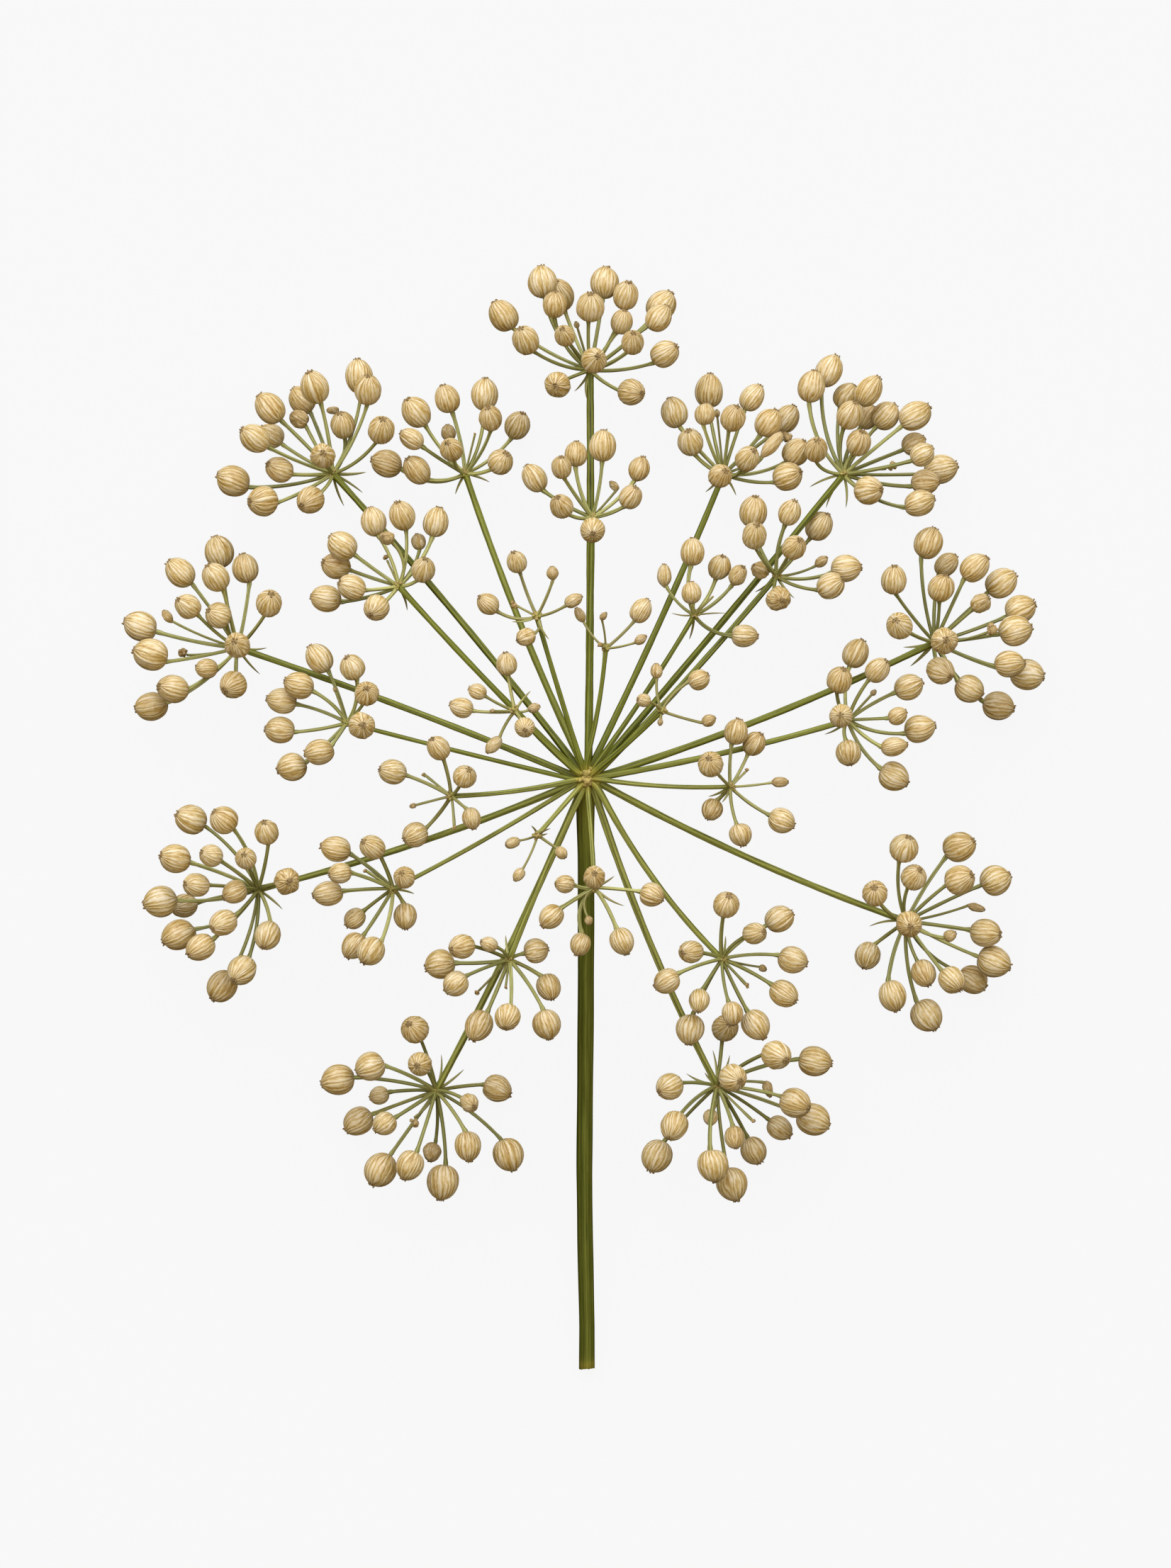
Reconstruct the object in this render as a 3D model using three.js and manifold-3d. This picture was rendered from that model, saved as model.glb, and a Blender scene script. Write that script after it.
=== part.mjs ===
// Dried compound umbel lying on its back: one cut stalk, 28 rays that spread from
// a small hub, and at the end of every ray an umbellet of thin curved pedicels,
// each one carrying a ribbed globular fruit. Millimetres, +Z up, the surface at z = 0.
// The stalk points to -Y and the head spreads in the XY plane.
import * as THREE from 'three';
import { mergeVertices } from 'three/addons/utils/BufferGeometryUtils.js';
import Module from 'manifold-3d';

const wasm = await Module();
wasm.setup();

// ---- driving dimensions (mm) ----
const STALK_RADIUS = 1.34;        // cut main stalk
const STALK_SIDES = 10;
const STALK_STEPS = 9;
const RAY_RADIUS = 0.53;          // full-sized rays
const THIN_RAY_RADIUS = 0.42;     // short rays of the innermost umbellets
const THIN_RAY_LENGTH = 27;       // rays shorter than this are the thin ones
const RAY_SIDES = 6;
const RAY_STEPS = 2;
const RAY_GAP = 0.36;             // free space left between a ray and the knob it ends at
const PEDICEL_RADIUS = 0.28;      // corner radius of the three-sided pedicels
const PEDICEL_SIDES = 3;
const PEDICEL_STRAIGHT = 0.45;    // pedicels that sag less than this get one step
const KNOB_RADIUS = 0.85;         // where the pedicels of an umbellet meet
const FRUIT_SWELL = 1.08;         // brings the flat faces out to the round fruit's size
const BUD_SIDES = 4;
const BUD_RADIUS = 0.8;           // fruits thinner than this are unripe buds
const FRUIT_REACH = 0.78;         // where a pedicel's end lies between a fruit's middle and its skin
const BUD_REACH = 0.45;
const HUB_RADIUS = 2.3;           // where the rays meet
const HUB_HALF = 3.1;

// hub centre, and the stalk's centre line: top, control point, cut end
const HUB = [0.58, 6.4, 25];
const STALK = [[0.49, 6.41, 22], [0.09, -15.63, 13], [0.58, -84.35, 1.25]];

// Every umbellet: its centre, the foot and the bow point of its ray, and its fruits as
// [centre x, y, z, axis x, y, z, radius, half length, pedicel bend x, y, z, pedicel end x, y, z].
const UMBELLETS = [
  {
    id: 1, centre: [1.02, 68.7, 9.18], foot: [0.76, 9.38, 22.82], bow: [1.21, 38.84, 16],
    fruits: [
      [-6.26, 82.21, 9.18, -0.111, 0.994, 0, 2.24, 2.55, -4.64, 72.91, 9.18, -5.99, 79.79, 9.18],
      [-3.76, 80.65, 2.62, -0.217, 0.698, 0.682, 2.28, 2.85, -1.3, 73.69, 0.95, -3.04, 78.92, 0.77],
      [-4.36, 78.38, 14.29, 0.028, 0.935, 0.353, 1.85, 2.15, -3.46, 71.41, 11.68, -4.55, 76.53, 13.57],
      [3.27, 82.2, 7.81, 0.131, 0.991, 0, 2.15, 2.53, 2.15, 74.26, 8.15, 2.96, 79.79, 7.81],
      [1.06, 77.95, 14.98, 0.027, 0.829, 0.558, 2.16, 2.37, 0.61, 72.3, 11.54, 0.76, 76.2, 13.72],
      [6.48, 80.08, 10.36, 0.156, 0.821, 0.549, 1.95, 2.44, 4.59, 72.86, 7.76, 6.13, 78.26, 9.09],
      [5.86, 75.95, 11.37, 0.218, 0.862, 0.457, 1.69, 2, 3.03, 71.62, 9.34, 5.27, 74.43, 10.51],
      [7.44, 72.37, 18.94, 0.053, 0.579, 0.814, 1.74, 2.17, 4.4, 69.07, 13.42, 7.34, 71.29, 17.27],
      [11.95, 78.62, 8.03, 0.583, 0.812, 0, 2.21, 2.63, 6.07, 72.07, 8.32, 10.48, 76.58, 8.03],
      [11.48, 76.49, 12.17, 0.58, 0.815, 0, 1.91, 2.31, 5.52, 71.75, 11.42, 9.7, 75.3, 12.17],
      [12.42, 70.88, 14.43, 0.763, 0.5, 0.409, 2.03, 2.32, 6.13, 68.12, 11.5, 11.1, 69.46, 13.53],
      [-12.24, 77.07, 9.18, -0.535, 0.845, 0, 2.13, 2.61, -5.5, 70.83, 9.18, -10.91, 74.96, 9.18],
      [-8.8, 72.77, 17.59, -0.324, 0.674, 0.664, 2.02, 2.52, -3.78, 68.6, 12.66, -8.08, 71.25, 16],
      [-2.84, 73.31, 19.24, -0.195, 0.466, 0.863, 1.57, 1.97, -0.53, 70.31, 13.69, -2.41, 72.59, 17.62],
      [-3.91, 65.82, 19.68, -0.139, -0.152, 0.978, 1.98, 2.27, -2.19, 67.31, 13.48, -3.62, 66.27, 17.57],
      [7.33, 64.95, 15.27, 0.723, -0.126, 0.679, 2.02, 2.26, 2.93, 66.52, 11.6, 5.77, 65.02, 13.81],
      [1.66, 69.54, 19.68, 0.239, 0.239, 0.941, 1.95, 2.25, 0.69, 68.72, 13.88, 1.15, 69.16, 17.67],
      [-1.03, 75.47, 11.34, -0.272, 0.916, 0.296, 0.43, 0.56, -0.01, 72.1, 10.25, -0.89, 74.99, 11.18],
    ],
  },
  {
    id: 2, centre: [1.34, 45.81, 19], foot: [0.64, 9.37, 25.18], bow: [1.09, 27.53, 22.09],
    fruits: [
      [2.92, 56.68, 19, 0.046, 0.999, 0, 2.04, 2.48, 2.62, 50, 19, 2.87, 54.33, 19],
      [-1.13, 55.45, 19, 0.054, 0.999, 0, 1.74, 1.99, -0.8, 49.43, 19, -1.26, 53.57, 19],
      [-3.29, 53.24, 23.93, -0.038, 0.777, 0.629, 1.56, 1.95, -1.01, 48.62, 20.68, -3.22, 51.87, 22.76],
      [-7.42, 51.8, 19, -0.556, 0.831, 0, 1.8, 2.34, -2.79, 47.33, 19, -6.33, 49.87, 19],
      [-3.33, 47.36, 24.45, -0.31, 0.557, 0.771, 1.74, 2.16, -0.66, 45.2, 20.99, -2.8, 46.25, 22.88],
      [8.44, 53.17, 19, 0.297, 0.904, 0.306, 1.62, 2.13, 5.11, 47.98, 17.98, 7.85, 51.38, 18.38],
      [7.12, 48.78, 22.93, 0.401, 0.737, 0.544, 1.73, 1.99, 4.02, 46.11, 20.47, 6.54, 47.36, 21.9],
      [4.63, 50.72, 16.4, -0.67, 0.743, 0, 0.62, 0.94, 3.31, 47.93, 17.05, 5.23, 50.05, 16.4],
      [1.39, 43.5, 28.05, 0.019, -0.277, 0.961, 1.9, 2.19, 1.32, 45.02, 22.86, 1.36, 44.14, 26.05],
    ],
  },
  {
    id: 3, centre: [3.34, 25.83, 27.4], foot: [0.55, 9.4, 26.86], bow: [2.68, 17.51, 27.13],
    fruits: [
      [-0.48, 30.85, 26.27, -0.481, 0.876, 0, 0.76, 1.35, 1.24, 27.4, 26.55, 0.14, 29.74, 26.27],
      [3.03, 30.64, 29.99, 0.595, 0.676, 0.435, 0.5, 0.76, 3.32, 28.02, 28.54, 2.65, 30.13, 29.68],
      [8.67, 31.59, 28, 0.536, 0.844, 0, 1.54, 2.03, 5.75, 27.69, 27.85, 7.74, 29.94, 28],
      [8.56, 27.13, 30.45, 0.796, 0.527, 0.298, 0.77, 1.11, 5.58, 25.95, 29.14, 7.73, 26.6, 30.14],
      [2.6, 26.33, 28.64, -0.777, 0.555, 0.296, 0.43, 0.56, 3.16, 25.94, 28.18, 3.01, 26.05, 28.48],
    ],
  },
  {
    id: 4, centre: [21.35, 52.82, 8.92], foot: [1.66, 9.18, 24.05], bow: [12.22, 30.48, 16.48],
    fruits: [
      [13.85, 62.3, 8.51, -0.289, 0.957, 0, 2.05, 2.42, 17.62, 56.19, 8.61, 14.51, 60.08, 8.51],
      [19.29, 66.04, 2.15, 0.052, 0.999, 0, 2.19, 2.69, 19.97, 58.16, 3.84, 19.15, 63.45, 2.15],
      [18.45, 61.74, 13.77, 0.078, 0.997, 0, 1.52, 1.74, 19.33, 56.28, 13.03, 18.03, 60.14, 13.77],
      [22.74, 61.18, 13.95, 0.24, 0.787, 0.569, 1.9, 2.27, 21.7, 56.11, 10.8, 22.07, 59.61, 12.72],
      [25.81, 64.63, 8.51, 0.574, 0.819, 0, 1.77, 2.33, 22.94, 57.84, 8.61, 24.53, 62.81, 8.51],
      [28.22, 60.6, 10.89, 0.534, 0.845, 0, 2.06, 2.36, 24.45, 55.51, 10.39, 27.02, 58.7, 10.89],
      [31.24, 61.7, 1.85, 0.532, 0.847, 0, 1.89, 2.43, 25.44, 56.72, 3.62, 29.99, 59.72, 1.85],
      [28.59, 57.04, 12.95, 0.644, 0.765, 0, 1.03, 2.67, 24.99, 52.04, 11.77, 26.96, 55.1, 12.95],
      [31.1, 58.47, 8.4, 0.919, 0.394, 0, 0.71, 0.82, 26.5, 54.45, 8.53, 30.38, 58.16, 8.4],
      [32.45, 56.21, 10.2, 0.594, 0.678, 0.433, 2.01, 2.36, 26.55, 52.25, 8.24, 31.25, 54.65, 9.23],
      [31.08, 52.33, 12.97, 0.877, 0.345, 0.334, 2.17, 2.34, 25.42, 51.11, 10.77, 29.32, 51.26, 12.23],
      [24.93, 54.95, 14.58, 0.43, 0.529, 0.732, 1.82, 2.27, 23.07, 51.46, 11.35, 24.33, 53.7, 13.01],
      [16.27, 57.56, 12.53, -0.16, 0.755, 0.636, 1.96, 2.29, 18.64, 53.68, 9.68, 16.57, 55.97, 11.15],
      [20.72, 52.13, 19.01, 0.365, 0.365, 0.856, 1.79, 2.06, 19.72, 51.21, 13.64, 20.04, 51.49, 17.34],
      [20.33, 61.98, 11.3, -0.099, 0.95, 0.296, 0.48, 0.63, 20.84, 57.48, 10.01, 20.4, 61.42, 11.13],
    ],
  },
  {
    id: 5, centre: [16.7, 30.95, 22.21], foot: [2.21, 8.88, 25.49], bow: [9.98, 19.55, 23.85],
    fruits: [
      [16.42, 40.54, 22.32, 0.038, 0.999, 0, 1.81, 2.17, 15.02, 34.67, 22.15, 16.31, 38.49, 22.32],
      [12.21, 36.92, 20.88, -0.031, 1, 0, 1.12, 1.87, 13.95, 32.46, 21.22, 12.45, 35.18, 20.88],
      [16.24, 34.31, 24.35, -0.062, 0.998, 0, 1.52, 1.74, 16.49, 31.81, 23.82, 16.34, 32.67, 24.35],
      [20.59, 38.36, 18.33, 0.274, 0.794, 0.543, 1.68, 2.1, 19.04, 33.43, 17.53, 20.11, 36.81, 17.25],
      [23.26, 36.97, 19.99, 0.436, 0.72, 0.54, 1.35, 1.96, 20.17, 32.49, 18.85, 22.59, 35.61, 18.99],
      [24.35, 27.88, 20.73, 1, 0.004, 0, 1.75, 2.06, 18.82, 28.04, 21.1, 22.4, 27.88, 20.73],
      [19.13, 33.37, 23.55, 0.676, 0.676, 0.296, 0.43, 0.56, 17.82, 32.07, 22.9, 18.78, 33.02, 23.39],
    ],
  },
  {
    id: 6, centre: [39.64, 52.7, 11.35], foot: [2.74, 8.48, 22.98], bow: [21.42, 30.2, 16.7],
    fruits: [
      [37.59, 68.81, 6.38, 0.44, 0.898, 0, 2.03, 2.7, 35.92, 59.21, 7.62, 36.21, 66.64, 6.38],
      [34.8, 66.22, 9.58, 0.229, 0.974, 0, 2.12, 2.56, 34.76, 57.23, 10.02, 34.22, 63.84, 9.58],
      [40.37, 65.01, 3.82, 0.577, 0.817, 0, 1.95, 2.24, 38.3, 57.99, 5.7, 39.13, 63.26, 3.82],
      [43.66, 65.67, 7.98, 0.584, 0.812, 0, 1.95, 2.68, 37.47, 58.98, 8.82, 42.16, 63.59, 7.98],
      [40.56, 61.68, 12.83, 0.327, 0.766, 0.554, 2.01, 2.42, 38.37, 56.34, 10.53, 39.6, 60.13, 11.56],
      [43.62, 61.98, 1.7, 0.49, 0.872, 0, 1.74, 1.99, 39.91, 57.13, 4.12, 42.68, 60.31, 1.7],
      [46.31, 62.02, 4.86, 0.67, 0.743, 0, 2.06, 2.36, 41.86, 56.9, 6.48, 44.87, 60.27, 4.86],
      [50.76, 61.93, 6.66, 0.838, 0.546, 0, 2.16, 2.69, 44.22, 56.63, 7.83, 48.76, 60.31, 6.66],
      [41.87, 57.5, 12.37, 0.248, 0.743, 0.622, 1.85, 2.27, 39.74, 54.65, 10.54, 41.39, 55.97, 11.03],
      [50.75, 57.78, 2.76, 0.857, 0.514, 0, 1.74, 1.99, 44.43, 54.96, 4.91, 49.11, 56.8, 2.76],
      [51.54, 55.64, 12.99, 0.824, 0.567, 0, 1.74, 1.99, 44.87, 53.28, 12.71, 49.98, 54.57, 12.99],
      [46.79, 53.69, 10.92, 0.853, 0.522, 0, 0.65, 0.99, 42.8, 53.31, 11.03, 45.93, 53.54, 10.92],
      [54.79, 53.8, 5.61, 0.964, 0.266, 0, 2.27, 2.63, 46.12, 52.69, 7.04, 52.44, 52.89, 5.61],
      [52.17, 51.62, 9.03, 1, 0.006, 0, 1.95, 2.24, 44.9, 50.95, 9.61, 50.25, 50.8, 9.03],
      [51.21, 48.3, 11.96, 0.954, 0.301, 0, 2.02, 2.46, 43.45, 48.29, 10.25, 49.08, 47.33, 11.96],
      [43.39, 50.14, 13.67, 0.859, 0.073, 0.506, 2.21, 2.3, 40.27, 51.44, 11.93, 41.59, 50.59, 12.57],
      [35.29, 56.37, 15.54, 0.07, 0.557, 0.827, 1.79, 2.24, 35.53, 52.79, 11.81, 34.87, 55.38, 13.79],
    ],
  },
  {
    id: 7, centre: [29.21, 36.97, 17.65], foot: [3.06, 8.15, 24.45], bow: [16.73, 21.94, 20.26],
    fruits: [
      [25.74, 46.82, 17.19, 0.112, 0.937, 0.332, 2.1, 2.52, 26.65, 40.44, 15.78, 25.49, 44.61, 16.4],
      [25.7, 42.9, 24.98, 0.144, 0.682, 0.717, 1.86, 2.33, 27.09, 38.83, 22, 25.43, 41.46, 23.39],
      [31.2, 46.59, 19.68, 0.349, 0.87, 0.349, 1.69, 2.13, 28.91, 41.05, 18.04, 30.57, 44.84, 18.97],
      [35.93, 44.88, 10.86, 0.513, 0.736, 0.441, 2.01, 2.51, 32.07, 40.02, 11.03, 34.73, 43.16, 9.81],
      [31.71, 41.15, 23.51, 0.385, 0.476, 0.791, 1.79, 2.24, 30.01, 38.4, 19.83, 31.06, 40.13, 21.83],
      [36.08, 39.28, 14.26, 0.749, 0.599, 0.284, 0.78, 1.24, 32.4, 37.17, 14.43, 35.21, 38.58, 13.92],
      [39.79, 38.17, 17.5, 0.997, 0.073, 0, 2.08, 2.4, 33.55, 35.84, 17.54, 37.61, 37.58, 17.5],
      [37.28, 35.45, 21.32, 0.83, 0.442, 0.339, 2.02, 2.23, 32.07, 35.02, 19.33, 35.52, 34.6, 20.6],
      [26.73, 37.91, 18.29, -0.707, 0.431, 0.56, 1.3, 1.57, 29.21, 38.4, 17.17, 27.92, 37.6, 17.46],
      [29.24, 33.32, 26.28, 0.277, -0.168, 0.946, 1.82, 2.09, 28.48, 34.82, 21.23, 28.75, 33.71, 24.4],
    ],
  },
  {
    id: 8, centre: [11.71, 16.47, 28.98], foot: [2.78, 8.39, 26.69], bow: [7.47, 12.2, 27.83],
    fruits: [
      [10.94, 22.46, 29, -0.059, 0.998, 0, 0.92, 1.18, 10.72, 18.83, 29, 11, 21.36, 29],
      [8.92, 18, 33.49, -0.725, 0.091, 0.683, 1.03, 1.19, 10.89, 17.48, 31.15, 9.73, 17.91, 32.72],
      [17.31, 21.13, 29, 0.86, 0.511, 0, 1.52, 1.68, 13.21, 19.26, 29, 15.78, 21.02, 29],
      [18.78, 15.04, 29, 0.881, 0.472, 0, 0.92, 1.13, 14.74, 15.35, 29, 17.85, 14.54, 29],
      [11.5, 14.77, 29.53, -0.118, -0.948, 0.296, 0.43, 0.56, 11.63, 15.82, 29.19, 11.56, 15.27, 29.37],
    ],
  },
  {
    id: 9, centre: [53.58, 27.18, 8.91], foot: [3.52, 7.06, 23.25], bow: [29.13, 15.15, 15.86],
    fruits: [
      [52.63, 42.33, 10.13, 0.432, 0.902, 0, 2.16, 2.56, 51.45, 33.64, 9.83, 51.19, 40.38, 10.13],
      [55.83, 39.28, 1.59, 0.722, 0.692, 0, 1.63, 2.12, 53.46, 32.6, 3.42, 54.35, 37.87, 1.59],
      [54.34, 35.31, 13.89, 0.35, 0.856, 0.379, 1.99, 2.24, 54.15, 30.18, 11.49, 54.03, 33.4, 13.08],
      [59.66, 38.55, 11.43, 0.772, 0.635, 0, 2.04, 2.5, 55.83, 32.05, 10.8, 57.82, 37.03, 11.43],
      [63.93, 36.32, 7.26, 0.843, 0.539, 0, 2.2, 2.63, 57.71, 31.13, 7.68, 61.81, 34.97, 7.26],
      [60.31, 33, 14.82, 0.703, 0.514, 0.491, 1.42, 1.7, 56.37, 29.61, 11.85, 59.22, 32.19, 14.02],
      [66.72, 32.24, 9.09, 0.923, 0.385, 0, 2.18, 2.49, 59.27, 28.77, 9.04, 64.63, 31.1, 9.09],
      [65.71, 28.88, 12.73, 0.974, 0.227, 0, 2.34, 2.64, 58.44, 27.39, 11.78, 63.26, 28.31, 12.73],
      [47.07, 36.58, 15.24, 0.038, 0.938, 0.346, 1.97, 2.29, 50, 30.66, 12.32, 46.94, 34.57, 14.49],
      [47.62, 29.44, 20.63, -0.265, 0.335, 0.904, 2.01, 2.44, 51.26, 27.34, 14.29, 48.46, 28.85, 18.53],
      [61.91, 28.97, 15.94, 0.549, 0.439, 0.711, 0.87, 1.09, 57.55, 26.99, 12.19, 61.39, 28.53, 15.21],
      [54.46, 27.14, 20.63, 0.045, 0.045, 0.998, 2.06, 2.37, 54.27, 27.07, 14.28, 54.48, 27.09, 18.38],
      [64.65, 23.73, 15.52, 0.998, 0.062, 0, 2.06, 2.4, 57.85, 24.71, 13.87, 62.51, 23.01, 15.52],
      [67.65, 22.2, 10.13, 0.994, -0.112, 0, 2.4, 2.67, 59.1, 24.18, 9.83, 65.11, 22.48, 10.13],
      [54.22, 22.67, 14.98, 0.579, -0.387, 0.718, 2.02, 2.43, 53.13, 25.85, 11.66, 53.65, 24.11, 13.37],
      [58.64, 19.95, 13.71, 0.896, -0.445, 0, 2.11, 2.29, 55.35, 24.15, 12.29, 56.69, 20.92, 13.71],
      [63.77, 17.52, 2.17, 0.987, -0.162, 0, 2.21, 2.53, 56.51, 21.73, 3.86, 61.37, 17.91, 2.17],
    ],
  },
  {
    id: 10, centre: [40.11, 15.22, 15.88], foot: [3.55, 6.75, 24.8], bow: [22.02, 9.82, 19.68],
    fruits: [
      [41.36, 25.43, 14.46, 0.487, 0.873, 0, 1.98, 2.35, 39.15, 19.38, 15.08, 40.31, 23.46, 14.46],
      [38.62, 21.27, 21.35, 0.264, 0.782, 0.565, 1.96, 2.13, 38.28, 17, 18.46, 38.12, 19.71, 20.2],
      [44.43, 22.77, 20.77, 0.61, 0.661, 0.438, 1.77, 2.18, 41.01, 18.6, 18.19, 43.19, 21.44, 19.87],
      [49.24, 20.23, 17.5, 0.913, 0.407, 0, 1.96, 2.31, 43.38, 17.82, 17.1, 47.2, 19.44, 17.5],
      [47.38, 15.81, 21, 0.89, 0.456, 0, 1.31, 1.56, 43.01, 15.33, 19.72, 45.97, 15.38, 21],
      [50.95, 13.92, 17.5, 0.967, 0.255, 0, 2.09, 2.45, 44.13, 12.77, 17.1, 48.78, 13.08, 17.5],
      [46.88, 11.18, 21.16, 0.986, 0.166, 0, 1.45, 2.12, 42.07, 12.55, 19.84, 44.9, 10.85, 21.16],
      [47.05, 6.64, 17.5, 0.874, -0.485, 0, 2.19, 2.41, 41.41, 10.66, 17.1, 45.04, 7.71, 17.5],
      [40.03, 10.19, 19.67, 0.128, -0.89, 0.438, 1.94, 2.05, 38.86, 13.78, 17.76, 39.82, 11.92, 18.81],
      [38.57, 15.74, 27.91, -0.104, 0.052, 0.993, 1.79, 2.06, 39.42, 15.47, 21.69, 38.85, 15.66, 25.96],
      [43.98, 19.41, 15.79, 0.648, 0.702, -0.296, 0.43, 0.56, 42, 17.28, 16.27, 43.63, 19.03, 15.95],
    ],
  },
  {
    id: 11, centre: [22.11, 5.13, 23.88], foot: [3.54, 6.07, 26.18], bow: [12.76, 4.75, 25.03],
    fruits: [
      [22.96, 13.44, 23.84, 0.258, 0.966, 0, 1.79, 2.05, 21.81, 8.42, 23.85, 22.24, 11.65, 23.84],
      [25.75, 11.65, 21.76, 0.512, 0.763, 0.394, 1.69, 2.04, 23.75, 7.48, 21.19, 24.79, 10.19, 21],
      [18.97, 8.52, 31.3, -0.152, 0.45, 0.88, 1.93, 2, 20.9, 6.02, 26.94, 19.46, 7.76, 29.63],
      [29.52, 5.81, 23.88, 0.999, 0.047, 0, 0.79, 1.37, 25.2, 5.21, 23.88, 28.23, 5.75, 23.88],
      [29.84, 0, 23.88, 0.91, -0.414, 0, 1.89, 2.13, 24.71, 2.45, 23.88, 28.02, 0.83, 23.88],
      [23.58, -2.15, 27.25, 0.27, -0.963, 0, 1.75, 1.79, 21.95, 2.13, 26.41, 22.97, -0.59, 27.25],
      [19.36, 1.65, 21.85, -0.375, -0.866, 0.331, 1.62, 1.75, 21.21, 3.98, 21.67, 19.99, 3.08, 21.3],
      [24.58, 7.58, 22.83, 0.676, 0.676, -0.296, 0.32, 0.42, 23.3, 6.31, 23.39, 24.31, 7.31, 22.95],
    ],
  },
  {
    id: 12, centre: [49.26, -15.43, 8.9], foot: [3.3, 5.19, 24.71], bow: [25.26, -6.9, 16.8],
    fruits: [
      [48.64, -4.13, 15.76, 0.303, 0.712, 0.634, 2.19, 2.34, 47.25, -10.87, 11.49, 47.87, -5.64, 14.35],
      [57.44, -4.02, 8.64, 0.848, 0.362, 0.388, 2.26, 2.62, 51.92, -10.07, 7.01, 55.5, -5.19, 7.68],
      [50.13, -8.59, 15.37, 0.378, 0.556, 0.74, 1.96, 2.14, 48.18, -12.74, 11.44, 49.4, -9.72, 13.86],
      [57.15, -9.01, 14.34, 0.783, 0.333, 0.525, 2.3, 2.39, 52.02, -12.24, 11.02, 55.33, -9.46, 13.14],
      [62.97, -9.14, 8.64, 0.928, 0.372, 0, 2.35, 2.47, 54.88, -12.36, 8.71, 60.72, -9.84, 8.64],
      [60.15, -13.41, 3.86, 0.96, -0.28, 0, 0.69, 1.52, 54.21, -14.81, 5.12, 58.73, -13.03, 3.86],
      [61.45, -17.23, 8.22, 0.929, -0.101, 0.355, 2.17, 2.46, 54.35, -16.04, 6.88, 59.35, -16.82, 7.39],
      [62.86, -21.72, 6.26, 0.942, -0.336, 0, 2.39, 2.7, 54.66, -18.65, 6.92, 60.4, -20.91, 6.26],
      [55.8, -17.53, 11.8, 0.894, 0.447, 0, 0.92, 1.06, 51.67, -17.54, 11.07, 54.9, -17.98, 11.8],
      [55.89, -24.22, 15.19, 0.568, -0.668, 0.481, 2.01, 2.23, 51.37, -19.04, 12.08, 54.55, -23.02, 14.17],
      [59.86, -24.56, 2.16, 0.852, -0.523, 0, 2.21, 2.4, 52.03, -21.19, 3.84, 57.89, -23.35, 2.16],
      [51.78, -23.33, 12.49, 0.319, -0.775, 0.546, 1.9, 2.28, 49.35, -18.72, 9.84, 51.02, -21.73, 11.3],
      [46.98, -26.71, 13.59, 0.276, -0.961, 0, 2.12, 2.48, 46.79, -19.74, 12.41, 46.03, -24.56, 13.59],
      [52.42, -29.86, 8.64, 0.596, -0.803, 0, 2.43, 2.62, 48.75, -21.88, 8.71, 50.77, -27.98, 8.64],
      [43.64, -20.9, 1.91, -0.266, -0.884, 0.385, 1.96, 2.25, 47.03, -17.29, 2.43, 44.51, -19.12, 1.09],
      [44.05, -10.98, 18.75, -0.113, 0.477, 0.871, 1.96, 2.04, 46.46, -14.75, 13.19, 44.37, -11.93, 17.06],
      [49.19, -15.64, 19.14, 0.047, -0.186, 0.981, 2.01, 2.31, 49.21, -15.03, 13.27, 49.19, -15.28, 16.99],
    ],
  },
  {
    id: 13, centre: [20.95, -20.92, 18.08], foot: [2.6, 4.21, 25.66], bow: [9.77, -9.78, 21.73],
    fruits: [
      [21.46, -12.57, 24.89, 0.211, 0.674, 0.708, 1.98, 2.06, 20.5, -17.58, 20.79, 21.08, -13.9, 23.5],
      [29.68, -14.87, 17.5, 0.892, 0.453, 0, 2.02, 2.31, 23.81, -17.66, 17.65, 27.72, -15.87, 17.5],
      [25.83, -16.92, 23.57, 0.668, 0.156, 0.727, 1.65, 2.06, 22.01, -18.63, 20.08, 24.57, -17.25, 22.15],
      [31.71, -21.1, 17.5, 0.952, -0.305, 0, 2.07, 2.32, 25.29, -19.85, 17.65, 29.7, -20.24, 17.5],
      [30.37, -26.22, 17.5, 0.749, -0.517, 0.414, 2, 2.39, 25.06, -22.52, 16.17, 28.76, -24.99, 16.56],
      [26.13, -31, 17.5, 0.54, -0.842, 0, 2.1, 2.49, 22.72, -25.08, 17.65, 24.88, -28.99, 17.5],
      [22.48, -29.06, 21.29, 0.153, -0.988, 0, 1.63, 1.86, 20.87, -24.26, 20.49, 21.86, -27.43, 21.29],
      [17.44, -27.23, 21.2, -0.103, -0.865, 0.49, 1.57, 1.97, 19.36, -23.26, 19.07, 17.65, -25.65, 20.29],
      [16.09, -31.64, 17.85, -0.119, -0.993, 0, 2.17, 2.39, 18.42, -25.06, 17.91, 16.36, -29.4, 17.85],
      [12.51, -24.18, 23.01, -0.887, -0.462, 0, 1.9, 2.1, 17.3, -21.47, 23.01, 14.07, -22.97, 23.01],
      [16.18, -19.77, 21.13, -0.635, -0.054, 0.771, 1.74, 2.17, 19.6, -20.08, 18.77, 17.51, -19.95, 19.55],
      [27.23, -22.45, 14.66, 0.896, -0.445, 0, 0.57, 0.65, 23.78, -21.83, 15.52, 26.68, -22.18, 14.66],
      [24.46, -24.64, 19.05, 0.655, -0.695, 0.296, 0.32, 0.42, 22.71, -22.79, 18.41, 24.2, -24.37, 18.93],
    ],
  },
  {
    id: 14, centre: [20.32, -40.39, 11.84], foot: [1.88, 3.72, 24.39], bow: [9.17, -18.99, 17.99],
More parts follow.
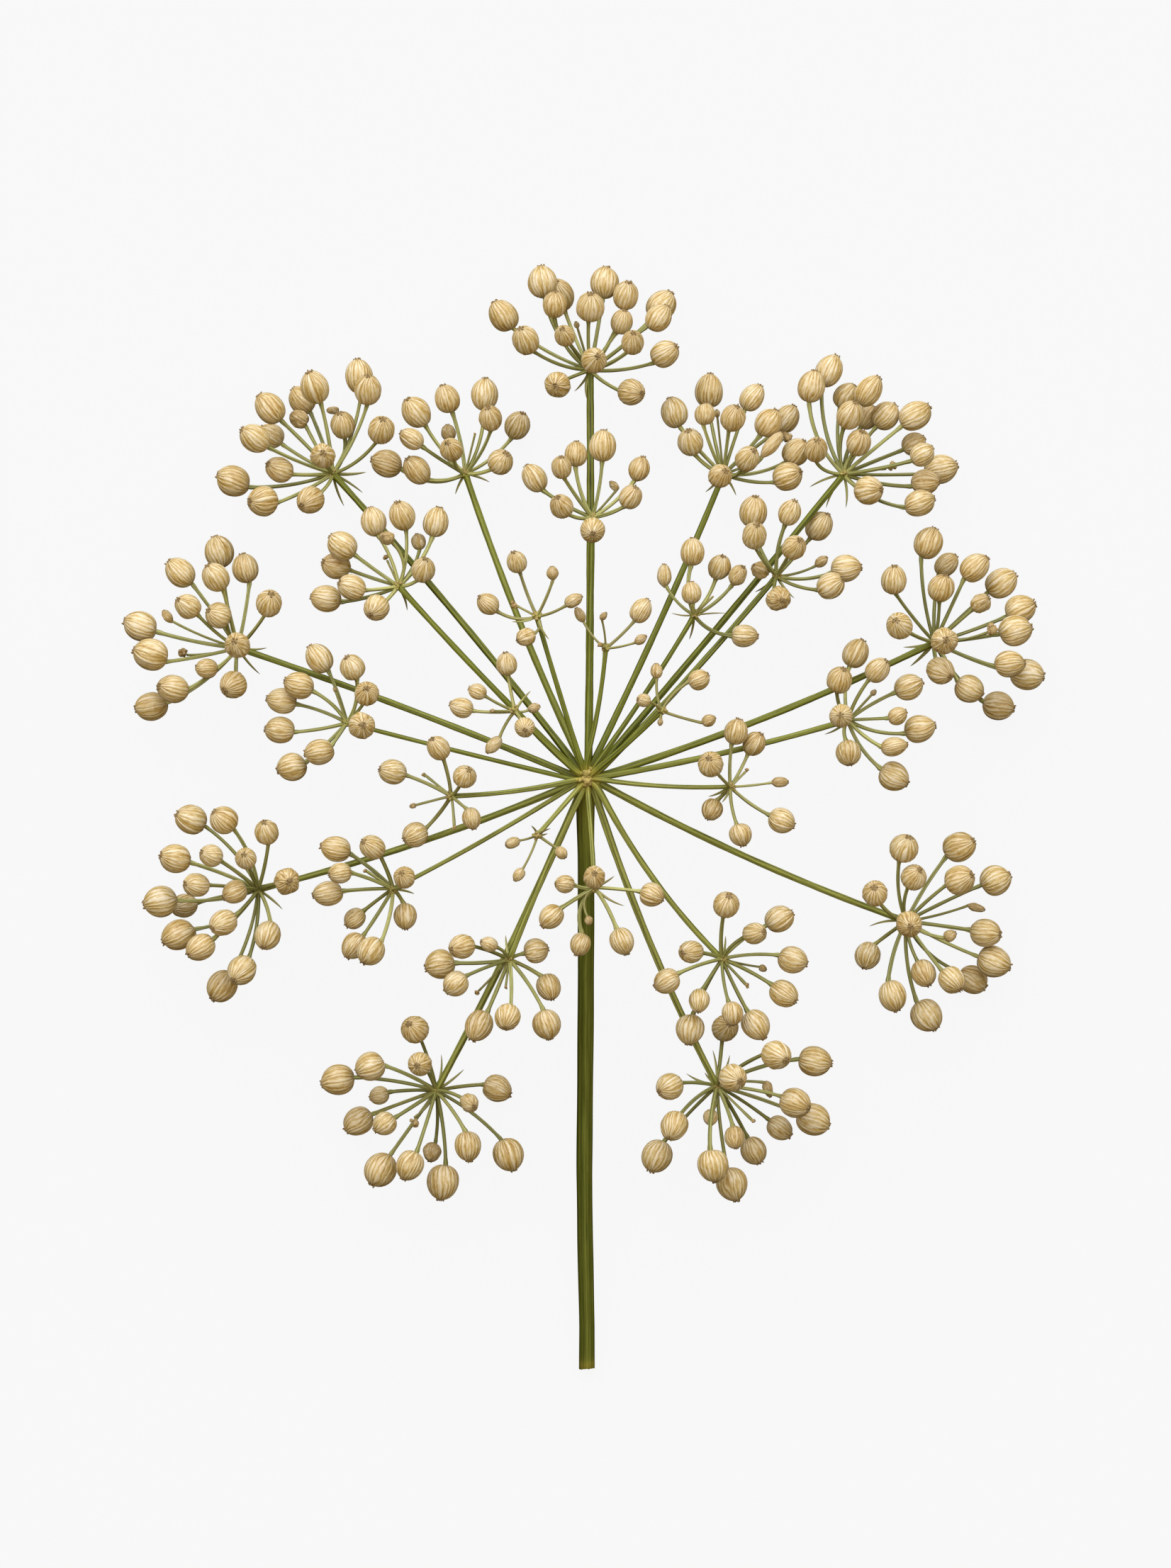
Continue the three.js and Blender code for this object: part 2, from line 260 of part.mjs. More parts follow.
    fruits: [
      [21.8, -31.91, 2.57, 0.252, 0.302, 0.92, 2.06, 2.58, 21.06, -37.37, 0.6, 21.38, -32.85, 0.32],
      [22.59, -38.77, 21.52, 0.453, -0.181, 0.873, 2.06, 2.37, 20.5, -38.67, 16.03, 21.61, -38.45, 19.55],
      [29.13, -35.37, 21.52, 0.541, -0.246, 0.804, 2.13, 2.66, 23.37, -36.95, 15.46, 27.82, -34.84, 19.49],
      [35.31, -36.72, 11.02, 0.992, -0.129, 0, 2.28, 2.61, 26.22, -37.07, 11.23, 32.88, -36.2, 11.02],
      [28.03, -40.84, 13.77, 0.316, -0.949, 0, 0.76, 1.36, 23.9, -39.27, 13.29, 27.62, -39.61, 13.77],
      [32.14, -42.79, 17.17, 0.843, -0.335, 0.421, 2.29, 2.44, 25.76, -40.48, 14.41, 30.33, -41.81, 16.2],
      [35.04, -45.6, 11.02, 0.921, -0.389, 0, 2.41, 2.69, 26.68, -42.07, 11.23, 32.68, -44.6, 11.02],
      [30.08, -47.19, 5.83, 0.821, -0.571, 0, 1.82, 2.13, 24.67, -42.89, 7.33, 28.46, -45.96, 5.83],
      [22.95, -48.1, 14.75, 0.122, -0.918, 0.377, 1.57, 1.84, 21.86, -43.31, 12.95, 22.75, -46.53, 14.1],
      [26.07, -50.65, 5.91, 0.434, -0.901, 0, 2.02, 2.26, 23.07, -44.44, 7.39, 25.13, -48.69, 5.91],
      [22.66, -55.51, 11.02, 0.276, -0.961, 0, 2.38, 2.69, 20.62, -46.83, 11.23, 21.79, -53.1, 11.02],
      [19.64, -52.33, 16.96, 0.194, -0.981, 0, 2.36, 2.56, 18.84, -45.35, 16.08, 19.11, -49.96, 16.96],
      [19.33, -45.18, 13.07, -0.033, -0.833, 0.552, 1.14, 1.38, 20.93, -42.44, 11.71, 19.49, -44.13, 12.35],
      [13.7, -46.34, 16.85, -0.333, -0.739, 0.586, 2.08, 2.47, 16.84, -41.71, 13.53, 14.53, -44.69, 15.48],
      [11.19, -51.34, 8.22, -0.374, -0.927, 0, 2.37, 2.64, 15.96, -44.48, 9.13, 12.14, -49, 8.22],
      [13.01, -40.36, 15.83, -0.735, -0.325, 0.596, 2.05, 2.24, 17.65, -39.61, 13.05, 14.6, -39.74, 14.56],
      [25.46, -45.39, 13.19, 0.683, -0.668, 0.296, 0.32, 0.42, 22.96, -42.96, 12.32, 25.2, -45.13, 13.07],
    ],
  },
  {
    id: 15, centre: [1.65, -9.95, 27.5], foot: [0.78, 3.44, 25.77], bow: [1.32, -3.25, 26.63],
    fruits: [
      [1.63, -8.34, 36.2, 0, 0.333, 0.943, 1.68, 1.94, 1.64, -9.71, 31.35, 1.64, -8.96, 34.47],
      [-2.82, -9.42, 29.54, -0.94, 0.007, 0.341, 1.39, 1.56, -0.01, -10.37, 28.4, -1.45, -9.39, 29.04],
      [-4.85, -14.39, 28.91, -0.703, -0.711, 0, 1.73, 2.07, -0.96, -11.46, 28.56, -3.49, -13.02, 28.91],
      [0.8, -14.89, 29.73, 0.218, -0.874, 0.435, 0.6, 0.75, -0.79, -11.67, 28.49, 0.64, -14.29, 29.42],
      [-0.48, -18.55, 27.5, -0.316, -0.949, 0, 1.57, 1.8, -1.78, -12.86, 27.5, 0.06, -16.94, 27.5],
      [5.81, -18.09, 27.5, 0.368, -0.93, 0, 1.85, 2.16, 3.84, -12.84, 27.5, 4.97, -16.25, 27.5],
      [10.33, -11.11, 27.5, 0.886, -0.349, 0.304, 1.85, 1.92, 5.16, -10.14, 26.62, 8.73, -10.5, 26.94],
    ],
  },
  {
    id: 16, centre: [-11.18, -20.97, 20.32], foot: [-0.59, 3.67, 25.12], bow: [-6.36, -8.41, 22.72],
    fruits: [
      [-18.35, -18.89, 25.89, -0.689, -0.156, 0.708, 1.83, 2.27, -13.76, -19.51, 21.59, -16.91, -18.6, 24.36],
      [-14.22, -18.53, 24.35, -0.868, 0.326, 0.375, 1.12, 1.44, -11.68, -19.58, 22.72, -13.06, -18.98, 23.84],
      [-21.75, -21.79, 17.19, -0.97, -0.244, 0, 2.22, 2.36, -15.36, -21.72, 17.97, -19.54, -21.44, 17.19],
      [-19.21, -24.51, 25, -0.785, -0.62, 0, 1.86, 2.02, -14.58, -21.84, 23.83, -17.79, -23.25, 25],
      [-15.81, -30.97, 21, -0.398, -0.851, 0.343, 2.07, 2.55, -12.79, -24.95, 19.57, -14.52, -29.17, 20.17],
      [-11.39, -29.5, 26.42, -0.16, -0.708, 0.688, 1.96, 2.23, -10.62, -24.34, 22.6, -10.86, -28.13, 24.97],
      [-5.5, -30.77, 21, 0.219, -0.976, 0, 2.14, 2.36, -7.97, -24.41, 20.83, -5.88, -28.58, 21],
      [-5.22, -25.26, 17.42, 0.262, -0.841, 0.473, 1.88, 2.19, -8.51, -22.02, 16.67, -6, -23.64, 16.44],
      [-7.09, -19.65, 18.97, 0.967, 0.253, 0, 1.89, 1.92, -10.11, -20.19, 19.3, -8.85, -20.11, 18.97],
      [-16.01, -25.93, 18.92, -0.668, -0.683, -0.296, 0.38, 0.49, -13.62, -23.47, 19.8, -15.7, -25.61, 19.06],
      [-11.69, -25.08, 22.27, -0.121, -0.948, 0.296, 0.27, 0.35, -11.43, -23.02, 21.45, -11.65, -24.77, 22.17],
    ],
  },
  {
    id: 17, centre: [-22.45, -41.28, 8.9], foot: [-0.71, 3.73, 23.59], bow: [-10.53, -19.08, 16.24],
    fruits: [
      [-25.6, -31.58, 16.7, -0.363, 0.415, 0.834, 2.11, 2.21, -23.05, -37.12, 11.57, -24.88, -32.52, 14.95],
      [-24.71, -36.78, 19.4, -0.185, -0.076, 0.98, 1.83, 2.11, -23.58, -37.78, 13.31, -24.39, -36.71, 17.44],
      [-32.44, -37.43, 13.69, -0.915, -0.403, 0, 2.23, 2.34, -26.12, -38.61, 12.49, -30.26, -37, 13.69],
      [-37.55, -39.65, 8.9, -0.977, -0.212, 0, 2.4, 2.66, -28.64, -39.36, 8.9, -35.06, -39.11, 8.9],
      [-31.29, -42.2, 5.01, -0.963, -0.271, 0, 1.43, 1.59, -26.21, -41.1, 5.98, -29.89, -41.6, 5.01],
      [-34.62, -46.35, 2.13, -0.792, -0.611, 0, 2.18, 2.47, -27.59, -43.22, 3.82, -32.57, -45.17, 2.13],
      [-30.26, -46.14, 13.16, -0.799, -0.601, 0, 1.81, 1.91, -25.5, -43.29, 12.1, -28.69, -45.22, 13.16],
      [-25.7, -45.94, 11.39, 0.321, -0.841, 0.435, 0.63, 1.05, -23.5, -43.71, 9.95, -25.75, -45.11, 10.98],
      [-30.98, -53.39, 8.9, -0.501, -0.866, 0, 2.43, 2.79, -26.01, -46.24, 8.9, -29.54, -51.16, 8.9],
      [-26.38, -52.45, 14.36, -0.424, -0.906, 0, 2.07, 2.39, -23.76, -45.87, 12.99, -25.23, -50.5, 14.36],
      [-23.2, -50.92, 4.68, -0.2, -0.98, 0, 1.36, 1.55, -22, -45.49, 5.73, -22.62, -49.56, 4.68],
      [-21.46, -55.31, 8.9, -0.098, -0.995, 0, 2.45, 2.79, -21.03, -46.94, 8.9, -20.87, -52.72, 8.9],
      [-17.52, -49.58, 13.3, 0.095, -0.995, 0, 2.03, 2.38, -19.66, -43.99, 12.2, -17.7, -47.32, 13.3],
      [-11.43, -51.12, 8.9, 0.331, -0.944, 0, 2.37, 2.63, -16.65, -44.09, 8.9, -12.26, -48.74, 8.9],
      [-13.12, -41.34, 2.04, 0.842, -0.396, 0.367, 2.1, 2.36, -18.89, -40.73, 2.44, -15.04, -40.47, 1.22],
      [-17.21, -42.76, 17.48, 0.404, -0.303, 0.863, 1.4, 1.75, -20.36, -41.05, 12.73, -17.91, -42.32, 16.05],
    ],
  },
  {
    id: 18, centre: [-6.85, -2.1, 27], foot: [-1.37, 4.17, 26.19], bow: [-4.11, 1.04, 26.6],
    fruits: [
      [-10.68, -3.32, 24.88, -0.792, -0.35, 0.5, 0.82, 1.2, -8.19, -2.79, 24.55, -9.79, -2.93, 24.31],
      [-3.27, -4.79, 29.03, 0.586, -0.706, 0.398, 0.92, 1.07, -5.44, -3.19, 27.89, -3.86, -4.08, 28.63],
      [-9.7, -8.09, 27, -0.581, -0.814, 0, 0.86, 1.16, -7.62, -4.81, 27, -9.07, -7.2, 27],
    ],
  },
  {
    id: 19, centre: [-28.78, -10.31, 18], foot: [-2, 4.93, 25.18], bow: [-14.97, -3.31, 21.59],
    fruits: [
      [-37.49, -4.26, 18, -0.981, 0.192, 0, 2, 2.4, -31.77, -7.21, 18, -35.29, -4.82, 18],
      [-31.74, -3.98, 23.65, -0.626, 0.408, 0.664, 1.8, 2.21, -29.38, -7.68, 20.21, -30.58, -4.98, 22.26],
      [-36.68, -7.9, 21.78, -0.918, -0.122, 0.377, 1.57, 1.84, -31.81, -8.73, 19.74, -35.11, -7.7, 21.12],
      [-38.69, -11.06, 18, -0.992, -0.122, 0, 1.91, 2.35, -32.68, -10.26, 18, -36.5, -10.66, 18],
      [-26.83, -8.43, 27.75, -0.209, 0.382, 0.9, 1.64, 1.89, -26.75, -10.11, 22.52, -26.5, -9.13, 26.13],
      [-34.7, -14.91, 14.66, -0.744, -0.668, 0, 1.55, 1.81, -31.19, -11.98, 15.5, -33.41, -13.77, 14.66],
      [-34.72, -19.03, 16.63, -0.563, -0.827, 0, 1.9, 2.18, -30.91, -14.04, 16.97, -33.32, -17.52, 16.63],
      [-32.08, -19.72, 20.12, -0.541, -0.776, 0.325, 2.06, 2.32, -28.88, -14.6, 18.48, -30.41, -18.6, 19.42],
      [-26.99, -14.56, 15.88, 0.038, -0.938, 0.345, 1.76, 2.11, -27.8, -11.37, 15.59, -27.08, -12.7, 15.19],
      [-32.59, -7.72, 19.4, -0.795, 0.53, 0.296, 0.32, 0.42, -30.67, -9.02, 18.68, -32.28, -7.93, 19.28],
    ],
  },
  {
    id: 20, centre: [-49.6, -10.56, 8.88], foot: [-2.18, 5.31, 23.7], bow: [-25.1, -4.4, 16.29],
    fruits: [
      [-59.86, 0.17, 10.36, -0.817, 0.332, 0.471, 2.22, 2.62, -52.41, -4.56, 7.83, -57.88, -0.67, 9.19],
      [-54.55, 0.12, 15.66, -0.704, 0.583, 0.406, 2.12, 2.2, -50.01, -5.3, 12.39, -53.1, -1.08, 14.81],
      [-47.93, -1.67, 17.69, -0.201, 0.71, 0.675, 1.82, 2.11, -48.24, -7.04, 13.11, -47.52, -3.08, 16.34],
      [-61.99, -5.75, 14.86, -0.856, 0.218, 0.469, 2.18, 2.59, -54.52, -7.97, 11.33, -59.95, -6.3, 13.7],
      [-56.41, -5.28, 17.4, -0.703, 0.255, 0.665, 1.71, 1.99, -52.05, -8.1, 13.01, -55.21, -5.89, 16.15],
      [-50.91, -5.68, 20.86, -0.122, 0.35, 0.929, 1.64, 1.88, -50.33, -8.12, 14.7, -50.78, -6.32, 19.2],
      [-44.68, -9.16, 20.86, 0.214, 0.03, 0.976, 1.99, 2.29, -46.82, -9.67, 14.39, -45.24, -9.25, 18.74],
      [-58.68, -9.79, 16.16, -0.755, 0.066, 0.653, 1.8, 2.25, -53.19, -10.05, 10.98, -57.15, -9.8, 14.77],
      [-64.62, -12.44, 8.35, -0.977, -0.211, 0, 2.4, 2.7, -55.69, -12.81, 8.48, -62.06, -12.05, 8.35],
      [-61.38, -13.18, 1.86, -0.802, -0.153, 0.577, 1.85, 2.24, -54.79, -11.46, 1.15, -59.73, -12.86, 0.64],
      [-53, -10.91, 14.06, -0.888, -0.461, 0, 1.74, 1.99, -50.37, -10.29, 12.76, -51.27, -10.15, 14.06],
      [-54.62, -15.54, 16.74, -0.646, -0.356, 0.675, 1.95, 2.43, -51.01, -12.77, 12.56, -53.12, -14.95, 15.19],
      [-61.72, -17.52, 10.36, -0.906, -0.424, 0, 2.32, 2.75, -52.93, -16.09, 9.99, -59.34, -16.41, 10.36],
      [-58.04, -19.27, 16.87, -0.74, -0.432, 0.515, 2, 2.5, -52.39, -14.82, 12.6, -56.35, -18.27, 15.65],
      [-51.88, -22.79, 15.59, -0.442, -0.56, 0.701, 2.13, 2.66, -49.28, -16.68, 10.89, -50.89, -21.4, 13.82],
      [-55.08, -25.32, 10.36, -0.584, -0.812, 0, 2.25, 2.61, -50.23, -17.41, 9.99, -53.49, -23.41, 10.36],
      [-47.92, -17.48, 14.86, -0.249, -0.78, 0.574, 1.99, 2.38, -47.89, -12.85, 11.61, -47.3, -15.79, 13.56],
    ],
  },
  {
    id: 21, centre: [-19.86, 3.74, 24.32], foot: [-2.34, 5.87, 26.35], bow: [-10.98, 3.96, 25.33],
    fruits: [
      [-21.72, 10.96, 28.76, -0.488, 0.678, 0.55, 1.66, 2.07, -20.06, 6.63, 26.05, -20.97, 9.55, 27.68],
      [-28.7, 7.37, 24.32, -0.899, 0.194, 0.392, 1.86, 2.24, -23.16, 5.7, 23.05, -26.83, 6.97, 23.49],
      [-17.71, 6.71, 28.14, 0.34, 0.563, 0.754, 1.78, 1.85, -18.94, 4.32, 25.64, -18.33, 5.74, 26.81],
      [-25.43, -2.17, 20.89, -0.795, -0.37, 0.48, 1.92, 2.05, -21.55, 0.96, 20.25, -23.91, -1.45, 19.95],
      [-19.47, -0.1, 25.87, 0.115, -0.893, 0.435, 0.6, 1.17, -19.57, 2.37, 24.84, -19.61, 0.88, 25.38],
      [-16.76, 0.34, 26.44, 0.2, -0.98, 0, 1.41, 1.74, -18.63, 2.71, 25.91, -17.34, 1.85, 26.44],
      [-23.63, 6.73, 22.87, -0.746, 0.597, -0.296, 0.32, 0.42, -21.73, 5.23, 23.61, -23.33, 6.49, 22.99],
      [-25.66, 2.24, 22.52, -0.925, -0.24, -0.296, 0.43, 0.56, -22.73, 3, 23.44, -25.17, 2.37, 22.68],
    ],
  },
  {
    id: 22, centre: [-35.78, 14.78, 17], foot: [-2.45, 6.47, 24.94], bow: [-19.1, 10.4, 20.97],
    fruits: [
      [-40.05, 24.63, 17, -0.605, 0.796, 0, 2, 2.46, -36.86, 19.07, 17, -38.55, 22.84, 17],
      [-34.85, 23.2, 21.43, -0.403, 0.767, 0.499, 1.89, 2.02, -33.6, 17.88, 18.77, -34.11, 21.75, 20.47],
      [-32.53, 19.13, 24.71, 0.005, 0.374, 0.927, 1.85, 2.13, -33.46, 16.94, 19.92, -32.61, 18.41, 22.83],
      [-43.02, 20.44, 18.37, -0.952, 0.308, 0, 2.06, 2.36, -37.61, 18.03, 18.03, -40.93, 19.65, 18.37],
      [-45.78, 18.16, 15.63, -0.989, 0.148, 0, 1.98, 2.37, -39.47, 16.89, 15.97, -43.58, 17.64, 15.63],
      [-46.08, 13.71, 15.33, -0.998, 0.061, 0, 2.01, 2.33, -39.82, 13.66, 15.75, -43.91, 13.29, 15.33],
      [-44.18, 8.08, 17, -0.976, -0.216, 0, 2.14, 2.35, -38.77, 11.53, 17, -42, 8.56, 17],
      [-39.9, 10.34, 19.77, -0.99, -0.138, 0, 1.98, 2.32, -36.87, 12.96, 19.08, -37.88, 11.15, 19.77],
      [-33.21, 14.28, 26.92, 0.1, 0.037, 0.994, 2.03, 2.33, -34.3, 14.31, 21.14, -33.51, 14.22, 24.71],
      [-37.55, 19.8, 18.61, -0.325, 0.898, 0.296, 0.32, 0.42, -36.67, 17.3, 17.8, -37.42, 19.44, 18.49],
    ],
  },
  {
    id: 23, centre: [-52.73, 26.32, 8.95], foot: [-2.31, 7.16, 23.57], bow: [-27, 17.57, 16.26],
    fruits: [
      [-52.22, 26.5, 20.65, -0.143, 0.239, 0.96, 1.95, 2.25, -52.04, 25.72, 14.5, -52.02, 26.04, 18.6],
      [-61.49, 37.81, 10.15, -0.736, 0.677, 0, 2.07, 2.58, -56.02, 31.38, 9.85, -59.62, 36.21, 10.15],
      [-55.94, 41.22, 2.26, -0.297, 0.955, 0, 2.26, 2.58, -54.84, 32.16, 3.93, -55.31, 38.82, 2.26],
      [-55.79, 36.96, 15.18, -0.499, 0.759, 0.418, 2.06, 2.43, -53.61, 30.77, 12.01, -54.6, 35.3, 14.22],
      [-51.65, 38.54, 7.94, -0.24, 0.971, 0, 2.04, 2.35, -51.51, 31.39, 8.19, -50.75, 36.5, 7.94],
      [-47.45, 32.86, 19.59, 0.195, 0.586, 0.787, 1.99, 2.35, -50.03, 28.44, 13.9, -47.75, 31.55, 17.84],
      [-60.01, 32.51, 15.4, -0.712, 0.443, 0.545, 1.86, 2.18, -56.08, 28.32, 11.74, -58.68, 31.52, 14.27],
      [-55.44, 31.17, 14.62, -0.71, 0.367, 0.601, 1.99, 2.07, -53.92, 28.01, 11.65, -54.1, 30.49, 13.44],
      [-63.34, 31.04, 10.15, -0.611, 0.792, 0, 0.73, 1.23, -57.87, 27.67, 9.85, -62.54, 30.2, 10.15],
      [-67.59, 29.61, 10.15, -0.952, 0.306, 0, 2.21, 2.66, -59.11, 26.9, 9.85, -65.21, 28.76, 10.15],
      [-65.65, 25.2, 15.66, -0.96, 0.28, 0, 2.47, 2.77, -58.09, 24.75, 13.6, -63.59, 23.64, 15.66],
      [-61.56, 25.73, 0.65, -0.868, 0.496, 0, 0.65, 0.87, -56.81, 25.32, 2.73, -60.84, 25.31, 0.65],
      [-57.2, 23.09, 13.92, -0.998, 0.062, 0, 1.52, 1.74, -53.85, 24.39, 12.68, -55.55, 22.99, 13.92],
      [-62.28, 19.97, 15.52, -0.857, 0.169, 0.486, 2.18, 2.58, -55.72, 22.11, 11.62, -60.25, 19.55, 14.32],
      [-65.86, 17.34, 10.15, -0.985, -0.172, 0, 2.2, 2.56, -57.04, 20.68, 9.85, -63.45, 17.76, 10.15],
      [-53.13, 20.51, 15.77, -0.549, -0.385, 0.742, 2.1, 2.2, -52.99, 24.26, 11.97, -52.55, 21.76, 14.22],
    ],
  },
  {
    id: 24, centre: [-10.23, 16.47, 29], foot: [-1.9, 8.09, 25.99], bow: [-6.29, 12.05, 27.5],
    fruits: [
      [-11.5, 23.55, 27.94, -0.127, 0.935, 0.331, 1.6, 1.85, -10.9, 19.17, 27.36, -11.29, 21.94, 27.36],
      [-15.86, 19.36, 29, -0.934, 0.357, 0, 1.21, 1.46, -12.61, 17.31, 29, -14.67, 18.7, 29],
      [-18.29, 16.99, 29, -0.95, 0.312, 0, 1.53, 1.87, -13.45, 16.06, 29, -16.64, 16.41, 29],
      [-7.38, 16.91, 27.68, 0.949, 0.316, 0, 0.71, 1.02, -9.22, 16.09, 28.01, -8.28, 16.61, 27.68],
      [-8.69, 13.91, 36.19, 0.068, -0.273, 0.96, 1.52, 1.74, -9.26, 15.24, 31.98, -8.81, 14.37, 34.6],
      [-13.46, 11.36, 27.42, -0.67, -0.742, 0, 0.99, 1.61, -11.77, 14.7, 27.82, -12.45, 12.49, 27.42],
      [-13.6, 16.46, 30.03, -0.955, 0, 0.296, 0.32, 0.42, -11.85, 16.46, 29.49, -13.23, 16.46, 29.91],
    ],
  },
  {
    id: 25, centre: [-27.91, 35.44, 18.57], foot: [-1.82, 8.2, 24.58], bow: [-15.28, 21.33, 21.57],
    fruits: [
      [-31.75, 45.25, 17.77, -0.261, 0.965, 0, 1.94, 2.31, -28.59, 39.7, 18.48, -31.18, 43.14, 17.77],
      [-27.4, 46.13, 19.16, -0.308, 0.879, 0.365, 1.96, 2.39, -26.22, 39.65, 17.71, -26.72, 44.18, 18.33],
      [-22.31, 45.24, 17, 0.237, 0.971, 0, 1.93, 2.36, -24.3, 38.57, 17.39, -22.72, 43.04, 17],
      [-24.99, 42.31, 15.17, -0.263, 0.965, 0, 1.14, 1.31, -25.51, 37.82, 16.76, -24.67, 41.11, 15.17],
      [-29.61, 42.58, 22.42, -0.442, 0.126, 0.888, 1.09, 1.36, -25.83, 39.1, 19.05, -29.12, 42.36, 21.28],
      [-36.52, 41.63, 17.56, -0.772, 0.636, 0, 2.18, 2.44, -31.4, 37.74, 17.81, -34.67, 40.24, 17.56],
      [-37.6, 38.69, 14.26, -0.841, 0.239, 0.485, 2.01, 2.38, -31.87, 36.67, 13.62, -35.75, 38.16, 13.16],
      [-35.01, 35.27, 20.74, -0.815, 0.292, 0.5, 1.95, 2.32, -30.5, 34.92, 18.74, -33.26, 34.64, 19.64],
      [-38.98, 33.62, 17, -0.986, 0.166, 0, 2.06, 2.42, -32.19, 33.51, 17.39, -36.81, 32.93, 17],
      [-31.23, 32, 21.76, -0.432, -0.529, 0.731, 1.97, 2.05, -28.75, 34.24, 19.16, -30.11, 32.64, 20.35],
      [-24.1, 37.93, 20.95, 0.151, 0.705, 0.693, 1.79, 2.24, -26.15, 35.4, 18.62, -24.46, 36.49, 19.47],
      [-29.87, 39.76, 17.34, -0.392, 0.871, 0.296, 0.43, 0.56, -28.88, 37.55, 17.26, -29.67, 39.31, 17.19],
    ],
  },
  {
    id: 26, centre: [-38.24, 52.92, 8.91], foot: [-1.32, 8.69, 22.98], bow: [-18.76, 31.43, 15.15],
    fruits: [
      [-53.51, 51.86, 8.46, -0.932, 0.363, 0, 2.31, 2.7, -44.54, 50.54, 8.57, -51.23, 50.66, 8.46],
      [-48.72, 48.47, 14.57, -0.831, -0.038, 0.554, 2.32, 2.41, -42.26, 49.92, 10.9, -47.02, 47.82, 13.31],
      [-41.52, 48.6, 14.09, -0.519, -0.399, 0.756, 2.04, 2.41, -38.56, 51.05, 10.62, -40.31, 49.44, 12.36],
      [-46.33, 53.42, 12.32, -0.721, 0.32, 0.614, 1.94, 2.38, -41.45, 52.57, 9.4, -44.87, 52.55, 10.93],
      [-49.86, 58, 15.67, -0.779, 0.524, 0.344, 2.06, 2.58, -43.27, 54.23, 13.22, -48.06, 56.67, 14.83],
      [-47.99, 59.14, 1.8, -0.795, 0.607, 0, 1.85, 2.11, -42.64, 55.09, 3.58, -46.45, 57.81, 1.8],
      [-47.93, 63.01, 8.46, -0.639, 0.769, 0, 2.13, 2.68, -42.06, 57.23, 8.57, -46.27, 61.06, 8.46],
      [-43.61, 61.48, 4.73, -0.875, 0.484, 0, 1.3, 1.49, -40.64, 56.69, 5.78, -42.5, 60.59, 4.73],
      [-43.29, 64.57, 2.02, -0.635, 0.773, 0, 2.06, 2.36, -39.82, 58.07, 3.74, -41.86, 62.81, 2.02],
      [-40.96, 66.06, 10.72, -0.314, 0.873, 0.372, 2.16, 2.71, -38.6, 58.43, 10.18, -40.06, 63.91, 9.76],
      [-34.27, 67.87, 7.19, -0.138, 0.99, 0, 2.11, 2.78, -34.76, 58.7, 6.61, -33.82, 65.25, 7.19],
      [-32.8, 65.64, 11.12, 0.024, 0.838, 0.545, 2.05, 2.56, -34.58, 57.71, 9.92, -32.69, 63.68, 9.8],
      [-36.72, 60.37, 9.15, -0.144, 0.769, 0.623, 1.9, 2.33, -36.03, 55.29, 7.11, -36.45, 58.73, 7.77],
      [-38.42, 62.82, 4.16, -1, 0, 0, 0.6, 0.97, -34.71, 57.62, 5.34, -37.49, 62.82, 4.16],
      [-30.59, 59.28, 16.13, 0.11, 0.646, 0.755, 2.02, 2.38, -33.91, 54.12, 11.36, -30.89, 57.91, 14.42],
      [-39.35, 55.13, 18.96, 0.049, 0.148, 0.988, 1.9, 2.19, -39.38, 54.24, 13.08, -39.54, 54.92, 16.91],
    ],
  },
  {
    id: 27, centre: [-18.01, 52.92, 9.01], foot: [-0.52, 9.16, 24.2], bow: [-10.5, 30.36, 16.6],
    fruits: [
      [-30.07, 54.46, 9.01, -0.965, 0.26, 0, 2.08, 2.48, -23.25, 49.96, 9.01, -27.78, 53.84, 9.01],
      [-25.37, 53.33, 12.21, -0.622, 0.715, 0.319, 1.89, 2.49, -20.78, 51.29, 10.4, -23.99, 51.62, 11.45],
      [-26.12, 58, 13.34, -0.848, 0.53, 0, 1.55, 2.03, -21.45, 54.6, 12.26, -24.53, 56.9, 13.34],
      [-25.57, 62.36, 9.01, -0.55, 0.743, 0.38, 2.11, 2.64, -21.87, 56.13, 7.51, -24.21, 60.54, 8.05],
      [-20.81, 64.39, 9.01, -0.31, 0.892, 0.329, 1.88, 2.35, -18.47, 57.83, 7.79, -20.04, 62.47, 8.27],
      [-15.06, 65.05, 9.01, 0.026, 1, 0, 2.06, 2.61, -15.19, 57.36, 9.01, -15.12, 62.56, 9.01],
      [-14.11, 61.11, 14.1, -0.173, 0.694, 0.699, 1.77, 2.21, -15.19, 55.71, 10.43, -13.77, 59.73, 12.63],
      [-10.11, 60.68, 2.05, 0.365, 0.796, 0.483, 1.94, 2.38, -13.81, 55.04, 1.84, -10.83, 58.86, 0.96],
      [-12.53, 54.53, 13.7, 0.448, 0.592, 0.67, 1.95, 2.06, -15.83, 52.49, 10.76, -13.49, 53.49, 12.39],
      [-20.04, 56.26, 15.59, -0.266, 0.425, 0.865, 1.74, 2.17, -19.76, 53.17, 11.57, -19.53, 55.47, 13.8],
      [-20.71, 59.46, 3.94, -0.179, 0.984, 0, 1.14, 1.31, -21.86, 54.43, 5.21, -20.49, 58.22, 3.94],
      [-16.58, 58.56, 10.77, 0.228, 0.928, 0.296, 0.32, 0.42, -17.29, 55.77, 9.88, -16.67, 58.19, 10.65],
    ],
  },
  {
    id: 28, centre: [-6.96, 30.64, 26], foot: [-0.44, 9.19, 26.06], bow: [-3.91, 19.85, 26.03],
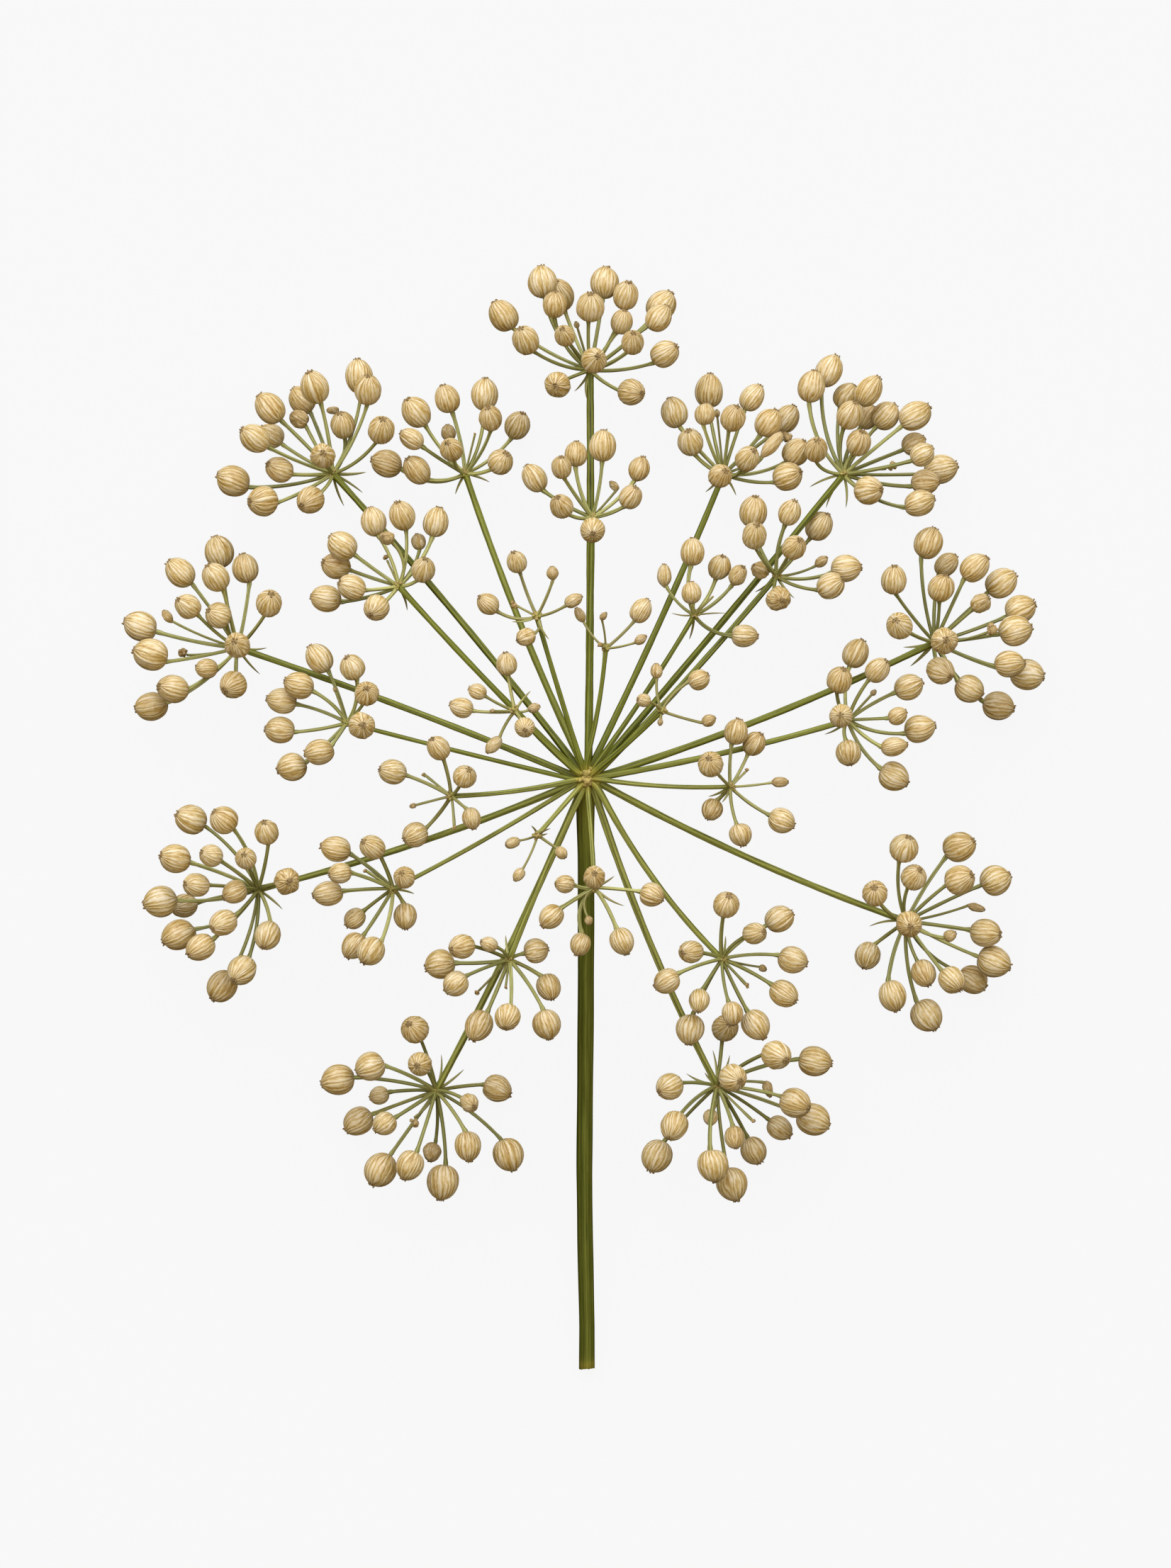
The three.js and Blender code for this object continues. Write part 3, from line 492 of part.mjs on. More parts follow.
    fruits: [
      [-10.03, 38.93, 26, -0.25, 0.788, 0.562, 1.5, 1.87, -8.55, 33.95, 24.36, -9.6, 37.57, 25],
      [-4.62, 37.08, 27.33, -0.102, 0.995, 0, 0.93, 1.15, -5.5, 33.22, 27, -4.49, 36, 27.33],
      [-14.34, 32.59, 26, -0.715, 0.536, 0.449, 1.55, 1.93, -10.19, 29.61, 24.78, -13.15, 31.52, 25.18],
      [-8.65, 27.51, 28.03, -0.784, -0.316, 0.535, 1.36, 1.63, -5.7, 29.11, 26.56, -7.42, 27.89, 27.2],
      [-1.44, 33.01, 28.75, 0.876, 0.482, 0, 1.02, 1.5, -4.58, 30.95, 28.06, -2.6, 32.22, 28.75],
      [-10.38, 32.48, 24.83, -0.844, 0.448, -0.296, 0.48, 0.63, -8.54, 31.49, 25.47, -9.88, 32.21, 25.01],
    ],
  },
];

const OLIVE = 0x6e7330;
const DARK_OLIVE = 0x5a5f24;
const TAN = 0xc3a36b;

const V = (a) => new THREE.Vector3(a[0], a[1], a[2]);

// closed solid of a geometry, with its faces pointing out
function solid(geometry) {
  const g = geometry.clone();
  g.deleteAttribute('normal');
  g.deleteAttribute('uv');
  const m = mergeVertices(g, 1e-4);
  const vertProperties = new Float32Array(m.attributes.position.array);
  const triVerts = new Uint32Array(m.index.array);
  let volume = 0;
  const p = vertProperties;
  for (let i = 0; i < triVerts.length; i += 3) {
    const a = 3 * triVerts[i], b = 3 * triVerts[i + 1], c = 3 * triVerts[i + 2];
    volume += p[a] * (p[b + 1] * p[c + 2] - p[b + 2] * p[c + 1])
      - p[a + 1] * (p[b] * p[c + 2] - p[b + 2] * p[c])
      + p[a + 2] * (p[b] * p[c + 1] - p[b + 1] * p[c]);
  }
  if (volume < 0) {
    for (let i = 0; i < triVerts.length; i += 3) {
      const t = triVerts[i + 1];
      triVerts[i + 1] = triVerts[i + 2];
      triVerts[i + 2] = t;
    }
  }
  return new wasm.Manifold(new wasm.Mesh({ numProp: 3, vertProperties, triVerts }));
}

function toGeometry(manifold) {
  const mesh = manifold.getMesh();
  const g = new THREE.BufferGeometry();
  g.setAttribute('position', new THREE.BufferAttribute(new Float32Array(mesh.vertProperties), 3));
  g.setIndex(new THREE.BufferAttribute(new Uint32Array(mesh.triVerts), 1));
  g.computeVertexNormals();
  return g;
}

function polygon(radius, sides) {
  const shape = new THREE.Shape();
  for (let i = 0; i < sides; i++) {
    const a = (2 * Math.PI * i) / sides;
    if (i === 0) shape.moveTo(radius * Math.cos(a), radius * Math.sin(a));
    else shape.lineTo(radius * Math.cos(a), radius * Math.sin(a));
  }
  shape.closePath();
  return shape;
}

function rod(a, bend, b, radius, sides, steps) {
  const path = new THREE.QuadraticBezierCurve3(a, bend, b);
  return new THREE.ExtrudeGeometry(polygon(radius, sides), { steps, bevelEnabled: false, extrudePath: path });
}

// turns a body of revolution (about Y) to a direction and puts it in its place
function aim(geometry, centre, axis) {
  const q = new THREE.Quaternion().setFromUnitVectors(new THREE.Vector3(0, 1, 0), axis);
  geometry.applyQuaternion(q);
  geometry.translate(centre.x, centre.y, centre.z);
  return geometry;
}

// a fruit is a stretched icosahedron that turns one face to its pedicel; an unripe bud
// is a slim eight-faced one
const FACE_DOWN = (() => {
  const p = new THREE.IcosahedronGeometry(1).attributes.position;
  const n = V([0, 0, 0]);
  for (let i = 0; i < 3; i++) n.add(new THREE.Vector3().fromBufferAttribute(p, i));
  return new THREE.Quaternion().setFromUnitVectors(n.normalize(), new THREE.Vector3(0, -1, 0));
})();

function fruit(centre, axis, radius, half) {
  let g;
  if (radius < BUD_RADIUS) {
    const profile = [[0, -half], [radius, 0.15 * half], [0, half]];
    g = new THREE.LatheGeometry(profile.map((q) => new THREE.Vector2(q[0], q[1])), BUD_SIDES);
  } else {
    g = new THREE.IcosahedronGeometry(1);
    g.applyQuaternion(FACE_DOWN);
    g.scale(FRUIT_SWELL * radius, FRUIT_SWELL * half, FRUIT_SWELL * radius);
  }
  return aim(g, centre, axis);
}

const object = new THREE.Group();

function put(name, geometry, color, roughness) {
  const mesh = new THREE.Mesh(geometry, new THREE.MeshStandardMaterial({ color, roughness, metalness: 0 }));
  mesh.name = name;
  object.add(mesh);
}

const two = (n) => String(n).padStart(2, '0');

// ---- stalk and hub ----
{
  const stem = solid(rod(V(STALK[0]), V(STALK[1]), V(STALK[2]), STALK_RADIUS, STALK_SIDES, STALK_STEPS));
  const hubProfile = [[0, -HUB_HALF], [0.62 * HUB_RADIUS, -0.92 * HUB_HALF], [HUB_RADIUS, -0.2 * HUB_HALF],
    [HUB_RADIUS, 0.45 * HUB_HALF], [0.6 * HUB_RADIUS, 0.92 * HUB_HALF], [0, HUB_HALF]];
  const knob = new THREE.LatheGeometry(hubProfile.map((q) => new THREE.Vector2(q[0], q[1])), 10);
  aim(knob, V(HUB), new THREE.Vector3(0, 0, 1));
  put('stalk', toGeometry(stem.add(solid(knob))), DARK_OLIVE, 0.62);
}

// ---- rays ----
for (const u of UMBELLETS) {
  const foot = V(u.foot);
  const centre = V(u.centre);
  const bow = V(u.bow);
  const back = bow.clone().sub(centre).normalize();
  const end = centre.clone().addScaledVector(back, KNOB_RADIUS + RAY_GAP);
  const radius = foot.distanceTo(centre) < THIN_RAY_LENGTH ? THIN_RAY_RADIUS : RAY_RADIUS;
  put('ray_' + two(u.id), rod(foot, bow, end, radius, RAY_SIDES, RAY_STEPS), OLIVE, 0.6);
}

// ---- umbellets ----
for (const u of UMBELLETS) {
  const centre = V(u.centre);
  const knob = new THREE.OctahedronGeometry(KNOB_RADIUS * 1.15);
  let body = solid(knob.translate(centre.x, centre.y, centre.z));
  for (const f of u.fruits) {
    const c = V(f);
    const axis = V(f.slice(3)).normalize();
    const radius = f[6];
    const half = f[7];
    const bend = V(f.slice(8));
    const tip = V(f.slice(11)).sub(c).multiplyScalar(radius < BUD_RADIUS ? BUD_REACH : FRUIT_REACH).add(c);
    const middle = centre.clone().add(tip).multiplyScalar(0.5);
    const steps = middle.distanceTo(bend) < 2 * PEDICEL_STRAIGHT ? 1 : 2;
    const pedicel = solid(rod(centre, bend, tip, PEDICEL_RADIUS, PEDICEL_SIDES, steps));
    body = body.add(pedicel.add(solid(fruit(c, axis, radius, half))));
  }
  put('umbellet_' + two(u.id), toGeometry(body), TAN, 0.68);
}

export default object;
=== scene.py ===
import math

import bpy
import numpy as np
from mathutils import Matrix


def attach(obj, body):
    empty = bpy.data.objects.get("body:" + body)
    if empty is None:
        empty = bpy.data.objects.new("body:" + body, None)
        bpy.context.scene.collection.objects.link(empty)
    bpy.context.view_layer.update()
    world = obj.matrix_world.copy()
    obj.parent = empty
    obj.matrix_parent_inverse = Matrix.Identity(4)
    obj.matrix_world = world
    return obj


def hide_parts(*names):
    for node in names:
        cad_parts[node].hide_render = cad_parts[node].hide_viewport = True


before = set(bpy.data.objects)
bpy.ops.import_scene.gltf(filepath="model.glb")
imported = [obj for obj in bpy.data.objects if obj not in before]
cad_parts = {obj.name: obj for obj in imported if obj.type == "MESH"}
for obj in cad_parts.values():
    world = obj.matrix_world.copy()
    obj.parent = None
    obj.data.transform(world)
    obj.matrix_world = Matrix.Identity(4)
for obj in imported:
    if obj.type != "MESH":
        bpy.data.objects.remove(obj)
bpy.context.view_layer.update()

# Everything below is in millimetres and is turned into metres when a mesh is made.
MM = 0.001

PEDICEL_RADIUS = 0.297     # the stems of the small umbels
STALK_RADIUS = 1.27
STALK_END_RADIUS = 1.21
KNOB_RADIUS = 0.56         # where the pedicels of an umbellet meet
RIBS = 20                  # round one fruit
RIB_DEPTH = 0.015          # of a fruit's radius, at its middle
RIB_DEPTH_END = 0.042      # and towards its ends
CROWN_RING = 0.205         # of a fruit's radius

HUB = (0.58, 6.40, 25.00)
STALK_BOW = ((-83.0, -77.6, -64.0, -53.5, -37.0, -29.0, -16.0, -5.0, -0.5, 6.0), (-0.12, -0.10, -0.38, -0.49, -0.33, -0.25, -0.20, -0.21, -0.29, -0.30))
STALK = ((0.59, 6.41, 23.00), (0.59, -15.63, 13.00), (0.64, -84.35, 1.24))
SCARS = ((-0.06, -0.36, -0.08, 0.56, 0.98), (0.45, 1.42, -0.60, 0.38, 0.60), (-0.25, 0.91, 0.10, 0.46, 0.74), (0.16, 0.93, 0.02, 0.42, 0.80),
         (-0.83, 0.72, -0.45, 0.36, 0.50), (-0.19, 0.27, -0.10, 0.46, 0.72), (-0.57, -0.11, -0.15, 0.38, 0.82), (-1.53, -0.24, -0.05, 0.32, 0.50),
         (-1.08, -0.30, -0.10, 0.33, 0.80), (-1.30, -0.89, -0.95, 0.36, 0.50), (-0.32, -0.89, -0.55, 0.42, 0.85), (0.32, -0.76, -0.55, 0.38, 0.88),
         (1.55, -0.63, -1.02, 0.52, 0.42), (-0.20, 0.60, 0.10, 0.40, 0.62))

# Thickness of each ray, in mm, clockwise from the one that points away from the stalk.
RAY_RADIUS = {
    1: 0.62, 2: 0.49, 3: 0.37, 4: 0.51, 5: 0.41, 6: 0.54, 7: 0.48,
    8: 0.43, 9: 0.55, 10: 0.48, 11: 0.37, 12: 0.55, 13: 0.48, 14: 0.56,
    15: 0.39, 16: 0.49, 17: 0.57, 18: 0.39, 19: 0.37, 20: 0.54, 21: 0.40,
    22: 0.37, 23: 0.52, 24: 0.45, 25: 0.48, 26: 0.54, 27: 0.54, 28: 0.40,
}

# The umbellets, clockwise. Each fruit: its centre, the way its crown points, its radius, its half length,
# the point that its pedicel bends towards, and the point where the pedicel enters it.
UMBELLETS = {
    1: {
        "centre": (1.02, 68.7, 9.18), "foot": (0.76, 9.38, 22.82), "bow": (1.21, 38.84, 16),
        "fruits": [
            (-6.26, 82.21, 9.18, -0.111, 0.994, 0, 2.24, 2.55, -4.64, 72.91, 9.18, -5.99, 79.79, 9.18),
            (-3.76, 80.65, 2.62, -0.217, 0.698, 0.682, 2.28, 2.85, -1.3, 73.69, 0.95, -3.04, 78.92, 0.77),
            (-4.36, 78.38, 14.29, 0.028, 0.935, 0.353, 1.85, 2.15, -3.46, 71.41, 11.68, -4.55, 76.53, 13.57),
            (3.27, 82.2, 7.81, 0.131, 0.991, 0, 2.15, 2.53, 2.15, 74.26, 8.15, 2.96, 79.79, 7.81),
            (1.06, 77.95, 14.98, 0.027, 0.829, 0.558, 2.16, 2.37, 0.61, 72.3, 11.54, 0.76, 76.2, 13.72),
            (6.48, 80.08, 10.36, 0.156, 0.821, 0.549, 1.95, 2.44, 4.59, 72.86, 7.76, 6.13, 78.26, 9.09),
            (5.86, 75.95, 11.37, 0.218, 0.862, 0.457, 1.69, 2, 3.03, 71.62, 9.34, 5.27, 74.43, 10.51),
            (7.44, 72.37, 18.94, 0.053, 0.579, 0.814, 1.74, 2.17, 4.4, 69.07, 13.42, 7.34, 71.29, 17.27),
            (11.95, 78.62, 8.03, 0.583, 0.812, 0, 2.21, 2.63, 6.07, 72.07, 8.32, 10.48, 76.58, 8.03),
            (11.48, 76.49, 12.17, 0.58, 0.815, 0, 1.91, 2.31, 5.52, 71.75, 11.42, 9.7, 75.3, 12.17),
            (12.42, 70.88, 14.43, 0.763, 0.5, 0.409, 2.03, 2.32, 6.13, 68.12, 11.5, 11.1, 69.46, 13.53),
            (-12.24, 77.07, 9.18, -0.535, 0.845, 0, 2.13, 2.61, -5.5, 70.83, 9.18, -10.91, 74.96, 9.18),
            (-8.8, 72.77, 17.59, -0.324, 0.674, 0.664, 2.02, 2.52, -3.78, 68.6, 12.66, -8.08, 71.25, 16),
            (-2.84, 73.31, 19.24, -0.195, 0.466, 0.863, 1.57, 1.97, -0.53, 70.31, 13.69, -2.41, 72.59, 17.62),
            (-3.91, 65.82, 19.68, -0.139, -0.152, 0.978, 1.98, 2.27, -2.19, 67.31, 13.48, -3.62, 66.27, 17.57),
            (7.33, 64.95, 15.27, 0.723, -0.126, 0.679, 2.02, 2.26, 2.93, 66.52, 11.6, 5.77, 65.02, 13.81),
            (1.66, 69.54, 19.68, 0.239, 0.239, 0.941, 1.95, 2.25, 0.69, 68.72, 13.88, 1.15, 69.16, 17.67),
            (-1.03, 75.47, 11.34, -0.272, 0.916, 0.296, 0.43, 0.56, -0.01, 72.1, 10.25, -0.89, 74.99, 11.18),
        ],
        "bractlets": [(-1.36, 65.6, 6.78), (0.48, 64.33, 10.96)],
    },
    2: {
        "centre": (1.34, 45.81, 19), "foot": (0.64, 9.37, 25.18), "bow": (1.09, 27.53, 22.09),
        "fruits": [
            (2.92, 56.68, 19, 0.046, 0.999, 0, 2.04, 2.48, 2.62, 50, 19, 2.87, 54.33, 19),
            (-1.13, 55.45, 19, 0.054, 0.999, 0, 1.74, 1.99, -0.8, 49.43, 19, -1.26, 53.57, 19),
            (-3.29, 53.24, 23.93, -0.038, 0.777, 0.629, 1.56, 1.95, -1.01, 48.62, 20.68, -3.22, 51.87, 22.76),
            (-7.42, 51.8, 19, -0.556, 0.831, 0, 1.8, 2.34, -2.79, 47.33, 19, -6.33, 49.87, 19),
            (-3.33, 47.36, 24.45, -0.31, 0.557, 0.771, 1.74, 2.16, -0.66, 45.2, 20.99, -2.8, 46.25, 22.88),
            (8.44, 53.17, 19, 0.297, 0.904, 0.306, 1.62, 2.13, 5.11, 47.98, 17.98, 7.85, 51.38, 18.38),
            (7.12, 48.78, 22.93, 0.401, 0.737, 0.544, 1.73, 1.99, 4.02, 46.11, 20.47, 6.54, 47.36, 21.9),
            (4.63, 50.72, 16.4, -0.67, 0.743, 0, 0.62, 0.94, 3.31, 47.93, 17.05, 5.23, 50.05, 16.4),
            (1.39, 43.5, 28.05, 0.019, -0.277, 0.961, 1.9, 2.19, 1.32, 45.02, 22.86, 1.36, 44.14, 26.05),
        ],
        "bractlets": [],
    },
    3: {
        "centre": (3.34, 25.83, 27.4), "foot": (0.55, 9.4, 26.86), "bow": (2.68, 17.51, 27.13),
        "fruits": [
            (-0.48, 30.85, 26.27, -0.481, 0.876, 0, 0.76, 1.35, 1.24, 27.4, 26.55, 0.14, 29.74, 26.27),
            (3.03, 30.64, 29.99, 0.595, 0.676, 0.435, 0.5, 0.76, 3.32, 28.02, 28.54, 2.65, 30.13, 29.68),
            (8.67, 31.59, 28, 0.536, 0.844, 0, 1.54, 2.03, 5.75, 27.69, 27.85, 7.74, 29.94, 28),
            (8.56, 27.13, 30.45, 0.796, 0.527, 0.298, 0.77, 1.11, 5.58, 25.95, 29.14, 7.73, 26.6, 30.14),
            (2.6, 26.33, 28.64, -0.777, 0.555, 0.296, 0.43, 0.56, 3.16, 25.94, 28.18, 3.01, 26.05, 28.48),
        ],
        "bractlets": [],
    },
    4: {
        "centre": (21.35, 52.82, 8.92), "foot": (1.66, 9.18, 24.05), "bow": (12.22, 30.48, 16.48),
        "fruits": [
            (13.85, 62.3, 8.51, -0.289, 0.957, 0, 2.05, 2.42, 17.62, 56.19, 8.61, 14.51, 60.08, 8.51),
            (19.29, 66.04, 2.15, 0.052, 0.999, 0, 2.19, 2.69, 19.97, 58.16, 3.84, 19.15, 63.45, 2.15),
            (18.45, 61.74, 13.77, 0.078, 0.997, 0, 1.52, 1.74, 19.33, 56.28, 13.03, 18.03, 60.14, 13.77),
            (22.74, 61.18, 13.95, 0.24, 0.787, 0.569, 1.9, 2.27, 21.7, 56.11, 10.8, 22.07, 59.61, 12.72),
            (25.81, 64.63, 8.51, 0.574, 0.819, 0, 1.77, 2.33, 22.94, 57.84, 8.61, 24.53, 62.81, 8.51),
            (28.22, 60.6, 10.89, 0.534, 0.845, 0, 2.06, 2.36, 24.45, 55.51, 10.39, 27.02, 58.7, 10.89),
            (31.24, 61.7, 1.85, 0.532, 0.847, 0, 1.89, 2.43, 25.44, 56.72, 3.62, 29.99, 59.72, 1.85),
            (28.59, 57.04, 12.95, 0.644, 0.765, 0, 1.03, 2.67, 24.99, 52.04, 11.77, 26.96, 55.1, 12.95),
            (31.1, 58.47, 8.4, 0.919, 0.394, 0, 0.71, 0.82, 26.5, 54.45, 8.53, 30.38, 58.16, 8.4),
            (32.45, 56.21, 10.2, 0.594, 0.678, 0.433, 2.01, 2.36, 26.55, 52.25, 8.24, 31.25, 54.65, 9.23),
            (31.08, 52.33, 12.97, 0.877, 0.345, 0.334, 2.17, 2.34, 25.42, 51.11, 10.77, 29.32, 51.26, 12.23),
            (24.93, 54.95, 14.58, 0.43, 0.529, 0.732, 1.82, 2.27, 23.07, 51.46, 11.35, 24.33, 53.7, 13.01),
            (16.27, 57.56, 12.53, -0.16, 0.755, 0.636, 1.96, 2.29, 18.64, 53.68, 9.68, 16.57, 55.97, 11.15),
            (20.72, 52.13, 19.01, 0.365, 0.365, 0.856, 1.79, 2.06, 19.72, 51.21, 13.64, 20.04, 51.49, 17.34),
            (20.33, 61.98, 11.3, -0.099, 0.95, 0.296, 0.48, 0.63, 20.84, 57.48, 10.01, 20.4, 61.42, 11.13),
        ],
        "bractlets": [(18.69, 50.22, 6.52), (23.31, 49.6, 8.32)],
    },
    5: {
        "centre": (16.7, 30.95, 22.21), "foot": (2.21, 8.88, 25.49), "bow": (9.98, 19.55, 23.85),
        "fruits": [
            (16.42, 40.54, 22.32, 0.038, 0.999, 0, 1.81, 2.17, 15.02, 34.67, 22.15, 16.31, 38.49, 22.32),
            (12.21, 36.92, 20.88, -0.031, 1, 0, 1.12, 1.87, 13.95, 32.46, 21.22, 12.45, 35.18, 20.88),
            (16.24, 34.31, 24.35, -0.062, 0.998, 0, 1.52, 1.74, 16.49, 31.81, 23.82, 16.34, 32.67, 24.35),
            (20.59, 38.36, 18.33, 0.274, 0.794, 0.543, 1.68, 2.1, 19.04, 33.43, 17.53, 20.11, 36.81, 17.25),
            (23.26, 36.97, 19.99, 0.436, 0.72, 0.54, 1.35, 1.96, 20.17, 32.49, 18.85, 22.59, 35.61, 18.99),
            (24.35, 27.88, 20.73, 1, 0.004, 0, 1.75, 2.06, 18.82, 28.04, 21.1, 22.4, 27.88, 20.73),
            (19.13, 33.37, 23.55, 0.676, 0.676, 0.296, 0.43, 0.56, 17.82, 32.07, 22.9, 18.78, 33.02, 23.39),
        ],
        "bractlets": [(13.28, 31.26, 22.81), (21.38, 31.26, 22.81), (16, 27.39, 19.21)],
    },
    6: {
        "centre": (39.64, 52.7, 11.35), "foot": (2.74, 8.48, 22.98), "bow": (21.42, 30.2, 16.7),
        "fruits": [
            (37.59, 68.81, 6.38, 0.44, 0.898, 0, 2.03, 2.7, 35.92, 59.21, 7.62, 36.21, 66.64, 6.38),
            (34.8, 66.22, 9.58, 0.229, 0.974, 0, 2.12, 2.56, 34.76, 57.23, 10.02, 34.22, 63.84, 9.58),
            (40.37, 65.01, 3.82, 0.577, 0.817, 0, 1.95, 2.24, 38.3, 57.99, 5.7, 39.13, 63.26, 3.82),
            (43.66, 65.67, 7.98, 0.584, 0.812, 0, 1.95, 2.68, 37.47, 58.98, 8.82, 42.16, 63.59, 7.98),
            (40.56, 61.68, 12.83, 0.327, 0.766, 0.554, 2.01, 2.42, 38.37, 56.34, 10.53, 39.6, 60.13, 11.56),
            (43.62, 61.98, 1.7, 0.49, 0.872, 0, 1.74, 1.99, 39.91, 57.13, 4.12, 42.68, 60.31, 1.7),
            (46.31, 62.02, 4.86, 0.67, 0.743, 0, 2.06, 2.36, 41.86, 56.9, 6.48, 44.87, 60.27, 4.86),
            (50.76, 61.93, 6.66, 0.838, 0.546, 0, 2.16, 2.69, 44.22, 56.63, 7.83, 48.76, 60.31, 6.66),
            (41.87, 57.5, 12.37, 0.248, 0.743, 0.622, 1.85, 2.27, 39.74, 54.65, 10.54, 41.39, 55.97, 11.03),
            (50.75, 57.78, 2.76, 0.857, 0.514, 0, 1.74, 1.99, 44.43, 54.96, 4.91, 49.11, 56.8, 2.76),
            (51.54, 55.64, 12.99, 0.824, 0.567, 0, 1.74, 1.99, 44.87, 53.28, 12.71, 49.98, 54.57, 12.99),
            (46.79, 53.69, 10.92, 0.853, 0.522, 0, 0.65, 0.99, 42.8, 53.31, 11.03, 45.93, 53.54, 10.92),
            (54.79, 53.8, 5.61, 0.964, 0.266, 0, 2.27, 2.63, 46.12, 52.69, 7.04, 52.44, 52.89, 5.61),
            (52.17, 51.62, 9.03, 1, 0.006, 0, 1.95, 2.24, 44.9, 50.95, 9.61, 50.25, 50.8, 9.03),
            (51.21, 48.3, 11.96, 0.954, 0.301, 0, 2.02, 2.46, 43.45, 48.29, 10.25, 49.08, 47.33, 11.96),
            (43.39, 50.14, 13.67, 0.859, 0.073, 0.506, 2.21, 2.3, 40.27, 51.44, 11.93, 41.59, 50.59, 12.57),
            (35.29, 56.37, 15.54, 0.07, 0.557, 0.827, 1.79, 2.24, 35.53, 52.79, 11.81, 34.87, 55.38, 13.79),
        ],
        "bractlets": [(34.53, 50.84, 9.55), (37.03, 47.73, 8.95), (39.99, 47.66, 10.75)],
    },
    7: {
        "centre": (29.21, 36.97, 17.65), "foot": (3.06, 8.15, 24.45), "bow": (16.73, 21.94, 20.26),
        "fruits": [
            (25.74, 46.82, 17.19, 0.112, 0.937, 0.332, 2.1, 2.52, 26.65, 40.44, 15.78, 25.49, 44.61, 16.4),
            (25.7, 42.9, 24.98, 0.144, 0.682, 0.717, 1.86, 2.33, 27.09, 38.83, 22, 25.43, 41.46, 23.39),
            (31.2, 46.59, 19.68, 0.349, 0.87, 0.349, 1.69, 2.13, 28.91, 41.05, 18.04, 30.57, 44.84, 18.97),
            (35.93, 44.88, 10.86, 0.513, 0.736, 0.441, 2.01, 2.51, 32.07, 40.02, 11.03, 34.73, 43.16, 9.81),
            (31.71, 41.15, 23.51, 0.385, 0.476, 0.791, 1.79, 2.24, 30.01, 38.4, 19.83, 31.06, 40.13, 21.83),
            (36.08, 39.28, 14.26, 0.749, 0.599, 0.284, 0.78, 1.24, 32.4, 37.17, 14.43, 35.21, 38.58, 13.92),
            (39.79, 38.17, 17.5, 0.997, 0.073, 0, 2.08, 2.4, 33.55, 35.84, 17.54, 37.61, 37.58, 17.5),
            (37.28, 35.45, 21.32, 0.83, 0.442, 0.339, 2.02, 2.23, 32.07, 35.02, 19.33, 35.52, 34.6, 20.6),
            (26.73, 37.91, 18.29, -0.707, 0.431, 0.56, 1.3, 1.57, 29.21, 38.4, 17.17, 27.92, 37.6, 17.46),
            (29.24, 33.32, 26.28, 0.277, -0.168, 0.946, 1.82, 2.09, 28.48, 34.82, 21.23, 28.75, 33.71, 24.4),
        ],
        "bractlets": [(26.07, 34.69, 14.65), (31.87, 33.63, 18.25)],
    },
    8: {
        "centre": (11.71, 16.47, 28.98), "foot": (2.78, 8.39, 26.69), "bow": (7.47, 12.2, 27.83),
        "fruits": [
            (10.94, 22.46, 29, -0.059, 0.998, 0, 0.92, 1.18, 10.72, 18.83, 29, 11, 21.36, 29),
            (8.92, 18, 33.49, -0.725, 0.091, 0.683, 1.03, 1.19, 10.89, 17.48, 31.15, 9.73, 17.91, 32.72),
            (17.31, 21.13, 29, 0.86, 0.511, 0, 1.52, 1.68, 13.21, 19.26, 29, 15.78, 21.02, 29),
            (18.78, 15.04, 29, 0.881, 0.472, 0, 0.92, 1.13, 14.74, 15.35, 29, 17.85, 14.54, 29),
            (11.5, 14.77, 29.53, -0.118, -0.948, 0.296, 0.43, 0.56, 11.63, 15.82, 29.19, 11.56, 15.27, 29.37),
        ],
        "bractlets": [],
    },
    9: {
        "centre": (53.58, 27.18, 8.91), "foot": (3.52, 7.06, 23.25), "bow": (29.13, 15.15, 15.86),
        "fruits": [
            (52.63, 42.33, 10.13, 0.432, 0.902, 0, 2.16, 2.56, 51.45, 33.64, 9.83, 51.19, 40.38, 10.13),
            (55.83, 39.28, 1.59, 0.722, 0.692, 0, 1.63, 2.12, 53.46, 32.6, 3.42, 54.35, 37.87, 1.59),
            (54.34, 35.31, 13.89, 0.35, 0.856, 0.379, 1.99, 2.24, 54.15, 30.18, 11.49, 54.03, 33.4, 13.08),
            (59.66, 38.55, 11.43, 0.772, 0.635, 0, 2.04, 2.5, 55.83, 32.05, 10.8, 57.82, 37.03, 11.43),
            (63.93, 36.32, 7.26, 0.843, 0.539, 0, 2.2, 2.63, 57.71, 31.13, 7.68, 61.81, 34.97, 7.26),
            (60.31, 33, 14.82, 0.703, 0.514, 0.491, 1.42, 1.7, 56.37, 29.61, 11.85, 59.22, 32.19, 14.02),
            (66.72, 32.24, 9.09, 0.923, 0.385, 0, 2.18, 2.49, 59.27, 28.77, 9.04, 64.63, 31.1, 9.09),
            (65.71, 28.88, 12.73, 0.974, 0.227, 0, 2.34, 2.64, 58.44, 27.39, 11.78, 63.26, 28.31, 12.73),
            (47.07, 36.58, 15.24, 0.038, 0.938, 0.346, 1.97, 2.29, 50, 30.66, 12.32, 46.94, 34.57, 14.49),
            (47.62, 29.44, 20.63, -0.265, 0.335, 0.904, 2.01, 2.44, 51.26, 27.34, 14.29, 48.46, 28.85, 18.53),
            (61.91, 28.97, 15.94, 0.549, 0.439, 0.711, 0.87, 1.09, 57.55, 26.99, 12.19, 61.39, 28.53, 15.21),
            (54.46, 27.14, 20.63, 0.045, 0.045, 0.998, 2.06, 2.37, 54.27, 27.07, 14.28, 54.48, 27.09, 18.38),
            (64.65, 23.73, 15.52, 0.998, 0.062, 0, 2.06, 2.4, 57.85, 24.71, 13.87, 62.51, 23.01, 15.52),
            (67.65, 22.2, 10.13, 0.994, -0.112, 0, 2.4, 2.67, 59.1, 24.18, 9.83, 65.11, 22.48, 10.13),
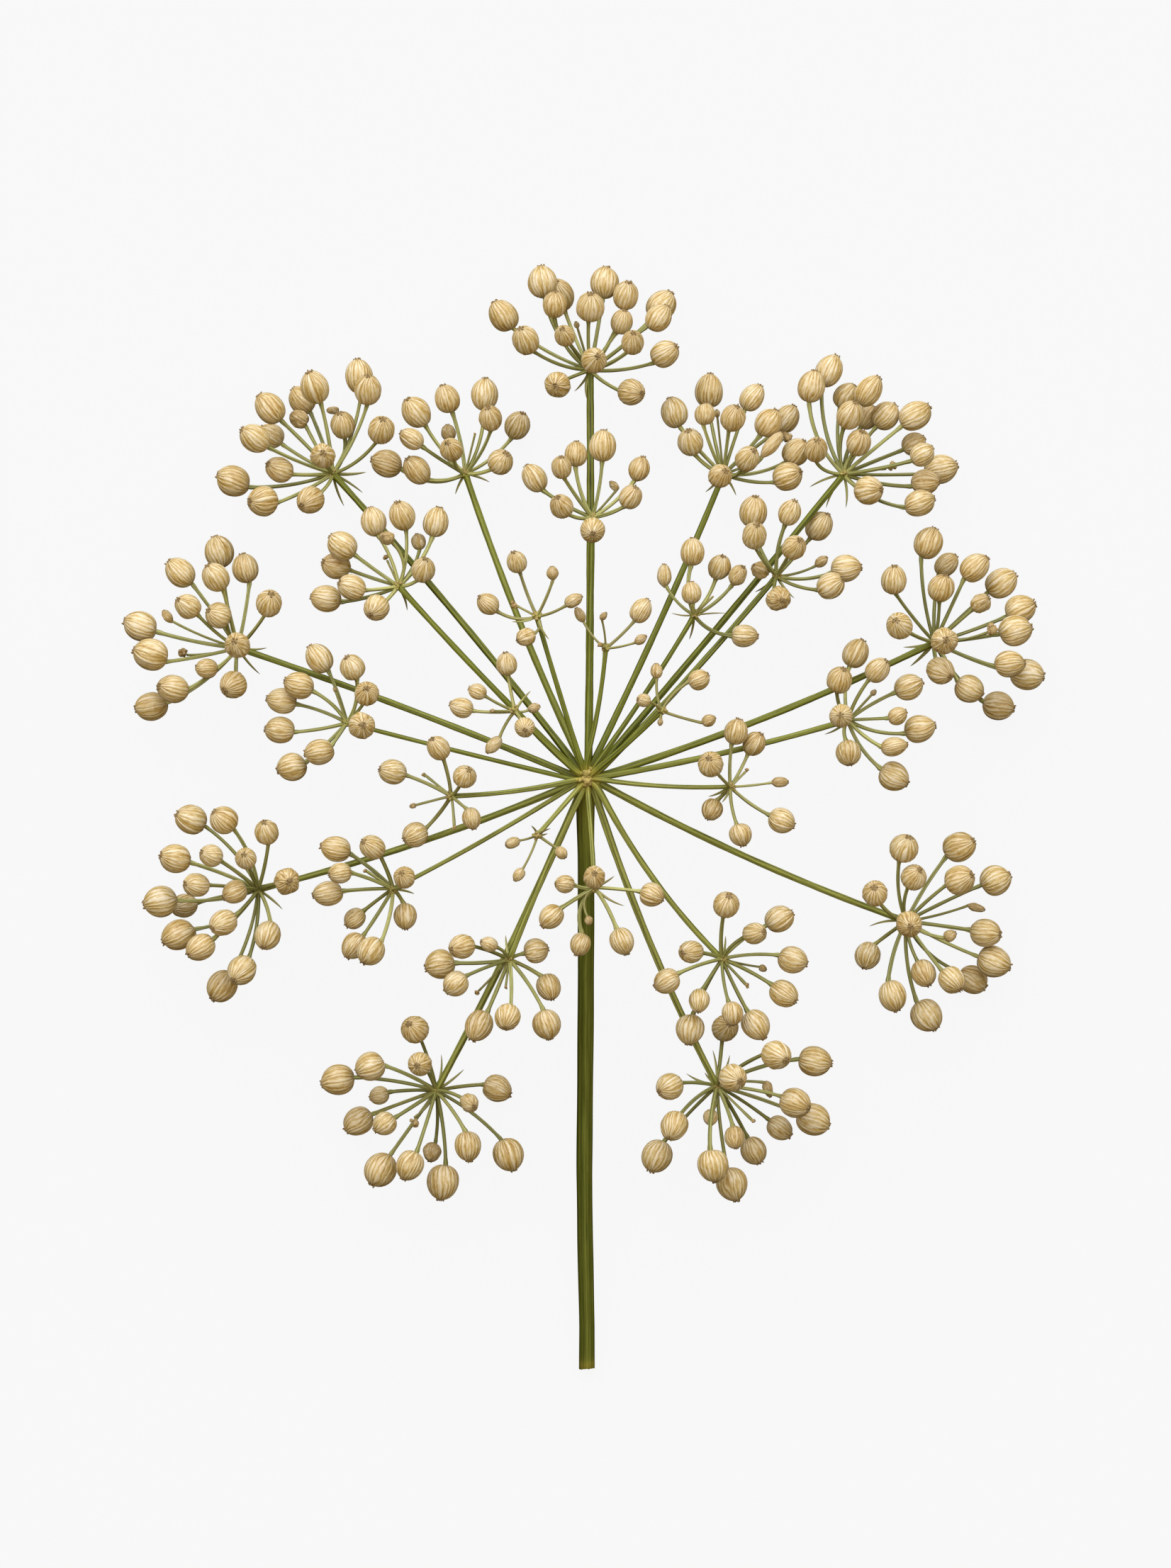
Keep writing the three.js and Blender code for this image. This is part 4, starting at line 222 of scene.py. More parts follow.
            (54.22, 22.67, 14.98, 0.579, -0.387, 0.718, 2.02, 2.43, 53.13, 25.85, 11.66, 53.65, 24.11, 13.37),
            (58.64, 19.95, 13.71, 0.896, -0.445, 0, 2.11, 2.29, 55.35, 24.15, 12.29, 56.69, 20.92, 13.71),
            (63.77, 17.52, 2.17, 0.987, -0.162, 0, 2.21, 2.53, 56.51, 21.73, 3.86, 61.37, 17.91, 2.17),
        ],
        "bractlets": [(48.94, 26.48, 6.51), (50.02, 23.55, 6.51)],
    },
    10: {
        "centre": (40.11, 15.22, 15.88), "foot": (3.55, 6.75, 24.8), "bow": (22.02, 9.82, 19.68),
        "fruits": [
            (41.36, 25.43, 14.46, 0.487, 0.873, 0, 1.98, 2.35, 39.15, 19.38, 15.08, 40.31, 23.46, 14.46),
            (38.62, 21.27, 21.35, 0.264, 0.782, 0.565, 1.96, 2.13, 38.28, 17, 18.46, 38.12, 19.71, 20.2),
            (44.43, 22.77, 20.77, 0.61, 0.661, 0.438, 1.77, 2.18, 41.01, 18.6, 18.19, 43.19, 21.44, 19.87),
            (49.24, 20.23, 17.5, 0.913, 0.407, 0, 1.96, 2.31, 43.38, 17.82, 17.1, 47.2, 19.44, 17.5),
            (47.38, 15.81, 21, 0.89, 0.456, 0, 1.31, 1.56, 43.01, 15.33, 19.72, 45.97, 15.38, 21),
            (50.95, 13.92, 17.5, 0.967, 0.255, 0, 2.09, 2.45, 44.13, 12.77, 17.1, 48.78, 13.08, 17.5),
            (46.88, 11.18, 21.16, 0.986, 0.166, 0, 1.45, 2.12, 42.07, 12.55, 19.84, 44.9, 10.85, 21.16),
            (47.05, 6.64, 17.5, 0.874, -0.485, 0, 2.19, 2.41, 41.41, 10.66, 17.1, 45.04, 7.71, 17.5),
            (40.03, 10.19, 19.67, 0.128, -0.89, 0.438, 1.94, 2.05, 38.86, 13.78, 17.76, 39.82, 11.92, 18.81),
            (38.57, 15.74, 27.91, -0.104, 0.052, 0.993, 1.79, 2.06, 39.42, 15.47, 21.69, 38.85, 15.66, 25.96),
            (43.98, 19.41, 15.79, 0.648, 0.702, -0.296, 0.43, 0.56, 42, 17.28, 16.27, 43.63, 19.03, 15.95),
        ],
        "bractlets": [(36.68, 13.09, 12.88)],
    },
    11: {
        "centre": (22.11, 5.13, 23.88), "foot": (3.54, 6.07, 26.18), "bow": (12.76, 4.75, 25.03),
        "fruits": [
            (22.96, 13.44, 23.84, 0.258, 0.966, 0, 1.79, 2.05, 21.81, 8.42, 23.85, 22.24, 11.65, 23.84),
            (25.75, 11.65, 21.76, 0.512, 0.763, 0.394, 1.69, 2.04, 23.75, 7.48, 21.19, 24.79, 10.19, 21),
            (18.97, 8.52, 31.3, -0.152, 0.45, 0.88, 1.93, 2, 20.9, 6.02, 26.94, 19.46, 7.76, 29.63),
            (29.52, 5.81, 23.88, 0.999, 0.047, 0, 0.79, 1.37, 25.2, 5.21, 23.88, 28.23, 5.75, 23.88),
            (29.84, 0, 23.88, 0.91, -0.414, 0, 1.89, 2.13, 24.71, 2.45, 23.88, 28.02, 0.83, 23.88),
            (23.58, -2.15, 27.25, 0.27, -0.963, 0, 1.75, 1.79, 21.95, 2.13, 26.41, 22.97, -0.59, 27.25),
            (19.36, 1.65, 21.85, -0.375, -0.866, 0.331, 1.62, 1.75, 21.21, 3.98, 21.67, 19.99, 3.08, 21.3),
            (24.58, 7.58, 22.83, 0.676, 0.676, -0.296, 0.32, 0.42, 23.3, 6.31, 23.39, 24.31, 7.31, 22.95),
        ],
        "bractlets": [(18.86, 3.63, 20.88), (20.82, 2.78, 24.48)],
    },
    12: {
        "centre": (49.26, -15.43, 8.9), "foot": (3.3, 5.19, 24.71), "bow": (25.26, -6.9, 16.8),
        "fruits": [
            (48.64, -4.13, 15.76, 0.303, 0.712, 0.634, 2.19, 2.34, 47.25, -10.87, 11.49, 47.87, -5.64, 14.35),
            (57.44, -4.02, 8.64, 0.848, 0.362, 0.388, 2.26, 2.62, 51.92, -10.07, 7.01, 55.5, -5.19, 7.68),
            (50.13, -8.59, 15.37, 0.378, 0.556, 0.74, 1.96, 2.14, 48.18, -12.74, 11.44, 49.4, -9.72, 13.86),
            (57.15, -9.01, 14.34, 0.783, 0.333, 0.525, 2.3, 2.39, 52.02, -12.24, 11.02, 55.33, -9.46, 13.14),
            (62.97, -9.14, 8.64, 0.928, 0.372, 0, 2.35, 2.47, 54.88, -12.36, 8.71, 60.72, -9.84, 8.64),
            (60.15, -13.41, 3.86, 0.96, -0.28, 0, 0.69, 1.52, 54.21, -14.81, 5.12, 58.73, -13.03, 3.86),
            (61.45, -17.23, 8.22, 0.929, -0.101, 0.355, 2.17, 2.46, 54.35, -16.04, 6.88, 59.35, -16.82, 7.39),
            (62.86, -21.72, 6.26, 0.942, -0.336, 0, 2.39, 2.7, 54.66, -18.65, 6.92, 60.4, -20.91, 6.26),
            (55.8, -17.53, 11.8, 0.894, 0.447, 0, 0.92, 1.06, 51.67, -17.54, 11.07, 54.9, -17.98, 11.8),
            (55.89, -24.22, 15.19, 0.568, -0.668, 0.481, 2.01, 2.23, 51.37, -19.04, 12.08, 54.55, -23.02, 14.17),
            (59.86, -24.56, 2.16, 0.852, -0.523, 0, 2.21, 2.4, 52.03, -21.19, 3.84, 57.89, -23.35, 2.16),
            (51.78, -23.33, 12.49, 0.319, -0.775, 0.546, 1.9, 2.28, 49.35, -18.72, 9.84, 51.02, -21.73, 11.3),
            (46.98, -26.71, 13.59, 0.276, -0.961, 0, 2.12, 2.48, 46.79, -19.74, 12.41, 46.03, -24.56, 13.59),
            (52.42, -29.86, 8.64, 0.596, -0.803, 0, 2.43, 2.62, 48.75, -21.88, 8.71, 50.77, -27.98, 8.64),
            (43.64, -20.9, 1.91, -0.266, -0.884, 0.385, 1.96, 2.25, 47.03, -17.29, 2.43, 44.51, -19.12, 1.09),
            (44.05, -10.98, 18.75, -0.113, 0.477, 0.871, 1.96, 2.04, 46.46, -14.75, 13.19, 44.37, -11.93, 17.06),
            (49.19, -15.64, 19.14, 0.047, -0.186, 0.981, 2.01, 2.31, 49.21, -15.03, 13.27, 49.19, -15.28, 16.99),
        ],
        "bractlets": [(43.69, -16.21, 7.7)],
    },
    13: {
        "centre": (20.95, -20.92, 18.08), "foot": (2.6, 4.21, 25.66), "bow": (9.77, -9.78, 21.73),
        "fruits": [
            (21.46, -12.57, 24.89, 0.211, 0.674, 0.708, 1.98, 2.06, 20.5, -17.58, 20.79, 21.08, -13.9, 23.5),
            (29.68, -14.87, 17.5, 0.892, 0.453, 0, 2.02, 2.31, 23.81, -17.66, 17.65, 27.72, -15.87, 17.5),
            (25.83, -16.92, 23.57, 0.668, 0.156, 0.727, 1.65, 2.06, 22.01, -18.63, 20.08, 24.57, -17.25, 22.15),
            (31.71, -21.1, 17.5, 0.952, -0.305, 0, 2.07, 2.32, 25.29, -19.85, 17.65, 29.7, -20.24, 17.5),
            (30.37, -26.22, 17.5, 0.749, -0.517, 0.414, 2, 2.39, 25.06, -22.52, 16.17, 28.76, -24.99, 16.56),
            (26.13, -31, 17.5, 0.54, -0.842, 0, 2.1, 2.49, 22.72, -25.08, 17.65, 24.88, -28.99, 17.5),
            (22.48, -29.06, 21.29, 0.153, -0.988, 0, 1.63, 1.86, 20.87, -24.26, 20.49, 21.86, -27.43, 21.29),
            (17.44, -27.23, 21.2, -0.103, -0.865, 0.49, 1.57, 1.97, 19.36, -23.26, 19.07, 17.65, -25.65, 20.29),
            (16.09, -31.64, 17.85, -0.119, -0.993, 0, 2.17, 2.39, 18.42, -25.06, 17.91, 16.36, -29.4, 17.85),
            (12.51, -24.18, 23.01, -0.887, -0.462, 0, 1.9, 2.1, 17.3, -21.47, 23.01, 14.07, -22.97, 23.01),
            (16.18, -19.77, 21.13, -0.635, -0.054, 0.771, 1.74, 2.17, 19.6, -20.08, 18.77, 17.51, -19.95, 19.55),
            (27.23, -22.45, 14.66, 0.896, -0.445, 0, 0.57, 0.65, 23.78, -21.83, 15.52, 26.68, -22.18, 14.66),
            (24.46, -24.64, 19.05, 0.655, -0.695, 0.296, 0.32, 0.42, 22.71, -22.79, 18.41, 24.2, -24.37, 18.93),
        ],
        "bractlets": [(21.5, -17.5, 17.48)],
    },
    14: {
        "centre": (20.32, -40.39, 11.84), "foot": (1.88, 3.72, 24.39), "bow": (9.17, -18.99, 17.99),
        "fruits": [
            (21.8, -31.91, 2.57, 0.252, 0.302, 0.92, 2.06, 2.58, 21.06, -37.37, 0.6, 21.38, -32.85, 0.32),
            (22.59, -38.77, 21.52, 0.453, -0.181, 0.873, 2.06, 2.37, 20.5, -38.67, 16.03, 21.61, -38.45, 19.55),
            (29.13, -35.37, 21.52, 0.541, -0.246, 0.804, 2.13, 2.66, 23.37, -36.95, 15.46, 27.82, -34.84, 19.49),
            (35.31, -36.72, 11.02, 0.992, -0.129, 0, 2.28, 2.61, 26.22, -37.07, 11.23, 32.88, -36.2, 11.02),
            (28.03, -40.84, 13.77, 0.316, -0.949, 0, 0.76, 1.36, 23.9, -39.27, 13.29, 27.62, -39.61, 13.77),
            (32.14, -42.79, 17.17, 0.843, -0.335, 0.421, 2.29, 2.44, 25.76, -40.48, 14.41, 30.33, -41.81, 16.2),
            (35.04, -45.6, 11.02, 0.921, -0.389, 0, 2.41, 2.69, 26.68, -42.07, 11.23, 32.68, -44.6, 11.02),
            (30.08, -47.19, 5.83, 0.821, -0.571, 0, 1.82, 2.13, 24.67, -42.89, 7.33, 28.46, -45.96, 5.83),
            (22.95, -48.1, 14.75, 0.122, -0.918, 0.377, 1.57, 1.84, 21.86, -43.31, 12.95, 22.75, -46.53, 14.1),
            (26.07, -50.65, 5.91, 0.434, -0.901, 0, 2.02, 2.26, 23.07, -44.44, 7.39, 25.13, -48.69, 5.91),
            (22.66, -55.51, 11.02, 0.276, -0.961, 0, 2.38, 2.69, 20.62, -46.83, 11.23, 21.79, -53.1, 11.02),
            (19.64, -52.33, 16.96, 0.194, -0.981, 0, 2.36, 2.56, 18.84, -45.35, 16.08, 19.11, -49.96, 16.96),
            (19.33, -45.18, 13.07, -0.033, -0.833, 0.552, 1.14, 1.38, 20.93, -42.44, 11.71, 19.49, -44.13, 12.35),
            (13.7, -46.34, 16.85, -0.333, -0.739, 0.586, 2.08, 2.47, 16.84, -41.71, 13.53, 14.53, -44.69, 15.48),
            (11.19, -51.34, 8.22, -0.374, -0.927, 0, 2.37, 2.64, 15.96, -44.48, 9.13, 12.14, -49, 8.22),
            (13.01, -40.36, 15.83, -0.735, -0.325, 0.596, 2.05, 2.24, 17.65, -39.61, 13.05, 14.6, -39.74, 14.56),
            (25.46, -45.39, 13.19, 0.683, -0.668, 0.296, 0.32, 0.42, 22.96, -42.96, 12.32, 25.2, -45.13, 13.07),
        ],
        "bractlets": [(19.71, -35.07, 10.04), (22.25, -35.73, 12.44), (15.69, -38.58, 11.24), (18.44, -38.36, 13.27)],
    },
    15: {
        "centre": (1.65, -9.95, 27.5), "foot": (0.78, 3.44, 25.77), "bow": (1.32, -3.25, 26.63),
        "fruits": [
            (1.63, -8.34, 36.2, 0, 0.333, 0.943, 1.68, 1.94, 1.64, -9.71, 31.35, 1.64, -8.96, 34.47),
            (-2.82, -9.42, 29.54, -0.94, 0.007, 0.341, 1.39, 1.56, -0.01, -10.37, 28.4, -1.45, -9.39, 29.04),
            (-4.85, -14.39, 28.91, -0.703, -0.711, 0, 1.73, 2.07, -0.96, -11.46, 28.56, -3.49, -13.02, 28.91),
            (0.8, -14.89, 29.73, 0.218, -0.874, 0.435, 0.6, 0.75, -0.79, -11.67, 28.49, 0.64, -14.29, 29.42),
            (-0.48, -18.55, 27.5, -0.316, -0.949, 0, 1.57, 1.8, -1.78, -12.86, 27.5, 0.06, -16.94, 27.5),
            (5.81, -18.09, 27.5, 0.368, -0.93, 0, 1.85, 2.16, 3.84, -12.84, 27.5, 4.97, -16.25, 27.5),
            (10.33, -11.11, 27.5, 0.886, -0.349, 0.304, 1.85, 1.92, 5.16, -10.14, 26.62, 8.73, -10.5, 26.94),
        ],
        "bractlets": [(4.62, -8.24, 28.1), (6.1, -12.7, 28.1)],
    },
    16: {
        "centre": (-11.18, -20.97, 20.32), "foot": (-0.59, 3.67, 25.12), "bow": (-6.36, -8.41, 22.72),
        "fruits": [
            (-18.35, -18.89, 25.89, -0.689, -0.156, 0.708, 1.83, 2.27, -13.76, -19.51, 21.59, -16.91, -18.6, 24.36),
            (-14.22, -18.53, 24.35, -0.868, 0.326, 0.375, 1.12, 1.44, -11.68, -19.58, 22.72, -13.06, -18.98, 23.84),
            (-21.75, -21.79, 17.19, -0.97, -0.244, 0, 2.22, 2.36, -15.36, -21.72, 17.97, -19.54, -21.44, 17.19),
            (-19.21, -24.51, 25, -0.785, -0.62, 0, 1.86, 2.02, -14.58, -21.84, 23.83, -17.79, -23.25, 25),
            (-15.81, -30.97, 21, -0.398, -0.851, 0.343, 2.07, 2.55, -12.79, -24.95, 19.57, -14.52, -29.17, 20.17),
            (-11.39, -29.5, 26.42, -0.16, -0.708, 0.688, 1.96, 2.23, -10.62, -24.34, 22.6, -10.86, -28.13, 24.97),
            (-5.5, -30.77, 21, 0.219, -0.976, 0, 2.14, 2.36, -7.97, -24.41, 20.83, -5.88, -28.58, 21),
            (-5.22, -25.26, 17.42, 0.262, -0.841, 0.473, 1.88, 2.19, -8.51, -22.02, 16.67, -6, -23.64, 16.44),
            (-7.09, -19.65, 18.97, 0.967, 0.253, 0, 1.89, 1.92, -10.11, -20.19, 19.3, -8.85, -20.11, 18.97),
            (-16.01, -25.93, 18.92, -0.668, -0.683, -0.296, 0.38, 0.49, -13.62, -23.47, 19.8, -15.7, -25.61, 19.06),
            (-11.69, -25.08, 22.27, -0.121, -0.948, 0.296, 0.27, 0.35, -11.43, -23.02, 21.45, -11.65, -24.77, 22.17),
        ],
        "bractlets": [(-11.75, -17.4, 17.32)],
    },
    17: {
        "centre": (-22.45, -41.28, 8.9), "foot": (-0.71, 3.73, 23.59), "bow": (-10.53, -19.08, 16.24),
        "fruits": [
            (-25.6, -31.58, 16.7, -0.363, 0.415, 0.834, 2.11, 2.21, -23.05, -37.12, 11.57, -24.88, -32.52, 14.95),
            (-24.71, -36.78, 19.4, -0.185, -0.076, 0.98, 1.83, 2.11, -23.58, -37.78, 13.31, -24.39, -36.71, 17.44),
            (-32.44, -37.43, 13.69, -0.915, -0.403, 0, 2.23, 2.34, -26.12, -38.61, 12.49, -30.26, -37, 13.69),
            (-37.55, -39.65, 8.9, -0.977, -0.212, 0, 2.4, 2.66, -28.64, -39.36, 8.9, -35.06, -39.11, 8.9),
            (-31.29, -42.2, 5.01, -0.963, -0.271, 0, 1.43, 1.59, -26.21, -41.1, 5.98, -29.89, -41.6, 5.01),
            (-34.62, -46.35, 2.13, -0.792, -0.611, 0, 2.18, 2.47, -27.59, -43.22, 3.82, -32.57, -45.17, 2.13),
            (-30.26, -46.14, 13.16, -0.799, -0.601, 0, 1.81, 1.91, -25.5, -43.29, 12.1, -28.69, -45.22, 13.16),
            (-25.7, -45.94, 11.39, 0.321, -0.841, 0.435, 0.63, 1.05, -23.5, -43.71, 9.95, -25.75, -45.11, 10.98),
            (-30.98, -53.39, 8.9, -0.501, -0.866, 0, 2.43, 2.79, -26.01, -46.24, 8.9, -29.54, -51.16, 8.9),
            (-26.38, -52.45, 14.36, -0.424, -0.906, 0, 2.07, 2.39, -23.76, -45.87, 12.99, -25.23, -50.5, 14.36),
            (-23.2, -50.92, 4.68, -0.2, -0.98, 0, 1.36, 1.55, -22, -45.49, 5.73, -22.62, -49.56, 4.68),
            (-21.46, -55.31, 8.9, -0.098, -0.995, 0, 2.45, 2.79, -21.03, -46.94, 8.9, -20.87, -52.72, 8.9),
            (-17.52, -49.58, 13.3, 0.095, -0.995, 0, 2.03, 2.38, -19.66, -43.99, 12.2, -17.7, -47.32, 13.3),
            (-11.43, -51.12, 8.9, 0.331, -0.944, 0, 2.37, 2.63, -16.65, -44.09, 8.9, -12.26, -48.74, 8.9),
            (-13.12, -41.34, 2.04, 0.842, -0.396, 0.367, 2.1, 2.36, -18.89, -40.73, 2.44, -15.04, -40.47, 1.22),
            (-17.21, -42.76, 17.48, 0.404, -0.303, 0.863, 1.4, 1.75, -20.36, -41.05, 12.73, -17.91, -42.32, 16.05),
        ],
        "bractlets": [(-21.73, -35.84, 7.1), (-18.26, -38.11, 7.1)],
    },
    18: {
        "centre": (-6.85, -2.1, 27), "foot": (-1.37, 4.17, 26.19), "bow": (-4.11, 1.04, 26.6),
        "fruits": [
            (-10.68, -3.32, 24.88, -0.792, -0.35, 0.5, 0.82, 1.2, -8.19, -2.79, 24.55, -9.79, -2.93, 24.31),
            (-3.27, -4.79, 29.03, 0.586, -0.706, 0.398, 0.92, 1.07, -5.44, -3.19, 27.89, -3.86, -4.08, 28.63),
            (-9.7, -8.09, 27, -0.581, -0.814, 0, 0.86, 1.16, -7.62, -4.81, 27, -9.07, -7.2, 27),
        ],
        "bractlets": [(-7.8, -0.71, 28.2), (-4.92, -1.12, 30), (-5.35, -1.87, 28.8)],
    },
    19: {
        "centre": (-28.78, -10.31, 18), "foot": (-2, 4.93, 25.18), "bow": (-14.97, -3.31, 21.59),
        "fruits": [
            (-37.49, -4.26, 18, -0.981, 0.192, 0, 2, 2.4, -31.77, -7.21, 18, -35.29, -4.82, 18),
            (-31.74, -3.98, 23.65, -0.626, 0.408, 0.664, 1.8, 2.21, -29.38, -7.68, 20.21, -30.58, -4.98, 22.26),
            (-36.68, -7.9, 21.78, -0.918, -0.122, 0.377, 1.57, 1.84, -31.81, -8.73, 19.74, -35.11, -7.7, 21.12),
            (-38.69, -11.06, 18, -0.992, -0.122, 0, 1.91, 2.35, -32.68, -10.26, 18, -36.5, -10.66, 18),
            (-26.83, -8.43, 27.75, -0.209, 0.382, 0.9, 1.64, 1.89, -26.75, -10.11, 22.52, -26.5, -9.13, 26.13),
            (-34.7, -14.91, 14.66, -0.744, -0.668, 0, 1.55, 1.81, -31.19, -11.98, 15.5, -33.41, -13.77, 14.66),
            (-34.72, -19.03, 16.63, -0.563, -0.827, 0, 1.9, 2.18, -30.91, -14.04, 16.97, -33.32, -17.52, 16.63),
            (-32.08, -19.72, 20.12, -0.541, -0.776, 0.325, 2.06, 2.32, -28.88, -14.6, 18.48, -30.41, -18.6, 19.42),
            (-26.99, -14.56, 15.88, 0.038, -0.938, 0.345, 1.76, 2.11, -27.8, -11.37, 15.59, -27.08, -12.7, 15.19),
            (-32.59, -7.72, 19.4, -0.795, 0.53, 0.296, 0.32, 0.42, -30.67, -9.02, 18.68, -32.28, -7.93, 19.28),
        ],
        "bractlets": [(-25.61, -11.09, 16.2)],
    },
    20: {
        "centre": (-49.6, -10.56, 8.88), "foot": (-2.18, 5.31, 23.7), "bow": (-25.1, -4.4, 16.29),
        "fruits": [
            (-59.86, 0.17, 10.36, -0.817, 0.332, 0.471, 2.22, 2.62, -52.41, -4.56, 7.83, -57.88, -0.67, 9.19),
            (-54.55, 0.12, 15.66, -0.704, 0.583, 0.406, 2.12, 2.2, -50.01, -5.3, 12.39, -53.1, -1.08, 14.81),
            (-47.93, -1.67, 17.69, -0.201, 0.71, 0.675, 1.82, 2.11, -48.24, -7.04, 13.11, -47.52, -3.08, 16.34),
            (-61.99, -5.75, 14.86, -0.856, 0.218, 0.469, 2.18, 2.59, -54.52, -7.97, 11.33, -59.95, -6.3, 13.7),
            (-56.41, -5.28, 17.4, -0.703, 0.255, 0.665, 1.71, 1.99, -52.05, -8.1, 13.01, -55.21, -5.89, 16.15),
            (-50.91, -5.68, 20.86, -0.122, 0.35, 0.929, 1.64, 1.88, -50.33, -8.12, 14.7, -50.78, -6.32, 19.2),
            (-44.68, -9.16, 20.86, 0.214, 0.03, 0.976, 1.99, 2.29, -46.82, -9.67, 14.39, -45.24, -9.25, 18.74),
            (-58.68, -9.79, 16.16, -0.755, 0.066, 0.653, 1.8, 2.25, -53.19, -10.05, 10.98, -57.15, -9.8, 14.77),
            (-64.62, -12.44, 8.35, -0.977, -0.211, 0, 2.4, 2.7, -55.69, -12.81, 8.48, -62.06, -12.05, 8.35),
            (-61.38, -13.18, 1.86, -0.802, -0.153, 0.577, 1.85, 2.24, -54.79, -11.46, 1.15, -59.73, -12.86, 0.64),
            (-53, -10.91, 14.06, -0.888, -0.461, 0, 1.74, 1.99, -50.37, -10.29, 12.76, -51.27, -10.15, 14.06),
            (-54.62, -15.54, 16.74, -0.646, -0.356, 0.675, 1.95, 2.43, -51.01, -12.77, 12.56, -53.12, -14.95, 15.19),
            (-61.72, -17.52, 10.36, -0.906, -0.424, 0, 2.32, 2.75, -52.93, -16.09, 9.99, -59.34, -16.41, 10.36),
            (-58.04, -19.27, 16.87, -0.74, -0.432, 0.515, 2, 2.5, -52.39, -14.82, 12.6, -56.35, -18.27, 15.65),
            (-51.88, -22.79, 15.59, -0.442, -0.56, 0.701, 2.13, 2.66, -49.28, -16.68, 10.89, -50.89, -21.4, 13.82),
            (-55.08, -25.32, 10.36, -0.584, -0.812, 0, 2.25, 2.61, -50.23, -17.41, 9.99, -53.49, -23.41, 10.36),
            (-47.92, -17.48, 14.86, -0.249, -0.78, 0.574, 1.99, 2.38, -47.89, -12.85, 11.61, -47.3, -15.79, 13.56),
        ],
        "bractlets": [(-45.89, -13.58, 9.48)],
    },
    21: {
        "centre": (-19.86, 3.74, 24.32), "foot": (-2.34, 5.87, 26.35), "bow": (-10.98, 3.96, 25.33),
        "fruits": [
            (-21.72, 10.96, 28.76, -0.488, 0.678, 0.55, 1.66, 2.07, -20.06, 6.63, 26.05, -20.97, 9.55, 27.68),
            (-28.7, 7.37, 24.32, -0.899, 0.194, 0.392, 1.86, 2.24, -23.16, 5.7, 23.05, -26.83, 6.97, 23.49),
            (-17.71, 6.71, 28.14, 0.34, 0.563, 0.754, 1.78, 1.85, -18.94, 4.32, 25.64, -18.33, 5.74, 26.81),
            (-25.43, -2.17, 20.89, -0.795, -0.37, 0.48, 1.92, 2.05, -21.55, 0.96, 20.25, -23.91, -1.45, 19.95),
            (-19.47, -0.1, 25.87, 0.115, -0.893, 0.435, 0.6, 1.17, -19.57, 2.37, 24.84, -19.61, 0.88, 25.38),
            (-16.76, 0.34, 26.44, 0.2, -0.98, 0, 1.41, 1.74, -18.63, 2.71, 25.91, -17.34, 1.85, 26.44),
            (-23.63, 6.73, 22.87, -0.746, 0.597, -0.296, 0.32, 0.42, -21.73, 5.23, 23.61, -23.33, 6.49, 22.99),
            (-25.66, 2.24, 22.52, -0.925, -0.24, -0.296, 0.43, 0.56, -22.73, 3, 23.44, -25.17, 2.37, 22.68),
        ],
        "bractlets": [],
    },
    22: {
        "centre": (-35.78, 14.78, 17), "foot": (-2.45, 6.47, 24.94), "bow": (-19.1, 10.4, 20.97),
        "fruits": [
            (-40.05, 24.63, 17, -0.605, 0.796, 0, 2, 2.46, -36.86, 19.07, 17, -38.55, 22.84, 17),
            (-34.85, 23.2, 21.43, -0.403, 0.767, 0.499, 1.89, 2.02, -33.6, 17.88, 18.77, -34.11, 21.75, 20.47),
            (-32.53, 19.13, 24.71, 0.005, 0.374, 0.927, 1.85, 2.13, -33.46, 16.94, 19.92, -32.61, 18.41, 22.83),
            (-43.02, 20.44, 18.37, -0.952, 0.308, 0, 2.06, 2.36, -37.61, 18.03, 18.03, -40.93, 19.65, 18.37),
            (-45.78, 18.16, 15.63, -0.989, 0.148, 0, 1.98, 2.37, -39.47, 16.89, 15.97, -43.58, 17.64, 15.63),
            (-46.08, 13.71, 15.33, -0.998, 0.061, 0, 2.01, 2.33, -39.82, 13.66, 15.75, -43.91, 13.29, 15.33),
            (-44.18, 8.08, 17, -0.976, -0.216, 0, 2.14, 2.35, -38.77, 11.53, 17, -42, 8.56, 17),
            (-39.9, 10.34, 19.77, -0.99, -0.138, 0, 1.98, 2.32, -36.87, 12.96, 19.08, -37.88, 11.15, 19.77),
            (-33.21, 14.28, 26.92, 0.1, 0.037, 0.994, 2.03, 2.33, -34.3, 14.31, 21.14, -33.51, 14.22, 24.71),
            (-37.55, 19.8, 18.61, -0.325, 0.898, 0.296, 0.32, 0.42, -36.67, 17.3, 17.8, -37.42, 19.44, 18.49),
        ],
        "bractlets": [],
    },
    23: {
        "centre": (-52.73, 26.32, 8.95), "foot": (-2.31, 7.16, 23.57), "bow": (-27, 17.57, 16.26),
        "fruits": [
            (-52.22, 26.5, 20.65, -0.143, 0.239, 0.96, 1.95, 2.25, -52.04, 25.72, 14.5, -52.02, 26.04, 18.6),
            (-61.49, 37.81, 10.15, -0.736, 0.677, 0, 2.07, 2.58, -56.02, 31.38, 9.85, -59.62, 36.21, 10.15),
            (-55.94, 41.22, 2.26, -0.297, 0.955, 0, 2.26, 2.58, -54.84, 32.16, 3.93, -55.31, 38.82, 2.26),
            (-55.79, 36.96, 15.18, -0.499, 0.759, 0.418, 2.06, 2.43, -53.61, 30.77, 12.01, -54.6, 35.3, 14.22),
            (-51.65, 38.54, 7.94, -0.24, 0.971, 0, 2.04, 2.35, -51.51, 31.39, 8.19, -50.75, 36.5, 7.94),
            (-47.45, 32.86, 19.59, 0.195, 0.586, 0.787, 1.99, 2.35, -50.03, 28.44, 13.9, -47.75, 31.55, 17.84),
            (-60.01, 32.51, 15.4, -0.712, 0.443, 0.545, 1.86, 2.18, -56.08, 28.32, 11.74, -58.68, 31.52, 14.27),
